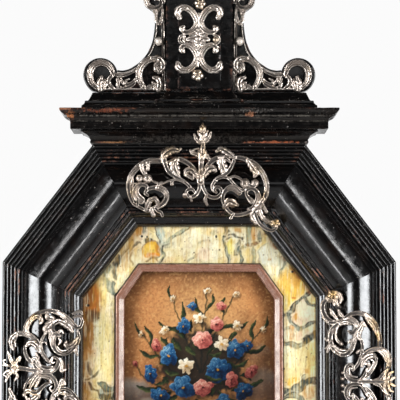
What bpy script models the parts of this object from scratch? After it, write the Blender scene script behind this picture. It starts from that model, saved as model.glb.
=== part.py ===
"""Portable altar shrine: an octagonal moulded frame in ebonised wood round a
painted marble panel and a picture on copper, under a cornice with a scrolled
attic, on a moulded base with bun feet. Pierced silver mounts are pinned to it.

Units are metres, +Z is up, the front faces -Y, and the origin is on the
surface that the feet stand on, under the middle of the base.
"""

import math

import bmesh
import bpy
from mathutils import Matrix, Vector

MM = 0.001
GAP = 0.3  # joint gap between neighbouring pieces, mm

# ----------------------------------------------------------------- dimensions
# All in millimetres; h is the distance forward of the carcass's back face.
Y_BACK = 30.0          # y of the carcass's back face
Z_MID = 321.0          # height of the octagon's centre

# octagon corners from its centre: side corner, then top corner
OUTER = ((198.0, 112.5), (107.7, 231.0))     # outer edge of the moulding
SIGHT = ((117.0, 76.0), (62.0, 148.0))       # sight edge of the moulding
CARCASS_OUT = ((196.5, 111.9), (107.0, 229.4))
REBATE = ((123.5, 79.4), (65.8, 154.8))      # opening in the carcass
PANEL_OUT = ((123.0, 79.1), (65.6, 154.3))   # boards that lie in the opening
SLIP_OUT = ((84.2, 77.9), (61.2, 110.3))     # small moulding round the picture
SLIP_IN = ((75.7, 75.6), (57.2, 102.7))
RAIL_W = 81.0                                # width that the section is drawn at

CARCASS_T = 20.0
BACK_PANEL_H = (0.4, 6.0)
BACKING_H = (6.4, 9.4)
PLATE_H = (9.8, 11.0)
MARBLE_H = (9.8, 19.7)
SLIP_H0 = 11.4

CORNICE_X = 107.4      # half width of the cornice's core
CORNICE_H = 29.7       # its front face
CORNICE_Z = (552.4, 585.8)

ATTIC_X, ATTIC_FRONT = 108.0, 31.0
ATTIC_Z = 586.2
PILASTER_X = 33.6
PILASTER_H = (12.0, 42.0)
PILASTER_Z = (605.2, 715.0)
BRACKET_H = (14.0, 30.0)

BLOCK_X, BLOCK_Y = 121.0, 50.0
SLAB_X, SLAB_Y = 152.0, 72.0

EYE = (0.0, 533.0, -6.2)   # x, z, h of the hanging ring's pivot
RING_R, RING_WIRE = 13.0, 1.7
BUTTONS = {  # x, z of the pivot, and the way the nose points at rest
    "left": (-133.0, 321.0, 0.0),
    "right": (133.0, 321.0, 180.0),
    "top": (0.0, 485.5, -90.0),
    "bottom": (0.0, 156.5, 90.0),
}

# section of the frame moulding: t from the outer edge, h forward of the back
RAIL_SECTION = [
    (0.0, 20.4), (0.0, 27.4), (1.2, 28.6), (4.4, 28.6), (5.0, 29.9), (9.2, 29.9),
    (9.7, 31.2), (13.4, 31.2), (14.0, 32.6), (18.4, 32.6), (19.4, 31.4), (20.6, 32.6),
    (22.2, 36.0), (23.8, 40.6), (25.4, 44.6), (26.8, 46.6), (30.0, 48.6), (33.5, 50.4),
    (37.0, 51.9), (39.4, 52.8), (41.6, 53.2), (43.8, 52.8), (46.2, 51.8), (51.0, 49.0),
    (55.0, 45.2), (58.6, 41.2), (62.0, 38.4), (64.6, 37.6), (65.2, 38.8), (67.0, 38.8),
    (67.6, 37.4), (69.8, 37.2), (70.6, 35.0), (74.0, 31.2), (75.2, 31.0), (76.6, 28.4),
    (79.0, 27.0), (79.6, 24.4), (81.0, 23.4), (81.0, 20.4),
]
# line that a mount's middle follows over the moulding, and that the crest follows
MOUNT_LINE = [
    (-40.0, 55.4), (0.0, 34.5), (8.0, 38.0), (18.0, 44.0), (26.0, 50.0), (34.0, 53.8),
    (42.0, 55.8), (50.0, 53.8), (58.0, 48.6), (65.0, 43.4), (74.0, 41.0), (90.0, 38.6),
]
CREST_LINE = [
    (-40.0, 54.6), (0.0, 54.6), (30.0, 55.4), (42.0, 55.8), (50.0, 53.8), (58.0, 48.6), (65.0, 43.4), (74.0, 41.0), (90.0, 38.6),
]

BED_SECTION = [
    (0.3, 552.9), (2.4, 552.9), (3.0, 554.6), (2.2, 555.4), (3.4, 558.6), (6.0, 561.4),
    (10.2, 563.6), (12.0, 564.0), (12.0, 565.2), (0.3, 565.2),
]
CORONA_SECTION = [
    (0.3, 565.6), (21.6, 565.6), (21.6, 575.4), (23.2, 577.4), (24.8, 578.1), (25.0, 579.2),
    (27.9, 580.0), (30.5, 581.8), (32.2, 584.4), (31.8, 585.8), (0.3, 585.8),
]
ATTIC_STEPS = [
    (0.0, 10.4), (3.4, 10.6), (5.2, 8.9), (7.2, 7.4), (9.2, 7.2), (9.6, 4.4), (11.8, 2.8), (14.0, 1.8), (16.4, 0.7), (18.3, 0.0),
]
CAP_STEPS = [
    (0.0, 0.0), (3.0, 0.6), (3.4, 2.6), (6.4, 3.4), (9.0, 6.2), (9.4, 8.6), (14.2, 8.8), (15.8, 11.0), (18.6, 12.4), (20.2, 12.0),
]
BASE_MOULD_SECTION = [
    (0.3, 28.5), (26.0, 28.5), (26.0, 33.0), (24.0, 35.6), (19.0, 37.0), (17.6, 38.6), (12.4, 39.8),
    (7.0, 43.4), (4.6, 47.6), (4.2, 49.6), (0.3, 49.6),
]
BASE_CAP_STEPS = [
    (80.4, 2.0), (83.0, 2.6), (83.6, 0.4), (85.0, -1.8), (87.4, -4.6), (87.8, -6.0), (89.6, -6.4),
]


# ------------------------------------------------------------------ materials
def material(name, colour, roughness, metallic=0.0):
    made = bpy.data.materials.new(name)
    made.use_nodes = True
    shader = made.node_tree.nodes["Principled BSDF"]
    shader.inputs["Base Color"].default_value = (*colour, 1.0)
    shader.inputs["Roughness"].default_value = roughness
    shader.inputs["Metallic"].default_value = metallic
    return made


for old in list(bpy.data.objects):
    bpy.data.objects.remove(old, do_unlink=True)

PARTS = bpy.data.collections.new("portable_altar_shrine")
CUTTERS = bpy.data.collections.new("cutters")
for made in (PARTS, CUTTERS):
    bpy.context.scene.collection.children.link(made)
CUTTERS.hide_render = True

EBONISED = material("ebonised_wood", (0.012, 0.010, 0.009), 0.30)
CARCASS = material("carcass_wood", (0.17, 0.095, 0.045), 0.70)
MARBLE = material("painted_marble", (0.72, 0.60, 0.34), 0.45)
SLIP = material("painted_red_slip", (0.30, 0.12, 0.09), 0.30)
PICTURE = material("painted_copper", (0.33, 0.18, 0.08), 0.40)
SILVER = material("silver", (0.72, 0.69, 0.65), 0.28, 1.0)
BRASS = material("brass", (0.55, 0.40, 0.16), 0.40, 1.0)
STEEL = material("iron", (0.20, 0.19, 0.18), 0.50, 1.0)


# -------------------------------------------------------------------- helpers
def at(x, z, h):
    """A point from its place on the front, and its distance forward of the back."""
    return Vector((x, Y_BACK - h, z)) * MM


def place(name, mesh, mat, collection=PARTS):
    made = bpy.data.objects.new(name, mesh)
    collection.objects.link(made)
    mesh.materials.clear()
    mesh.materials.append(mat)
    if collection is CUTTERS:
        made.hide_render = True
        made.display_type = "WIRE"
    return made


def from_bmesh(name, bm, mat, collection=PARTS):
    bmesh.ops.recalc_face_normals(bm, faces=bm.faces)
    mesh = bpy.data.meshes.new(name)
    bm.to_mesh(mesh)
    bm.free()
    return place(name, mesh, mat, collection)


def smooth(obj, angle=35.0):
    obj.data.shade_smooth()
    obj.data.set_sharp_from_angle(angle=math.radians(angle))
    return obj


def as_mesh(obj, weld=1e-6):
    """The evaluated curve as a mesh object in the same place, with its caps welded."""
    bpy.context.view_layer.update()
    graph = bpy.context.evaluated_depsgraph_get()
    mesh = bpy.data.meshes.new_from_object(obj.evaluated_get(graph))
    bm = bmesh.new()
    bm.from_mesh(mesh)
    bmesh.ops.remove_doubles(bm, verts=bm.verts, dist=weld)
    bmesh.ops.recalc_face_normals(bm, faces=bm.faces)
    bm.to_mesh(mesh)
    bm.free()
    name, world, mat = obj.name, obj.matrix_world.copy(), obj.data.materials[0]
    collection = obj.users_collection[0]
    bpy.data.objects.remove(obj, do_unlink=True)
    made = place(name, mesh, mat, collection)
    made.matrix_world = world
    return made


def boolean(obj, other, operation="DIFFERENCE"):
    mod = obj.modifiers.new(operation.lower(), "BOOLEAN")
    mod.operation = operation
    mod.object = other
    mod.solver = "EXACT"
    return mod


def apply_modifiers(obj):
    bpy.context.view_layer.update()
    graph = bpy.context.evaluated_depsgraph_get()
    mesh = bpy.data.meshes.new_from_object(obj.evaluated_get(graph))
    obj.modifiers.clear()
    obj.data = mesh
    return obj


def octagon(corners):
    """The eight corners, from the right side's upper one, going anticlockwise."""
    (sx, sz), (tx, tz) = corners
    return [(sx, sz), (tx, tz), (-tx, tz), (-sx, sz), (-sx, -sz), (-tx, -tz), (tx, -tz), (sx, -sz)]


def outline(name, loops, h0, h1, mat, collection=PARTS):
    """A flat piece: closed outlines in x and z, the first the edge and the rest holes."""
    data = bpy.data.curves.new(name, "CURVE")
    data.dimensions = "2D"
    data.fill_mode = "BOTH"
    data.extrude = abs(h1 - h0) / 2 * MM
    for loop in loops:
        spline = data.splines.new("POLY")
        spline.points.add(len(loop) - 1)
        for p, (x, z) in zip(spline.points, loop):
            p.co = (x * MM, z * MM, 0.0, 1.0)
        spline.use_cyclic_u = True
    data.materials.append(mat)
    made = bpy.data.objects.new(name, data)
    collection.objects.link(made)
    made.rotation_euler = (math.pi / 2, 0.0, 0.0)
    made.location = at(0.0, 0.0, (h0 + h1) / 2)
    return as_mesh(made)


def bar(name, section, start, end, out, up, cuts, mat):
    """A moulding: a closed section in (out, up), swept from start to end and cut off by mitre planes."""
    along = (end - start).normalized()
    bm = bmesh.new()
    verts = [bm.verts.new(start + (out * a + up * b) * MM) for a, b in section]
    face = bm.faces.new(verts)
    swept = bmesh.ops.extrude_face_region(bm, geom=[face])
    bmesh.ops.translate(
        bm, vec=end - start, verts=[v for v in swept["geom"] if isinstance(v, bmesh.types.BMVert)]
    )
    for co, no in cuts:
        geom = list(bm.verts) + list(bm.edges) + list(bm.faces)
        cut = bmesh.ops.bisect_plane(bm, geom=geom, dist=1e-7, plane_co=co, plane_no=no, clear_outer=True)
        edges = [e for e in cut["geom_cut"] if isinstance(e, bmesh.types.BMEdge)]
        bmesh.ops.edgeloop_fill(bm, edges=edges)
    bmesh.ops.dissolve_degenerate(bm, dist=1e-7, edges=bm.edges)
    assert along.length > 0
    return from_bmesh(name, bm, mat)


def stepped(name, levels, mat, collection=PARTS):
    """A rectangular block with mouldings run round it: (z, x low, x high, y low, y high) for each level."""
    bm = bmesh.new()
    z, x0, x1, y0, y1 = levels[0]
    face = bm.faces.new(
        [bm.verts.new(Vector(p) * MM) for p in ((x0, y0, z), (x1, y0, z), (x1, y1, z), (x0, y1, z))]
    )
    for z, x0, x1, y0, y1 in levels[1:]:
        corners = [(x0, y0, z), (x1, y0, z), (x1, y1, z), (x0, y1, z)]
        below = face
        swept = bmesh.ops.extrude_face_region(bm, geom=[below])
        face = [f for f in swept["geom"] if isinstance(f, bmesh.types.BMFace)][0]
        for v, p in zip(face.verts, corners):
            v.co = Vector(p) * MM
        if below.is_valid and z > levels[1][0]:
            bmesh.ops.delete(bm, geom=[below], context="FACES_ONLY")
    return from_bmesh(name, bm, mat, collection)


def turned(name, profile, mat, x=0.0, y=0.0, z=0.0, steps=20):
    """A turned piece: (radius, height) down its outer side, revolved with a Screw modifier."""
    bm = bmesh.new()
    points = [bm.verts.new((r * MM, 0.0, k * MM)) for r, k in profile]
    for a, b in zip(points, points[1:]):
        bm.edges.new((a, b))
    mesh = bpy.data.meshes.new(name)
    bm.to_mesh(mesh)
    bm.free()
    made = place(name, mesh, mat)
    made.location = Vector((x, y, z)) * MM
    screw = made.modifiers.new("turn", "SCREW")
    screw.axis = "Z"
    screw.steps = screw.render_steps = steps
    screw.use_merge_vertices = True
    screw.merge_threshold = 1e-6
    screw.use_smooth_shade = True
    return made


def cylinder(name, x, z, h0, h1, radius, mat, sides=16, collection=PARTS):
    """A round pin or cutter that lies along the depth."""
    bm = bmesh.new()
    bmesh.ops.create_cone(
        bm, cap_ends=True, segments=sides, radius1=radius * MM, radius2=radius * MM, depth=abs(h1 - h0) * MM
    )
    made = from_bmesh(name, bm, mat, collection)
    made.rotation_euler = (math.pi / 2, 0.0, 0.0)
    made.location = at(x, z, (h0 + h1) / 2)
    return made


def line_at(table, t):
    for (t0, v0), (t1, v1) in zip(table, table[1:]):
        if t <= t1:
            return v0 + (v1 - v0) * max(0.0, (t - t0)) / (t1 - t0)
    return table[-1][1]


def through(points, step=7.0):
    """Points along a smooth curve through the given ones, about a step apart."""
    pts = [Vector(p) for p in points]
    pts = [2 * pts[0] - pts[1], *pts, 2 * pts[-1] - pts[-2]]
    found = []
    for a, b, c, d in zip(pts, pts[1:], pts[2:], pts[3:]):
        n = max(1, round((c - b).length / step))
        for k in range(n):
            u = k / n
            found.append(
                0.5 * (2 * b + (c - a) * u + (2 * a - 5 * b + 4 * c - d) * u * u + (3 * b - a - 3 * c + d) * u ** 3)
            )
    return [*found, pts[-2]]


def on_octagon(x, z):
    """How far in from the outer edge a point of the front lies, in the section's own width."""
    far = []
    outer, sight = octagon(OUTER), octagon(SIGHT)
    for k in range(8):
        a, b = Vector(outer[k]), Vector(outer[(k + 1) % 8])
        c = Vector(sight[k])
        inward = Vector((-(b - a).y, (b - a).x)).normalized()
        width = (c - a).dot(inward)
        far.append((Vector((x, z - Z_MID)) - a).dot(inward) / width * RAIL_W)
    return min(far)


def rail_height(t):
    return line_at(RAIL_SECTION[1:-1], t) if 0 <= t <= RAIL_W else MARBLE_H[1]


def over_frame(x, z, line=MOUNT_LINE):
    t = on_octagon(x, z)
    return max(line_at(line, t), rail_height(t) + 2.4)


def strand_section(name, half_width, half_thick):
    """A flat four-sided section for the scrolls, as a closed curve."""
    data = bpy.data.curves.new(name, "CURVE")
    data.dimensions = "2D"
    spline = data.splines.new("POLY")
    spline.points.add(3)
    for p, (x, y) in zip(spline.points, ((half_width, 0), (0, half_thick), (-half_width, 0), (0, -half_thick))):
        p.co = (x * MM, y * MM, 0.0, 1.0)
    spline.use_cyclic_u = True
    made = bpy.data.objects.new(name, data)
    CUTTERS.objects.link(made)
    return made


def is_closed(mesh):
    """Every edge has two faces, so the surface has no holes and no inner faces."""
    bm = bmesh.new()
    bm.from_mesh(mesh)
    closed = all(len(e.link_faces) == 2 for e in bm.edges)
    bm.free()
    return closed


def fill_cavities(mesh):
    """Removes the skins of sealed pockets that crossing strands leave inside the metal."""
    bm = bmesh.new()
    bm.from_mesh(mesh)
    left = set(bm.faces)
    while left:
        shell, edge = set(), [next(f for f in bm.faces if f in left)]
        while edge:
            face = edge.pop()
            if face in shell:
                continue
            shell.add(face)
            edge += [g for e in face.edges for g in e.link_faces if g not in shell]
        left -= shell
        volume = sum(
            a.co.dot(b.co.cross(c.co)) / 6
            for f in shell for a, b, c in [(f.verts[0], f.verts[k], f.verts[k + 1]) for k in range(1, len(f.verts) - 1)]
        )
        if volume < 0:
            bmesh.ops.delete(bm, geom=[v for v in {v for f in shell for v in f.verts}], context="VERTS")
            left = {f for f in left if f.is_valid}
    bm.to_mesh(mesh)
    bm.free()


def strand(name, stroke, height, half_width, half_thick, lift):
    section = strand_section(f"{name}_section", half_width, half_thick)
    pts = through(stroke)
    data = bpy.data.curves.new(name, "CURVE")
    data.dimensions = "3D"
    data.twist_mode = "Z_UP"
    data.bevel_mode = "OBJECT"
    data.bevel_object = section
    data.use_fill_caps = True
    spline = data.splines.new("POLY")
    spline.points.add(len(pts) - 1)
    for p, q in zip(spline.points, pts):
        p.co = (q.x * MM, q.y * MM, (height(q.x, q.y) + lift) * MM, 1.0)
    data.materials.append(SILVER)
    curve = bpy.data.objects.new(name, data)
    curve.rotation_euler = (math.pi / 2, 0.0, 0.0)
    curve.location = (0.0, Y_BACK * MM, 0.0)
    CUTTERS.objects.link(curve)
    made = as_mesh(curve)
    bpy.data.objects.remove(section, do_unlink=True)
    return made


def scrollwork(name, strokes, height, half_width=1.9):
    """A pierced mount: scrolls drawn as smooth lines, swept to flat strands and united.

    Strands that meet face to face unite badly, so each is tried again a little
    thinner and higher until the union is closed.
    """
    made = None
    for k, stroke in enumerate(strokes):
        for attempt in range(12):
            lift = 0.05 * (k % 5) + 0.017 * attempt
            thick = 1.25 - 0.02 * (k % 5) - 0.013 * attempt
            piece = strand(f"{name}_{k}", stroke, height, half_width - 0.03 * (k % 7) - 0.021 * attempt, thick, lift)
            if made is None:
                made = piece
                break
            before = made.data
            boolean(made, piece, "UNION")
            apply_modifiers(made)
            bpy.data.objects.remove(piece, do_unlink=True)
            if is_closed(made.data):
                break
            made.data = before
    fill_cavities(made.data)
    CUTTERS.objects.unlink(made)
    PARTS.objects.link(made)
    made.hide_render = False
    made.display_type = "TEXTURED"
    made.name = name
    return made


def mirror(strokes, x=1, z=1):
    return [[(x * a, z * b) for a, b in s] for s in strokes]


def shift(strokes, x, z):
    return [[(a + x, b + z) for a, b in s] for s in strokes]


# ------------------------------------------------------------------ the frame
outer8, sight8 = octagon(OUTER), octagon(SIGHT)
carcass = outline(
    "carcass_frame",
    [[(x, z + Z_MID) for x, z in octagon(CARCASS_OUT)], [(x, z + Z_MID) for x, z in octagon(REBATE)]],
    0.0, CARCASS_T, CARCASS,
)

RAIL_NAMES = [
    "rail_upper_right", "rail_top", "rail_upper_left", "rail_left",
    "rail_lower_left", "rail_bottom", "rail_lower_right", "rail_right",
]
for k, name in enumerate(RAIL_NAMES):
    a, b = Vector(outer8[k]), Vector(outer8[(k + 1) % 8])
    c, d = Vector(sight8[k]), Vector(sight8[(k + 1) % 8])
    along = (b - a).normalized()
    inward = Vector((-along.y, along.x))
    width = (c - a).dot(inward)
    section = [(t * width / RAIL_W, h) for t, h in RAIL_SECTION]
    cuts = []
    for p, q, sign in ((a, c, -1), (b, d, 1)):
        mitre = (q - p).normalized()
        normal = Vector((-mitre.y, mitre.x))
        if normal.dot(along) * sign < 0:
            normal = -normal
        co = p - normal * GAP / 2
        cuts.append((at(co.x, co.y + Z_MID, 0.0), Vector((normal.x, 0.0, normal.y))))
    start, end = a - along * 4.0, b + along * 4.0
    bar(
        name, section, at(start.x, start.y + Z_MID, 0.0), at(end.x, end.y + Z_MID, 0.0),
        Vector((inward.x, 0.0, inward.y)), Vector((0.0, -1.0, 0.0)), cuts, EBONISED,
    )


def ring(name, corners_out, corners_in, h0, h1, mat):
    return outline(
        name,
        [[(x, z + Z_MID) for x, z in octagon(corners_out)], [(x, z + Z_MID) for x, z in octagon(corners_in)]],
        h0, h1, mat,
    )


def board(name, corners, h0, h1, mat):
    return outline(name, [[(x, z + Z_MID) for x, z in octagon(corners)]], h0, h1, mat)


def grown(corners, by):
    return tuple((x + by, z + by) for x, z in corners)


ring("marble_panel", PANEL_OUT, grown(SLIP_OUT, 0.4), *MARBLE_H, MARBLE)
board("picture_plate", SLIP_OUT, *PLATE_H, PICTURE)
board("backing_board", PANEL_OUT, *BACKING_H, CARCASS)
board("back_panel", PANEL_OUT, *BACK_PANEL_H, CARCASS)

# the small moulding round the picture: a ring whose face slopes in to the picture
slip = bmesh.new()
loops = []
for corners, h in (
    (SLIP_OUT, SLIP_H0), (SLIP_OUT, 22.4), (grown(SLIP_OUT, -1.0), 23.2), (grown(SLIP_OUT, -3.2), 23.2),
    (SLIP_IN, 17.0), (SLIP_IN, SLIP_H0),
):
    loops.append([slip.verts.new(at(x, z + Z_MID, h)) for x, z in octagon(corners)])
for first, second in zip(loops, loops[1:] + loops[:1]):
    for k in range(8):
        slip.faces.new((first[k - 1], first[k], second[k], second[k - 1]))
bmesh.ops.recalc_face_normals(slip, faces=slip.faces[:])
from_bmesh("picture_slip", slip, SLIP)

# ------------------------------------------------------- back: buttons and ring
for side, (x, z, angle) in BUTTONS.items():
    nose, heel, half = 21.0, 6.0, 5.2
    arc = [math.radians(a) for a in range(-80, 81, 20)]
    rim = [(nose - half + half * math.cos(a), half * math.sin(a)) for a in arc]
    rim += [(-heel + half - half * math.cos(a), half * math.sin(-a) * -1) for a in reversed(arc)]
    hole = [(1.85 * math.cos(2 * math.pi * k / 16), 1.85 * math.sin(2 * math.pi * k / 16)) for k in range(16)]
    turn = math.radians(angle)
    button = outline(f"turn_button_{side}", [rim, hole], -1.6, 1.6, BRASS)
    # its own origin is on the screw's axis
    button.rotation_euler = (math.pi / 2, -turn, 0.0)
    button.rotation_mode = "XYZ"
    button.matrix_world = Matrix.Translation(at(x, z, -2.1)) @ Matrix.Rotation(-turn, 4, "Y") @ Matrix.Rotation(math.pi / 2, 4, "X")
    cut = cylinder(f"screw_hole_{side}", x, z, -2.0, 14.0, 2.1, STEEL, 16, CUTTERS)
    boolean(carcass, cut)
    screw = turned(
        f"turn_button_screw_{side}",
        [(0.0, 3.2), (2.4, 2.6), (3.6, 0.4), (1.6, 0.2), (1.6, -13.0), (0.0, -16.4)],
        STEEL, steps=12,
    )
    screw.rotation_euler = (-math.pi / 2, 0.0, 0.0)
    screw.location = at(x, z, -3.9)

# screw eye with a loose ring: the eye's hole runs along X, and the ring hangs through it
ex, ez, eh = EYE
bm = bmesh.new()
n_ring, n_tube, r_eye, r_wire = 14, 6, 4.3, 1.4
profile = [
    bm.verts.new(((r_eye + r_wire * math.cos(2 * math.pi * k / n_tube)) * MM, 0.0, r_wire * math.sin(2 * math.pi * k / n_tube) * MM))
    for k in range(n_tube)
]
rim = [bm.edges.new((profile[k], profile[(k + 1) % n_tube])) for k in range(n_tube)]
bmesh.ops.spin(
    bm, geom=profile + rim, axis=(0, 0, 1), cent=(0, 0, 0), dvec=(0, 0, 0),
    angle=2 * math.pi, steps=n_ring, use_merge=True, use_duplicate=False,
)
bmesh.ops.remove_doubles(bm, verts=bm.verts, dist=1e-7)
eye = from_bmesh("hanger_eye", bm, STEEL)
eye.data.transform(Matrix.Translation(at(ex, ez, eh)) @ Matrix.Rotation(math.pi / 2, 4, "Y"))
shank = cylinder("hanger_shank", ex, ez, eh + r_eye + 0.4, 15.0, 1.75, STEEL, 12, CUTTERS)
boolean(eye, shank, "UNION")
apply_modifiers(eye)
bpy.data.objects.remove(shank, do_unlink=True)
boolean(carcass, cylinder("hanger_hole", ex, ez, -2.0, 15.6, 2.2, STEEL, 12, CUTTERS))
apply_modifiers(carcass)

bpy.ops.mesh.primitive_torus_add(
    major_radius=RING_R * MM, minor_radius=RING_WIRE * MM, major_segments=20, minor_segments=6,
    location=(0.0, 0.0, 0.0),
)
ring_obj = bpy.context.object
ring_obj.name = "hanger_ring"
for c in list(ring_obj.users_collection):
    c.objects.unlink(ring_obj)
PARTS.objects.link(ring_obj)
ring_obj.data.materials.append(BRASS)
# its own origin is where the wire passes through the eye
ring_obj.data.transform(Matrix.Translation((0.0, 0.0, -RING_R * MM)) @ Matrix.Rotation(math.pi / 2, 4, "X"))
ring_obj.location = at(ex, ez, eh)

# ---------------------------------------------------------------- the cornice
Z_UP = Vector((0.0, 0.0, 1.0))
FRONT = Vector((0.0, -1.0, 0.0))
RIGHT = Vector((1.0, 0.0, 0.0))


def three_sides(prefix, section, half_x, front_y, back_y, mat):
    """Front and two returns of a moulding round a core, mitred at the corners."""
    root2 = math.sqrt(0.5)
    for side, sign in (("left", -1.0), ("right", 1.0)):
        corner = Vector((sign * half_x, front_y, 0.0)) * MM
        normal = Vector((sign * root2, root2, 0.0))
        bar(
            f"{prefix}_{side}", section, corner - Vector((0.0, 50.0, 0.0)) * MM,
            Vector((sign * half_x, back_y, 0.0)) * MM, RIGHT * sign, Z_UP,
            [(corner + normal * GAP / 2 * MM, -normal)], mat,
        )
    start, end = (Vector((s * (half_x + 50.0), front_y, 0.0)) * MM for s in (-1.0, 1.0))
    cuts = []
    for sign in (-1.0, 1.0):
        corner = Vector((sign * half_x, front_y, 0.0)) * MM
        normal = Vector((sign * root2, root2, 0.0))
        cuts.append((corner - normal * GAP / 2 * MM, normal))
    bar(f"{prefix}_front", section, start, end, FRONT, Z_UP, cuts, mat)


def span(half_x, front_h, back_h=0.0):
    return -half_x, half_x, Y_BACK - front_h, Y_BACK - back_h


stepped(
    "cornice_core",
    [(CORNICE_Z[0], *span(CORNICE_X, CORNICE_H)), (CORNICE_Z[1], *span(CORNICE_X, CORNICE_H))],
    CARCASS,
)
three_sides("cornice_bed", BED_SECTION, CORNICE_X, Y_BACK - CORNICE_H, Y_BACK, EBONISED)
three_sides("cornice_corona", CORONA_SECTION, CORNICE_X, Y_BACK - CORNICE_H, Y_BACK, EBONISED)

# ------------------------------------------------------------------ the attic
BASE_OUT = 1.45  # the pilaster's base has bolder mouldings than the attic's


def pilaster_base_levels(grow=0.0):
    return [
        (ATTIC_Z + dz, *span(PILASTER_X + o * BASE_OUT + grow, PILASTER_H[1] + o * BASE_OUT + grow, -grow))
        for dz, o in ATTIC_STEPS
    ]


stepped("pilaster_base", pilaster_base_levels(), EBONISED)
grown_levels = pilaster_base_levels(GAP)
grown_levels[0] = (grown_levels[0][0] - 2.0, *grown_levels[0][1:])
grown_levels.append((grown_levels[-1][0] + 2.0, *grown_levels[-1][1:]))
attic_cut = stepped("attic_cutter", grown_levels, EBONISED, CUTTERS)
for side, sign in (("left", -1.0), ("right", 1.0)):
    levels = []
    for dz, o in ATTIC_STEPS:
        x0, x1 = sorted((sign * 20.0, sign * (ATTIC_X + o)))
        levels.append((ATTIC_Z + dz, x0, x1, Y_BACK - ATTIC_FRONT - o, Y_BACK - 0.4))
    attic = stepped(f"attic_plinth_{side}", levels, EBONISED)
    boolean(attic, attic_cut)
    apply_modifiers(attic)

stepped(
    "pilaster",
    [(z, *span(PILASTER_X, PILASTER_H[1], PILASTER_H[0])) for z in PILASTER_Z], EBONISED,
)
panel = stepped(
    "pilaster_panel",
    [(607.0, *span(21.6, 45.4, 42.3)), (712.0, *span(21.6, 45.4, 42.3))], EBONISED,
)
edge = panel.modifiers.new("edge", "BEVEL")
edge.width = 0.0009
edge.segments = 1

stepped(
    "pilaster_cap",
    [(PILASTER_Z[1] + 0.4 + dz, *span(PILASTER_X + o, PILASTER_H[1] + o, PILASTER_H[0] - o * 0.8)) for dz, o in CAP_STEPS],
    EBONISED,
)
CAP_TOP = PILASTER_Z[1] + 0.4 + CAP_STEPS[-1][0]
AXIS_Y = Y_BACK - 27.0
finial = turned(
    "finial",
    [(0.0, 33.0), (4.4, 33.0), (6.0, 31.0), (5.2, 28.4), (3.8, 26.0), (6.8, 23.4), (9.2, 19.6), (8.8, 15.0),
     (5.8, 10.6), (4.4, 7.6), (7.4, 6.0), (11.6, 4.0), (12.4, 1.4), (12.0, 0.0), (0.0, 0.0)],
    EBONISED, 0.0, AXIS_Y, CAP_TOP + 0.3, 14,
)
CROSS_Z = CAP_TOP + 0.3 + 33.0 + 0.3
arm, reach, tall, bar_z, flare = 3.0, 16.0, 48.0, 31.0, 1.6
cross = [
    (-arm - flare, 0.0), (arm + flare, 0.0), (arm, 6.0), (arm, bar_z - arm), (reach - 5.0, bar_z - arm),
    (reach, bar_z - arm - flare), (reach, bar_z + arm + flare), (reach - 5.0, bar_z + arm), (arm, bar_z + arm),
    (arm, tall - 5.0), (arm + flare, tall), (-arm - flare, tall), (-arm, tall - 5.0), (-arm, bar_z + arm),
    (5.0 - reach, bar_z + arm), (-reach, bar_z + arm + flare), (-reach, bar_z - arm - flare),
    (5.0 - reach, bar_z - arm), (-arm, bar_z - arm), (-arm, 6.0),
]
outline("cross", [[(x, z + CROSS_Z) for x, z in cross]], 24.0, 30.0, EBONISED)


def bracket_edge(inset=0.0):
    """Outline of the left scroll bracket: a low volute, a long hollow, and a small volute at the top."""
    foot, inner = 605.3 + inset, -PILASTER_X - GAP - inset
    vx, vz, vr = -100.1, 622.6, 17.4 - inset
    ux, uz, ur = -45.2, 699.5, 9.6 - inset
    pts = [(inner, foot), (-102.0, foot)]
    for a in range(245, 24, -20):
        pts.append((vx + vr * math.cos(math.radians(a)), vz + vr * math.sin(math.radians(a))))
    pts += [(x + inset * 0.7, z - inset * 0.7) for x, z in (
        (-82.4, 627.6), (-77.9, 627.2), (-69.2, 629.7), (-60.5, 635.7), (-53.6, 643.5), (-48.7, 653.6),
        (-46.0, 665.8), (-45.0, 676.0), (-45.1, 682.0), (-46.6, 688.0), (-50.0, 690.8),
    )]
    for a in range(216, 60, -26):
        pts.append((ux + ur * math.cos(math.radians(a)), uz + ur * math.sin(math.radians(a))))
    pts.append((inner, 709.0 - inset))
    return pts


for side, sign in (("left", 1.0), ("right", -1.0)):
    outline(f"bracket_{side}", [[(sign * x, z) for x, z in bracket_edge()]], *BRACKET_H, EBONISED)
    bm = bmesh.new()
    bmesh.ops.create_uvsphere(bm, u_segments=10, v_segments=6, radius=4.4 * MM)
    stud = from_bmesh(f"bracket_stud_{side}", bm, SILVER)
    stud.location = at(-sign * 40.6, 656.2, BRACKET_H[1] + 4.8)
    smooth(stud)

# ------------------------------------------------------------------- the base
stepped(
    "base_cap",
    [(z, -BLOCK_X - o, BLOCK_X + o, -BLOCK_Y - o, BLOCK_Y + min(o, 0.0)) for z, o in BASE_CAP_STEPS], EBONISED,
)
stepped("base_block", [(28.6, -BLOCK_X, BLOCK_X, -BLOCK_Y, BLOCK_Y), (80.0, -BLOCK_X, BLOCK_X, -BLOCK_Y, BLOCK_Y)], EBONISED)
three_sides("base_mould", BASE_MOULD_SECTION, BLOCK_X, -BLOCK_Y, BLOCK_Y, EBONISED)
slab = stepped("base_slab", [(18.4, -SLAB_X, SLAB_X, -SLAB_Y - 6.0, SLAB_Y + 6.0), (28.2, -SLAB_X, SLAB_X, -SLAB_Y - 6.0, SLAB_Y + 6.0)], EBONISED)
edge = slab.modifiers.new("edge", "BEVEL")
edge.width = 0.0025
edge.segments = 2
for depth, y in (("front", -56.0), ("rear", 56.0)):
    for side, x in (("left", -126.0), ("right", 126.0)):
        turned(
            f"foot_{depth}_{side}",
            [(0.0, 18.0), (9.0, 18.0), (10.0, 16.4), (14.6, 14.8), (17.4, 11.2), (17.4, 7.0), (14.6, 2.6), (10.6, 0.0), (0.0, 0.0)],
            EBONISED, x, y, 0.0, 16,
        )

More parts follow.
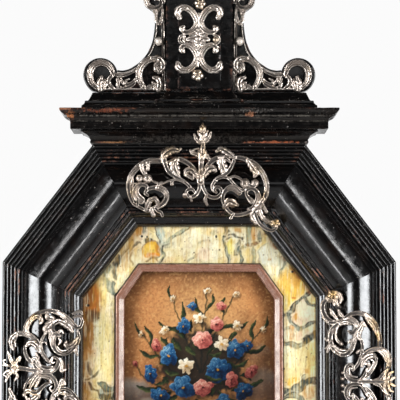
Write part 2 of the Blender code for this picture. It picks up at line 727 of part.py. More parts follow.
# ----------------------------------------------------------- the silver mounts
# Scrolls as points from each mount's own centre, left half first.
CREST_AT = (0.0, 510.0)
CREST_LEFT = [
    [(-32.6, 23.6), (-38.5, 24.6), (-49.3, 23.7), (-61.3, 18.1), (-70.4, 6.8), (-71.8, -2), (-66.9, -17), (-56.3, -24.7),
     (-47.5, -24), (-36, -18.4), (-33.2, -11), (-38, -4.2), (-46.5, -3.5)],
    [(-37.0, 29.4), (-35.4, 23.7), (-33.5, 17.4), (-25.5, 9.6), (-14.9, 3.3), (-8.6, -2.3), (-8.0, -5.4)],
    [(-40.4, 21.2), (-35.0, 29.6), (-30.4, 34.9), (-19.5, 36.3)],
    [(1.4, 7.6), (-9.3, 20.9), (-19.1, 26.1), (-33.6, 22.6)],
    [(0.8, 12), (-2, 4.7), (-1.5, -3), (-3.7, -9.3), (-9.5, -11.3), (-14.2, -7.2), (-12, -3.4), (-7.4, -3.6)],
    [(-60.5, -23.4), (-64, -7.2), (-59.5, -0.5), (-53.5, -2), (-54.5, -9)],
    [(-70.0, 3.6), (-61, 5.6), (-50, 4.4)],
]
CREST_RIGHT = [
    [(32.2, 28.9), (39.2, 28.2), (48.3, 25.6), (61.3, 16.4), (68.2, 1.9), (66.7, -11.1), (59, -22), (47.5, -28.7),
     (33, -27.9), (23.8, -16.5), (25.5, -7), (33.8, -2.7)],
    [(40.2, 25.2), (36.0, 29.6), (28.5, 33.5), (18.5, 34.5)],
    [(1.0, 7.0), (10.8, 20.3), (20.7, 26.4), (33.6, 23.0)],
    [(36.6, 32.4), (35.2, 27.0), (32.6, 19.8), (24.6, 9.6), (14.6, 1.9), (13.1, -3.8)],
    [(1.2, 11), (3.2, -0.4), (6.4, -8), (12.5, -12.3), (20.5, -10), (21, -4.5), (16, -3.5), (12.6, -2.4)],
    [(14.2, 1.5), (23.8, 7.3), (33, 3.4), (42.9, -4.2), (50.5, -1), (68, 1)],
    [(50.5, -27.4), (54.4, -21), (58, -11), (55, -4), (48, -5.5), (50.5, -14)],
]
CREST_LEAF = [[(54.6, -24.4), (55, -33), (60.5, -40.5), (70.5, -44), (77.5, -38)]]
CREST_STEM = [
    [(0.6, 2), (1.2, 12), (1.7, 25), (2.5, 35), (3.3, 48), (3, 62)],
    [(-8.5, 33.5), (1.5, 32), (9.5, 35)],
    [(-5, 49), (2.4, 42), (10.5, 50)],
]
scrollwork("crest_mount", shift(CREST_STEM + CREST_LEFT + CREST_RIGHT + CREST_LEAF, *CREST_AT),
           lambda x, z: over_frame(x, z, CREST_LINE))
# the lower mount answers the crest without its finial, upside down on the bottom rail
LOWER_STEM = [[(0.6, 2), (1.2, 12), (1.5, 24)]]
lower = scrollwork("lower_mount", shift(LOWER_STEM + CREST_LEFT + CREST_RIGHT, *CREST_AT),
                   lambda x, z: over_frame(x, z, CREST_LINE))
lower.data.transform(lower.matrix_world)
lower.matrix_world = Matrix.Identity(4)
lower.data.transform(Matrix.Translation((0.0, 0.0, 2 * Z_MID * MM)) @ Matrix.Diagonal((1.0, 1.0, -1.0, 1.0)))
lower.data.flip_normals()

SIDE_L_AT = (-157.5, 325.5)
SIDE_L_STEM = [[(-39, 1), (-22, 1.7), (-7, 0.5), (4, -0.4)]]
SIDE_L = [
    [(-17.1, 36.2), (-13.3, 47.8), (-2.5, 55.8), (8, 57.5), (18.6, 55.5), (26, 50), (33.3, 41.4), (38.5, 43.5), (40, 51.5), (35.8, 52.9)],
    [(31.4, 43.6), (36.8, 33.5), (35.8, 24.9), (28, 17), (18.6, 16.6), (11.5, 23.5), (11.2, 32), (17.3, 34.4)],
    [(29.6, 45.4), (22, 45), (14, 45.5), (11.4, 38.9), (12.0, 31)],
    [(-32.4, 24.9), (-30.5, 32), (-21.6, 35.7), (-12, 34), (-4.4, 26.8), (0.5, 18), (6.5, 8.9), (12, 6.5), (15.4, 10.2), (12, 12)],
    [(-9, 32.4), (-17.8, 24.2), (-16, 17.5), (-8.8, 8.3), (-4, 1.5), (1.4, 0.3), (8, -1.3), (14, 2), (15.6, 8.5)],
    [(5.5, 57.3), (4, 43.5), (2.6, 33.8), (-0.6, 26.5), (0.9, 17.2)],
    [(-27, 1.3), (-31, 12), (-32.4, 26.4)],
    [(-27.6, 1.3), (-35, 8), (-39, 9.5)],
]
scrollwork("side_mount_left", shift(SIDE_L_STEM + SIDE_L + mirror(SIDE_L, z=-1), *SIDE_L_AT), over_frame)
SIDE_R_AT = (157.5, 314.0)
SIDE_R_STEM = [[(-3, -0.4), (10.4, 0.8), (21, 1.6), (39, 0)]]
SIDE_R = [
    [(-22.5, 86.8), (-29.4, 85.7), (-33.5, 77), (-32.5, 65), (-26, 59), (-17, 60), (-10, 64.4), (-3, 68.3), (4, 68.1), (10.4, 65), (18, 56.5), (22.5, 46), (23.4, 31.5)],
    [(-17.4, 59.6), (-10.6, 61.6), (-5, 59), (-1.1, 53), (-5.7, 47.4), (-9, 51)],
    [(-18.4, 61.0), (-25, 52), (-26.7, 42), (-24, 32.1), (-16, 26), (-7.2, 29.8), (-4.8, 37), (-9, 42)],
    [(2, 18.4), (5.8, 27.5), (11, 32.5), (20, 33.5), (28.5, 29.5), (32.6, 20.7), (31.8, 2)],
    [(5.0, 29.0), (2, 18.4), (-4, 11.5), (-8.7, 11), (-4.5, 15.5), (-9.5, 17.4), (-12.2, 12), (-10, 4.5), (-3, 0.6), (5, 1.0)],
    [(-0.9, 54.0), (3, 41), (4.4, 28)],
    [(3.4, 0.6), (10, 17), (16, 24), (20, 34.2)],
    [(27, 1.0), (34, 7), (38.4, 9.5)],
]
scrollwork("side_mount_right", shift(SIDE_R_STEM + SIDE_R + mirror(SIDE_R, z=-1), *SIDE_R_AT), over_frame)

PILASTER_AT = (0.0, 657.5)
PILASTER_UL = [[(-19.6, 23.5), (-20.2, 29.1), (-16, 32.3), (-10, 31), (-4, 26), (-1.6, 19.5), (-4, 12.5), (-9, 7.2), (-15.5, 7.6), (-17.6, 12.7), (-14.4, 13.4)]]
PILASTER_SPINE = [[(0, -37), (0, -22), (0, 0), (0.3, 22), (0, 37)], [(-12, 0.2), (0, 0.4), (12, 0.2)]]
scrollwork(
    "pilaster_mount",
    shift(PILASTER_SPINE + PILASTER_UL + mirror(PILASTER_UL, x=-1) + mirror(PILASTER_UL, z=-1) + mirror(PILASTER_UL, -1, -1), *PILASTER_AT),
    lambda x, z: 47.2, 2.0,
)

VOLUTE = [(-100.1 + 12.6 * math.cos(math.radians(a)), 622.6 + 12.6 * math.sin(math.radians(a))) for a in range(-30, 251, 28)]
BRACKET_STROKES = [
    [(-104, 607.6), (-80, 607.4), (-60, 607.4), (-35.9, 607.6)],
    VOLUTE + [(-101, 609.4)],
    [(-87.0, 617.0), (-80.7, 612.6), (-71.7, 608.9), (-65, 613), (-60.9, 622)],
    [(-35.9, 636.0), (-42.7, 640), (-50.7, 637.5), (-57.7, 631), (-61.5, 623), (-60.7, 614), (-56.2, 607)],
    [(-83.6, 623.6), (-78.0, 623.4), (-68.4, 625.8), (-58.6, 632.2), (-51.6, 640.8), (-47.0, 651.6), (-44.2, 664.4), (-42.6, 676.0), (-42.0, 684.0), (-43.6, 690.4)],
    [(-35.9, 606.8), (-35.8, 640), (-35.8, 670), (-35.9, 704)],
    [(-35.6, 700), (-40, 705.4), (-47.0, 705.2), (-51.6, 700), (-50.4, 694), (-44.2, 688)],
]
for side, sign in (("left", 1.0), ("right", -1.0)):
    scrollwork(f"bracket_mount_{side}", mirror(BRACKET_STROKES, x=sign), lambda x, z: BRACKET_H[1] + 1.7, 1.6)

for obj in PARTS.objects:
    if obj.name.startswith(("foot_", "finial", "turn_button_screw", "hanger")):
        smooth(obj)
bpy.context.view_layer.update()
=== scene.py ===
import math

import bmesh
import bpy
import numpy as np
from mathutils import Matrix, Vector

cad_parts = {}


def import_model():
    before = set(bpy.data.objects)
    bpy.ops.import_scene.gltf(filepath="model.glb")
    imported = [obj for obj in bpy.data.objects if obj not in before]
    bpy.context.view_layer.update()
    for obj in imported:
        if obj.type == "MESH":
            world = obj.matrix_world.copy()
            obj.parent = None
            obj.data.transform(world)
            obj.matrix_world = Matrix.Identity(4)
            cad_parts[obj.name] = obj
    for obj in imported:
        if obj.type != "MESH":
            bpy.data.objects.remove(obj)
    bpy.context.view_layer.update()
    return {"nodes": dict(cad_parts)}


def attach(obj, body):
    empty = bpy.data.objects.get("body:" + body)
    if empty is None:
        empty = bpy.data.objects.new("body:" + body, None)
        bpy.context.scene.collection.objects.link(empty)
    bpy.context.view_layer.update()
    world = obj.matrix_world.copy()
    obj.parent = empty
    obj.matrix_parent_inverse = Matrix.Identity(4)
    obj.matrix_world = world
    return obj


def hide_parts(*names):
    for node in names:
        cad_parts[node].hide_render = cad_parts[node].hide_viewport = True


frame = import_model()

NODES = frame["nodes"]
SCENE = bpy.context.scene

# ------------------------------------------------------------------ dimensions
# millimetres; h is the distance forward of the carcass's back face
Z_MID = 321.0
OUTER = ((198.0, 112.5), (107.7, 231.0))
SIGHT = ((117.0, 76.0), (62.0, 148.0))
CARCASS_OUT = ((196.5, 111.9), (107.0, 229.4))
PANEL_OUT = ((123.0, 79.1), (65.6, 154.3))
SLIP_OUT = ((84.2, 77.9), (61.2, 110.3))
SLIP_IN = ((75.7, 75.6), (57.2, 102.7))
RAIL_W = 81.0
MARBLE_H = (9.8, 19.7)
MOUNT_LINE = [
    (-40.0, 55.4), (0.0, 34.5), (8.0, 38.0), (18.0, 44.0), (26.0, 50.0), (34.0, 53.8),
    (42.0, 55.8), (50.0, 53.8), (58.0, 48.6), (65.0, 43.4), (74.0, 41.0), (90.0, 38.6),
]
CREST_LINE = [
    (-40.0, 54.6), (0.0, 54.6), (30.0, 55.4), (42.0, 55.8), (50.0, 53.8), (58.0, 48.6),
    (65.0, 43.4), (74.0, 41.0), (90.0, 38.6),
]
CORE_X, CORE_H = 107.4, 29.7


def octagon(corners):
    (sx, sz), (tx, tz) = corners
    return np.array([
        (sx, sz), (tx, tz), (-tx, tz), (-sx, sz), (-sx, -sz), (-tx, -tz), (tx, -tz), (sx, -sz)
    ], float)


OUT8, SIG8 = octagon(OUTER), octagon(SIGHT)


def world(x, z, h):
    """Millimetres across, up and forward, as metres in the row frame."""
    x, z, h = np.broadcast_arrays(np.asarray(x, float), np.asarray(z, float), np.asarray(h, float))
    return np.stack([x, 30.0 - h, z], -1) * 0.001


# ----------------------------------------------------------------------- noise
def _lattice(i, seed):
    n = i[..., 0] * 73856093 ^ i[..., 1] * 19349663 ^ i[..., 2] * 83492791 ^ (seed * 40503 + 12345)
    n = (n ^ (n >> 13)) & 0x7FFFFFFF
    n = (n * (n * n * 15731 + 789221) + 1376312589) & 0x7FFFFFFF
    return n / float(0x7FFFFFFF)


def vnoise(p, seed=0):
    """Smooth value noise, 0 to 1, on points of any count with 2 or 3 coordinates."""
    p = np.asarray(p, float)
    if p.shape[-1] == 2:
        p = np.concatenate([p, np.zeros(p.shape[:-1] + (1,))], -1)
    i = np.floor(p).astype(np.int64)
    f = p - i
    u = f * f * (3 - 2 * f)
    total = 0.0
    for dx in (0, 1):
        for dy in (0, 1):
            for dz in (0, 1):
                w = (u[..., 0] if dx else 1 - u[..., 0]) * (u[..., 1] if dy else 1 - u[..., 1])
                w = w * (u[..., 2] if dz else 1 - u[..., 2])
                total = total + w * _lattice(i + np.array([dx, dy, dz]), seed)
    return total


def fbm(p, octaves=4, seed=0, gain=0.5):
    p = np.asarray(p, float)
    total, amp, norm = 0.0, 1.0, 0.0
    for k in range(octaves):
        total = total + amp * vnoise(p * 2.0 ** k + 17.3 * k, seed + 31 * k)
        norm += amp
        amp *= gain
    return total / norm


def ramp(v, lo, hi):
    u = np.clip((v - lo) / (hi - lo), 0, 1)
    return u * u * (3 - 2 * u)


# ------------------------------------------------------------------- materials
class Mat:
    """A node material, with short ways to add nodes."""

    def __init__(self, name):
        self.m = bpy.data.materials.new(name)
        self.m.use_nodes = True
        self.t = self.m.node_tree
        self.bsdf = self.t.nodes["Principled BSDF"]

    def n(self, kind, **props):
        node = self.t.nodes.new(kind)
        for k, v in props.items():
            if isinstance(v, (int, float, tuple)) and k in node.inputs:
                node.inputs[k].default_value = v
            else:
                setattr(node, k, v)
        return node

    def link(self, a, b):
        self.t.links.new(a, b)

    def attr(self, name, vector=False):
        node = self.n("ShaderNodeAttribute", attribute_name=name)
        return node.outputs["Vector"] if vector else node.outputs["Fac"]

    def colour_attr(self, name):
        return self.n("ShaderNodeAttribute", attribute_name=name).outputs["Color"]

    def coords(self, scale=(1, 1, 1)):
        tc = self.n("ShaderNodeTexCoord")
        mp = self.n("ShaderNodeMapping")
        mp.inputs["Scale"].default_value = scale
        self.link(tc.outputs["Object"], mp.inputs["Vector"])
        return mp.outputs["Vector"]

    def noise(self, vec, scale, detail=3.0, rough=0.55, dist=0.0):
        node = self.n("ShaderNodeTexNoise")
        node.inputs["Scale"].default_value = scale
        node.inputs["Detail"].default_value = detail
        node.inputs["Roughness"].default_value = rough
        node.inputs["Distortion"].default_value = dist
        self.link(vec, node.inputs["Vector"])
        return node.outputs["Fac"]

    def voronoi(self, vec, scale, randomness=1.0):
        node = self.n("ShaderNodeTexVoronoi")
        node.inputs["Scale"].default_value = scale
        node.inputs["Randomness"].default_value = randomness
        self.link(vec, node.inputs["Vector"])
        return node

    def ramp(self, value, lo, hi, a=0.0, b=1.0):
        node = self.n("ShaderNodeMapRange", interpolation_type="SMOOTHSTEP")
        node.inputs["From Min"].default_value = lo
        node.inputs["From Max"].default_value = hi
        node.inputs["To Min"].default_value = a
        node.inputs["To Max"].default_value = b
        self.link(value, node.inputs["Value"])
        return node.outputs["Result"]

    def math(self, op, a, b=None, clamp=False):
        node = self.n("ShaderNodeMath", operation=op, use_clamp=clamp)
        for k, v in enumerate((a, b)):
            if v is None:
                continue
            if isinstance(v, (int, float)):
                node.inputs[k].default_value = v
            else:
                self.link(v, node.inputs[k])
        return node.outputs[0]

    def mix(self, fac, a, b, blend="MIX"):
        node = self.n("ShaderNodeMix", data_type="RGBA", blend_type=blend)
        for sock, v in ((node.inputs["Factor"], fac), (node.inputs[6], a), (node.inputs[7], b)):
            if isinstance(v, (int, float)):
                sock.default_value = v
            elif isinstance(v, tuple):
                sock.default_value = (*v, 1.0) if len(v) == 3 else v
            else:
                self.link(v, sock)
        return node.outputs[2]

    def bump(self, height, distance, strength=1.0, normal=None):
        node = self.n("ShaderNodeBump")
        node.inputs["Strength"].default_value = strength
        node.inputs["Distance"].default_value = distance
        self.link(height, node.inputs["Height"])
        if normal is not None:
            self.link(normal, node.inputs["Normal"])
        return node.outputs["Normal"]

    def out(self, **sockets):
        for k, v in sockets.items():
            s = self.bsdf.inputs[k.replace("_", " ")]
            if isinstance(v, (int, float)):
                s.default_value = v
            elif isinstance(v, tuple):
                s.default_value = (*v, 1.0) if len(v) == 3 else v
            else:
                self.link(v, s)
        return self.m


def ebony_material(name, specks=1.0, gloss=0.15, rubs_and_painted_lines=(), sheen=(0.97, 0.965, 0.965)):
    m = Mat(name)
    obj = m.coords()
    grain = m.attr("grain", vector=True)
    wear = m.attr("wear")
    streak = m.noise(grain, 1500.0, 5.0, 0.65, 0.35)
    broad = m.noise(obj, 34.0, 4.0, 0.6)
    mottled = m.noise(obj, 170.0, 5.0, 0.64)
    fine = m.noise(obj, 820.0, 3.0, 0.6)
    base = m.mix(m.ramp(streak, 0.46, 0.78), (0.0012, 0.0012, 0.0013), (0.0052, 0.0032, 0.0024))
    base = m.mix(m.ramp(broad, 0.50, 0.76, 0.0, 0.75), base, (0.0062, 0.0032, 0.0021))
    # worn edges: red-brown ground first, bare wood where it is rubbed through
    rub = m.math("MULTIPLY", wear, m.ramp(mottled, 0.30, 0.66, 0.10, 1.30))
    rub = m.math("MULTIPLY", rub, m.ramp(fine, 0.30, 0.62, 0.45, 1.15))
    base = m.mix(m.ramp(rub, 0.20, 0.60, 0.0, 0.90), base, (0.036, 0.0115, 0.0058))
    base = m.mix(m.ramp(rub, 0.55, 1.0, 0.0, 0.85), base, (0.17, 0.066, 0.031))
    # dust and tiny chips
    cells = m.voronoi(obj, 470.0)
    pick = m.n("ShaderNodeSeparateColor")
    m.link(cells.outputs["Color"], pick.inputs["Color"])
    chip = m.math("MULTIPLY", m.ramp(m.math("ADD", cells.outputs["Distance"], m.ramp(fine, 0.3, 0.7, -0.10, 0.10)), 0.08, 0.24, 1.0, 0.0),
                  m.ramp(pick.outputs["Red"], 0.84, 0.96, 0.0, 1.0))
    chip = m.math("MULTIPLY", chip, m.ramp(m.noise(obj, 26.0, 3.0), 0.42, 0.62, 0.10, 1.0))
    base = m.mix(m.math("MULTIPLY", chip, 0.70 * specks), base, (0.36, 0.31, 0.27))
    # short pale scratches along the grain
    scratch = m.ramp(m.noise(grain, 5200.0, 2.0, 0.5), 0.70, 0.77)
    scratch = m.math("MULTIPLY", scratch, m.ramp(mottled, 0.50, 0.62))
    base = m.mix(m.math("MULTIPLY", scratch, 0.5), base, (0.16, 0.115, 0.095))
    # worm holes and dents
    holes = m.voronoi(obj, 95.0)
    pick2 = m.n("ShaderNodeSeparateColor")
    m.link(holes.outputs["Color"], pick2.inputs["Color"])
    hole = m.math("MULTIPLY", m.ramp(holes.outputs["Distance"], 0.075, 0.12, 1.0, 0.0),
                  m.ramp(pick2.outputs["Green"], 0.80, 0.82, 0.0, 1.0))
    base = m.mix(hole, base, (0.0012, 0.001, 0.001))
    rough = m.math("ADD", m.ramp(mottled, 0.32, 0.74, gloss - 0.04, gloss + 0.12), m.math("MULTIPLY", rub, 0.35))
    rough = m.math("ADD", rough, m.ramp(streak, 0.5, 0.8, 0.0, 0.16))
    rough = m.math("ADD", rough, m.math("MULTIPLY", chip, 0.4), clamp=True)
    height = m.math("ADD", m.math("MULTIPLY", streak, 0.09), m.math("MULTIPLY", mottled, 0.50))
    height = m.math("ADD", height, m.math("MULTIPLY", fine, 0.06))
    height = m.math("SUBTRACT", height, m.math("MULTIPLY", hole, 4.0))
    height = m.math("ADD", height, m.math("MULTIPLY", chip, 0.5))
    spec = 0.46
    if rubs_and_painted_lines:   # places rubbed or chipped through, and thin painted highlight lines along fillet edges, in mm across and up
        sep = m.n("ShaderNodeSeparateXYZ")
        m.link(obj, sep.inputs[0])
        ragged = m.noise(obj, 230.0, 5.0, 0.66)
        dull = 0.0
        for x, z, rx, rz, tint, strength, flat, lo in rubs_and_painted_lines:
            dx = m.math("MULTIPLY", m.math("SUBTRACT", sep.outputs["X"], x * 0.001), 1000.0 / rx)
            dz = m.math("MULTIPLY", m.math("SUBTRACT", sep.outputs["Z"], z * 0.001), 1000.0 / rz)
            d2 = m.math("ADD", m.math("MULTIPLY", dx, dx), m.math("MULTIPLY", dz, dz))
            d2 = m.math("ADD", d2, m.ramp(ragged, 0.28, 0.72, 1.1, -0.5))
            mask = m.math("MULTIPLY", m.ramp(d2, 0.15, 1.0, 1.0, 0.0), m.ramp(fine, lo, lo + 0.26, 0.0, 1.0))
            base = m.mix(m.math("MULTIPLY", mask, strength), base, tint)
            dull = m.math("ADD", m.math("MULTIPLY", mask, flat), dull, clamp=True)
        rough = m.math("ADD", rough, m.math("MULTIPLY", dull, 0.45), clamp=True)
        spec = m.ramp(dull, 0.0, 1.0, 0.46, 0.10)
    return m.out(Base_Color=base, Roughness=rough, IOR=1.5, Specular_IOR_Level=spec,
                 Specular_Tint=sheen, Normal=m.bump(height, 0.00022, 0.8))


def silver_material(name):
    m = Mat(name)
    obj = m.coords()
    cavity = m.attr("cavity")
    tone = m.noise(obj, 130.0, 4.0, 0.6)
    fine = m.noise(obj, 900.0, 3.0, 0.6)
    spots = m.noise(obj, 70.0, 4.0, 0.65, 0.4)
    base = m.mix(m.ramp(tone, 0.3, 0.72), (0.216, 0.176, 0.148), (0.350, 0.298, 0.258))
    base = m.mix(m.ramp(spots, 0.56, 0.72, 0.0, 0.60), base, (0.255, 0.190, 0.095))
    # rubbed bright on the rims, black in the hollows
    base = m.mix(m.ramp(cavity, -0.06, -0.42, 0.0, 1.0), base, (0.750, 0.670, 0.605))
    gilt = m.math("MULTIPLY", m.attr("gilt"), m.ramp(tone, 0.30, 0.58, 0.35, 1.0))
    base = m.mix(gilt, base, (0.86, 0.62, 0.24), "MULTIPLY")
    dirt = m.math("ADD", cavity, m.ramp(spots, 0.36, 0.66, -0.12, 0.14))
    base = m.mix(m.ramp(dirt, 0.12, 0.56, 0.0, 0.96), base, (0.016, 0.012, 0.010))
    rough = m.math("ADD", m.ramp(fine, 0.25, 0.8, 0.25, 0.40), m.ramp(dirt, 0.2, 0.6, 0.0, 0.3), clamp=True)
    metal = m.ramp(dirt, 0.1, 0.6, 0.88, 0.45)
    height = m.math("ADD", m.math("MULTIPLY", fine, 0.2), m.math("MULTIPLY", tone, 1.2))
    return m.out(Base_Color=base, Roughness=rough, Metallic=metal, Normal=m.bump(height, 0.00018, 0.8))


def marble_material(name):
    m = Mat(name)
    obj = m.coords()
    tall = m.coords((1.0, 1.0, 0.22))
    paint = m.colour_attr("paint")
    streak = m.noise(tall, 420.0, 4.0, 0.62, 0.5)
    fine = m.noise(obj, 700.0, 3.0, 0.6)
    base = m.mix(m.ramp(streak, 0.36, 0.7, 0.0, 0.30), paint, (0.70, 0.60, 0.38), "MULTIPLY")
    base = m.mix(m.ramp(fine, 0.55, 0.85, 0.0, 0.28), base, (0.62, 0.55, 0.42), "MULTIPLY")
    pits = m.voronoi(obj, 240.0)
    pick = m.n("ShaderNodeSeparateColor")
    m.link(pits.outputs["Color"], pick.inputs["Color"])
    pit = m.math("MULTIPLY", m.ramp(pits.outputs["Distance"], 0.09, 0.2, 1.0, 0.0), m.ramp(pick.outputs["Blue"], 0.95, 0.96))
    base = m.mix(m.math("MULTIPLY", pit, 0.75), base, (0.10, 0.06, 0.035))
    rough = m.ramp(streak, 0.3, 0.75, 0.34, 0.52)
    height = m.math("SUBTRACT", m.math("ADD", m.math("MULTIPLY", streak, 0.6), m.math("MULTIPLY", fine, 0.5)), m.math("MULTIPLY", pit, 2.0))
    return m.out(Base_Color=base, Roughness=rough, Specular_IOR_Level=0.35, Normal=m.bump(height, 0.00016, 0.7))


def picture_material(name):
    m = Mat(name)
    obj = m.coords()
    paint = m.colour_attr("paint")
    dab = m.noise(obj, 420.0, 4.0, 0.6, 0.6)
    fine = m.noise(obj, 1500.0, 2.0, 0.6)
    base = m.mix(m.ramp(dab, 0.35, 0.7, 0.0, 0.26), paint, (0.62, 0.56, 0.50), "MULTIPLY")
    crack = m.voronoi(obj, 210.0)
    rough = m.ramp(dab, 0.3, 0.7, 0.42, 0.60)
    height = m.math("ADD", m.math("MULTIPLY", dab, 0.9), m.math("MULTIPLY", fine, 0.4))
    height = m.math("ADD", height, m.ramp(crack.outputs["Distance"], 0.0, 0.4, 0.0, 0.25))
    return m.out(Base_Color=base, Roughness=rough, Specular_IOR_Level=0.10, Normal=m.bump(height, 0.00012, 0.6))


def slip_material(name):
    m = Mat(name)
    obj = m.coords()
    wear = m.attr("wear")
    grain = m.attr("grain", vector=True)
    streak = m.noise(grain, 1300.0, 4.0, 0.6)
    blot = m.noise(obj, 150.0, 4.0, 0.6)
    base = m.mix(m.ramp(streak, 0.4, 0.7), (0.125, 0.054, 0.034), (0.205, 0.100, 0.068))
    base = m.mix(m.ramp(blot, 0.5, 0.75, 0.0, 0.7), base, (0.060, 0.022, 0.015))
    rub = m.math("MULTIPLY", wear, m.ramp(blot, 0.28, 0.6, 0.3, 1.2))
    base = m.mix(m.ramp(rub, 0.4, 1.0, 0.0, 0.75), base, (0.36, 0.20, 0.145))
    rough = m.math("ADD", m.ramp(blot, 0.3, 0.7, 0.15, 0.38), m.ramp(streak, 0.45, 0.75, 0.0, 0.14))
    return m.out(Base_Color=base, Roughness=rough, IOR=1.5, Specular_IOR_Level=0.50, Specular_Tint=(1.0, 0.95, 0.87),
                 Normal=m.bump(m.math("ADD", m.math("MULTIPLY", streak, 0.20), blot), 0.00022, 0.8))


def raw_wood_material(name, light, dark, along, stain=None):
    """Bare aged softwood; along is the object-space scale that draws the grain out; in front of stain it is blackened."""
    m = Mat(name)
    obj = m.coords()
    run = m.coords(along)
    wave = m.n("ShaderNodeTexWave", wave_type="BANDS", bands_direction="X")
    wave.inputs["Scale"].default_value = 26.0
    wave.inputs["Distortion"].default_value = 6.0
    wave.inputs["Detail"].default_value = 3.0
    wave.inputs["Detail Scale"].default_value = 1.4
    m.link(run, wave.inputs["Vector"])
    m.link(m.ramp(m.noise(run, 9.0, 3.0, 0.55), 0.2, 0.8, 0.0, 46.0), wave.inputs["Phase Offset"])
    fibre = m.noise(run, 620.0, 4.0, 0.62)
    blot = m.noise(obj, 22.0, 5.0, 0.6)
    base = m.mix(m.ramp(wave.outputs["Fac"], 0.35, 0.9), light, dark)
    base = m.mix(m.ramp(fibre, 0.4, 0.75, 0.0, 0.55), base, tuple(c * 0.45 for c in dark))
    base = m.mix(m.ramp(blot, 0.48, 0.78, 0.0, 0.6), base, tuple(c * 0.35 for c in dark))
    holes = m.voronoi(obj, 120.0)
    pick = m.n("ShaderNodeSeparateColor")
    m.link(holes.outputs["Color"], pick.inputs["Color"])
    hole = m.math("MULTIPLY", m.ramp(holes.outputs["Distance"], 0.08, 0.13, 1.0, 0.0), m.ramp(pick.outputs["Red"], 0.86, 0.87))
    base = m.mix(hole, base, (0.012, 0.007, 0.004))
    if stain is not None:
        sep = m.n("ShaderNodeSeparateXYZ")
        m.link(obj, sep.inputs[0])
        reach = m.math("ADD", sep.outputs["Y"], m.ramp(fibre, 0.3, 0.7, -0.0012, 0.0012))
        base = m.mix(m.ramp(reach, stain - 0.0015, stain + 0.0015, 0.97, 0.0), base, (0.0042, 0.0032, 0.0028))
    rough = m.ramp(fibre, 0.3, 0.8, 0.62, 0.85)
    height = m.math("SUBTRACT", m.math("ADD", m.math("MULTIPLY", fibre, 1.0), m.math("MULTIPLY", wave.outputs["Fac"], 0.5)), m.math("MULTIPLY", hole, 3.0))
    return m.out(Base_Color=base, Roughness=rough, Normal=m.bump(height, 0.0003, 0.8))


def dull_metal_material(name, light, dark, metallic, rough_lo, rough_hi):
    m = Mat(name)
    obj = m.coords()
    blot = m.noise(obj, 230.0, 5.0, 0.62, 0.3)
    fine = m.noise(obj, 1600.0, 3.0, 0.6)
    base = m.mix(m.ramp(blot, 0.36, 0.68), light, dark)
    rough = m.ramp(blot, 0.3, 0.7, rough_lo, rough_hi)
    height = m.math("ADD", m.math("MULTIPLY", blot, 0.8), m.math("MULTIPLY", fine, 0.5))
    return m.out(Base_Color=base, Roughness=rough, Metallic=metallic, Normal=m.bump(height, 0.0001, 0.7))


EBONY = ebony_material("ebonised_wood_worn")
EBONY_CLEAN = ebony_material("ebonised_wood_clean", 0.35)
EBONY_CORNICE = ebony_material("ebonised_wood_cornice", 0.8, 0.17, (
    # the first two entries are thin painted highlight lines along the corona's fillets, standing for edges that catch
    # the light
    (0.0, 578.4, 420.0, 0.85, (0.060, 0.054, 0.046), 0.80, 0.2, 0.28), (0.0, 573.4, 420.0, 0.75, (0.050, 0.045, 0.038), 0.75, 0.2, 0.30),
    (-8.0, 556.0, 72.0, 8.5, (0.034, 0.029, 0.025), 0.70, 0.25, 0.32),
    (74.0, 553.8, 35.0, 2.0, (0.20, 0.050, 0.018), 0.9, 0.4, 0.26), (-89.0, 553.6, 20.0, 1.7, (0.20, 0.092, 0.038), 0.85, 0.4, 0.30),
    (-92.0, 582.6, 28.0, 2.6, (0.11, 0.026, 0.010), 0.90, 0.5, 0.32), (-129.0, 578.0, 8.5, 8.0, (0.030, 0.012, 0.007), 0.85, 1.0, 0.05),
    (-128.6, 579.2, 5.4, 4.6, (0.24, 0.088, 0.034), 0.9, 0.8, 0.34), (51.0, 579.8, 6.6, 3.0, (0.24, 0.10, 0.052), 0.9, 0.5, 0.30),
    (50.0, 583.0, 34.0, 3.0, (0.26, 0.24, 0.22), 0.65, 0.5, 0.50), (134.0, 578.0, 10.0, 8.0, (0.006, 0.005, 0.004), 0.5, 1.0, 0.05),
), (1.0, 0.92, 0.85))
SILVER = silver_material("chased_silver")
SILVER_DULL = dull_metal_material("rubbed_silver", (0.60, 0.53, 0.47), (0.36, 0.31, 0.26), 0.70, 0.48, 0.62)
MARBLE = marble_material("marbled_paint")
PICTURE = picture_material("oil_paint")
SLIP = slip_material("red_slip_paint")
BOARD = raw_wood_material("old_softwood_upright", (0.27, 0.165, 0.085), (0.15, 0.082, 0.040), (1.0, 1.0, 0.06))
BOARD_X = raw_wood_material("old_softwood_level", (0.24, 0.145, 0.075), (0.13, 0.072, 0.036), (0.06, 1.0, 1.0), 0.026)
BRASS = dull_metal_material("dull_brass", (0.60, 0.42, 0.17), (0.24, 0.145, 0.055), 0.92, 0.30, 0.55)
IRON = dull_metal_material("dark_iron", (0.13, 0.12, 0.115), (0.055, 0.032, 0.022), 0.75, 0.42, 0.7)


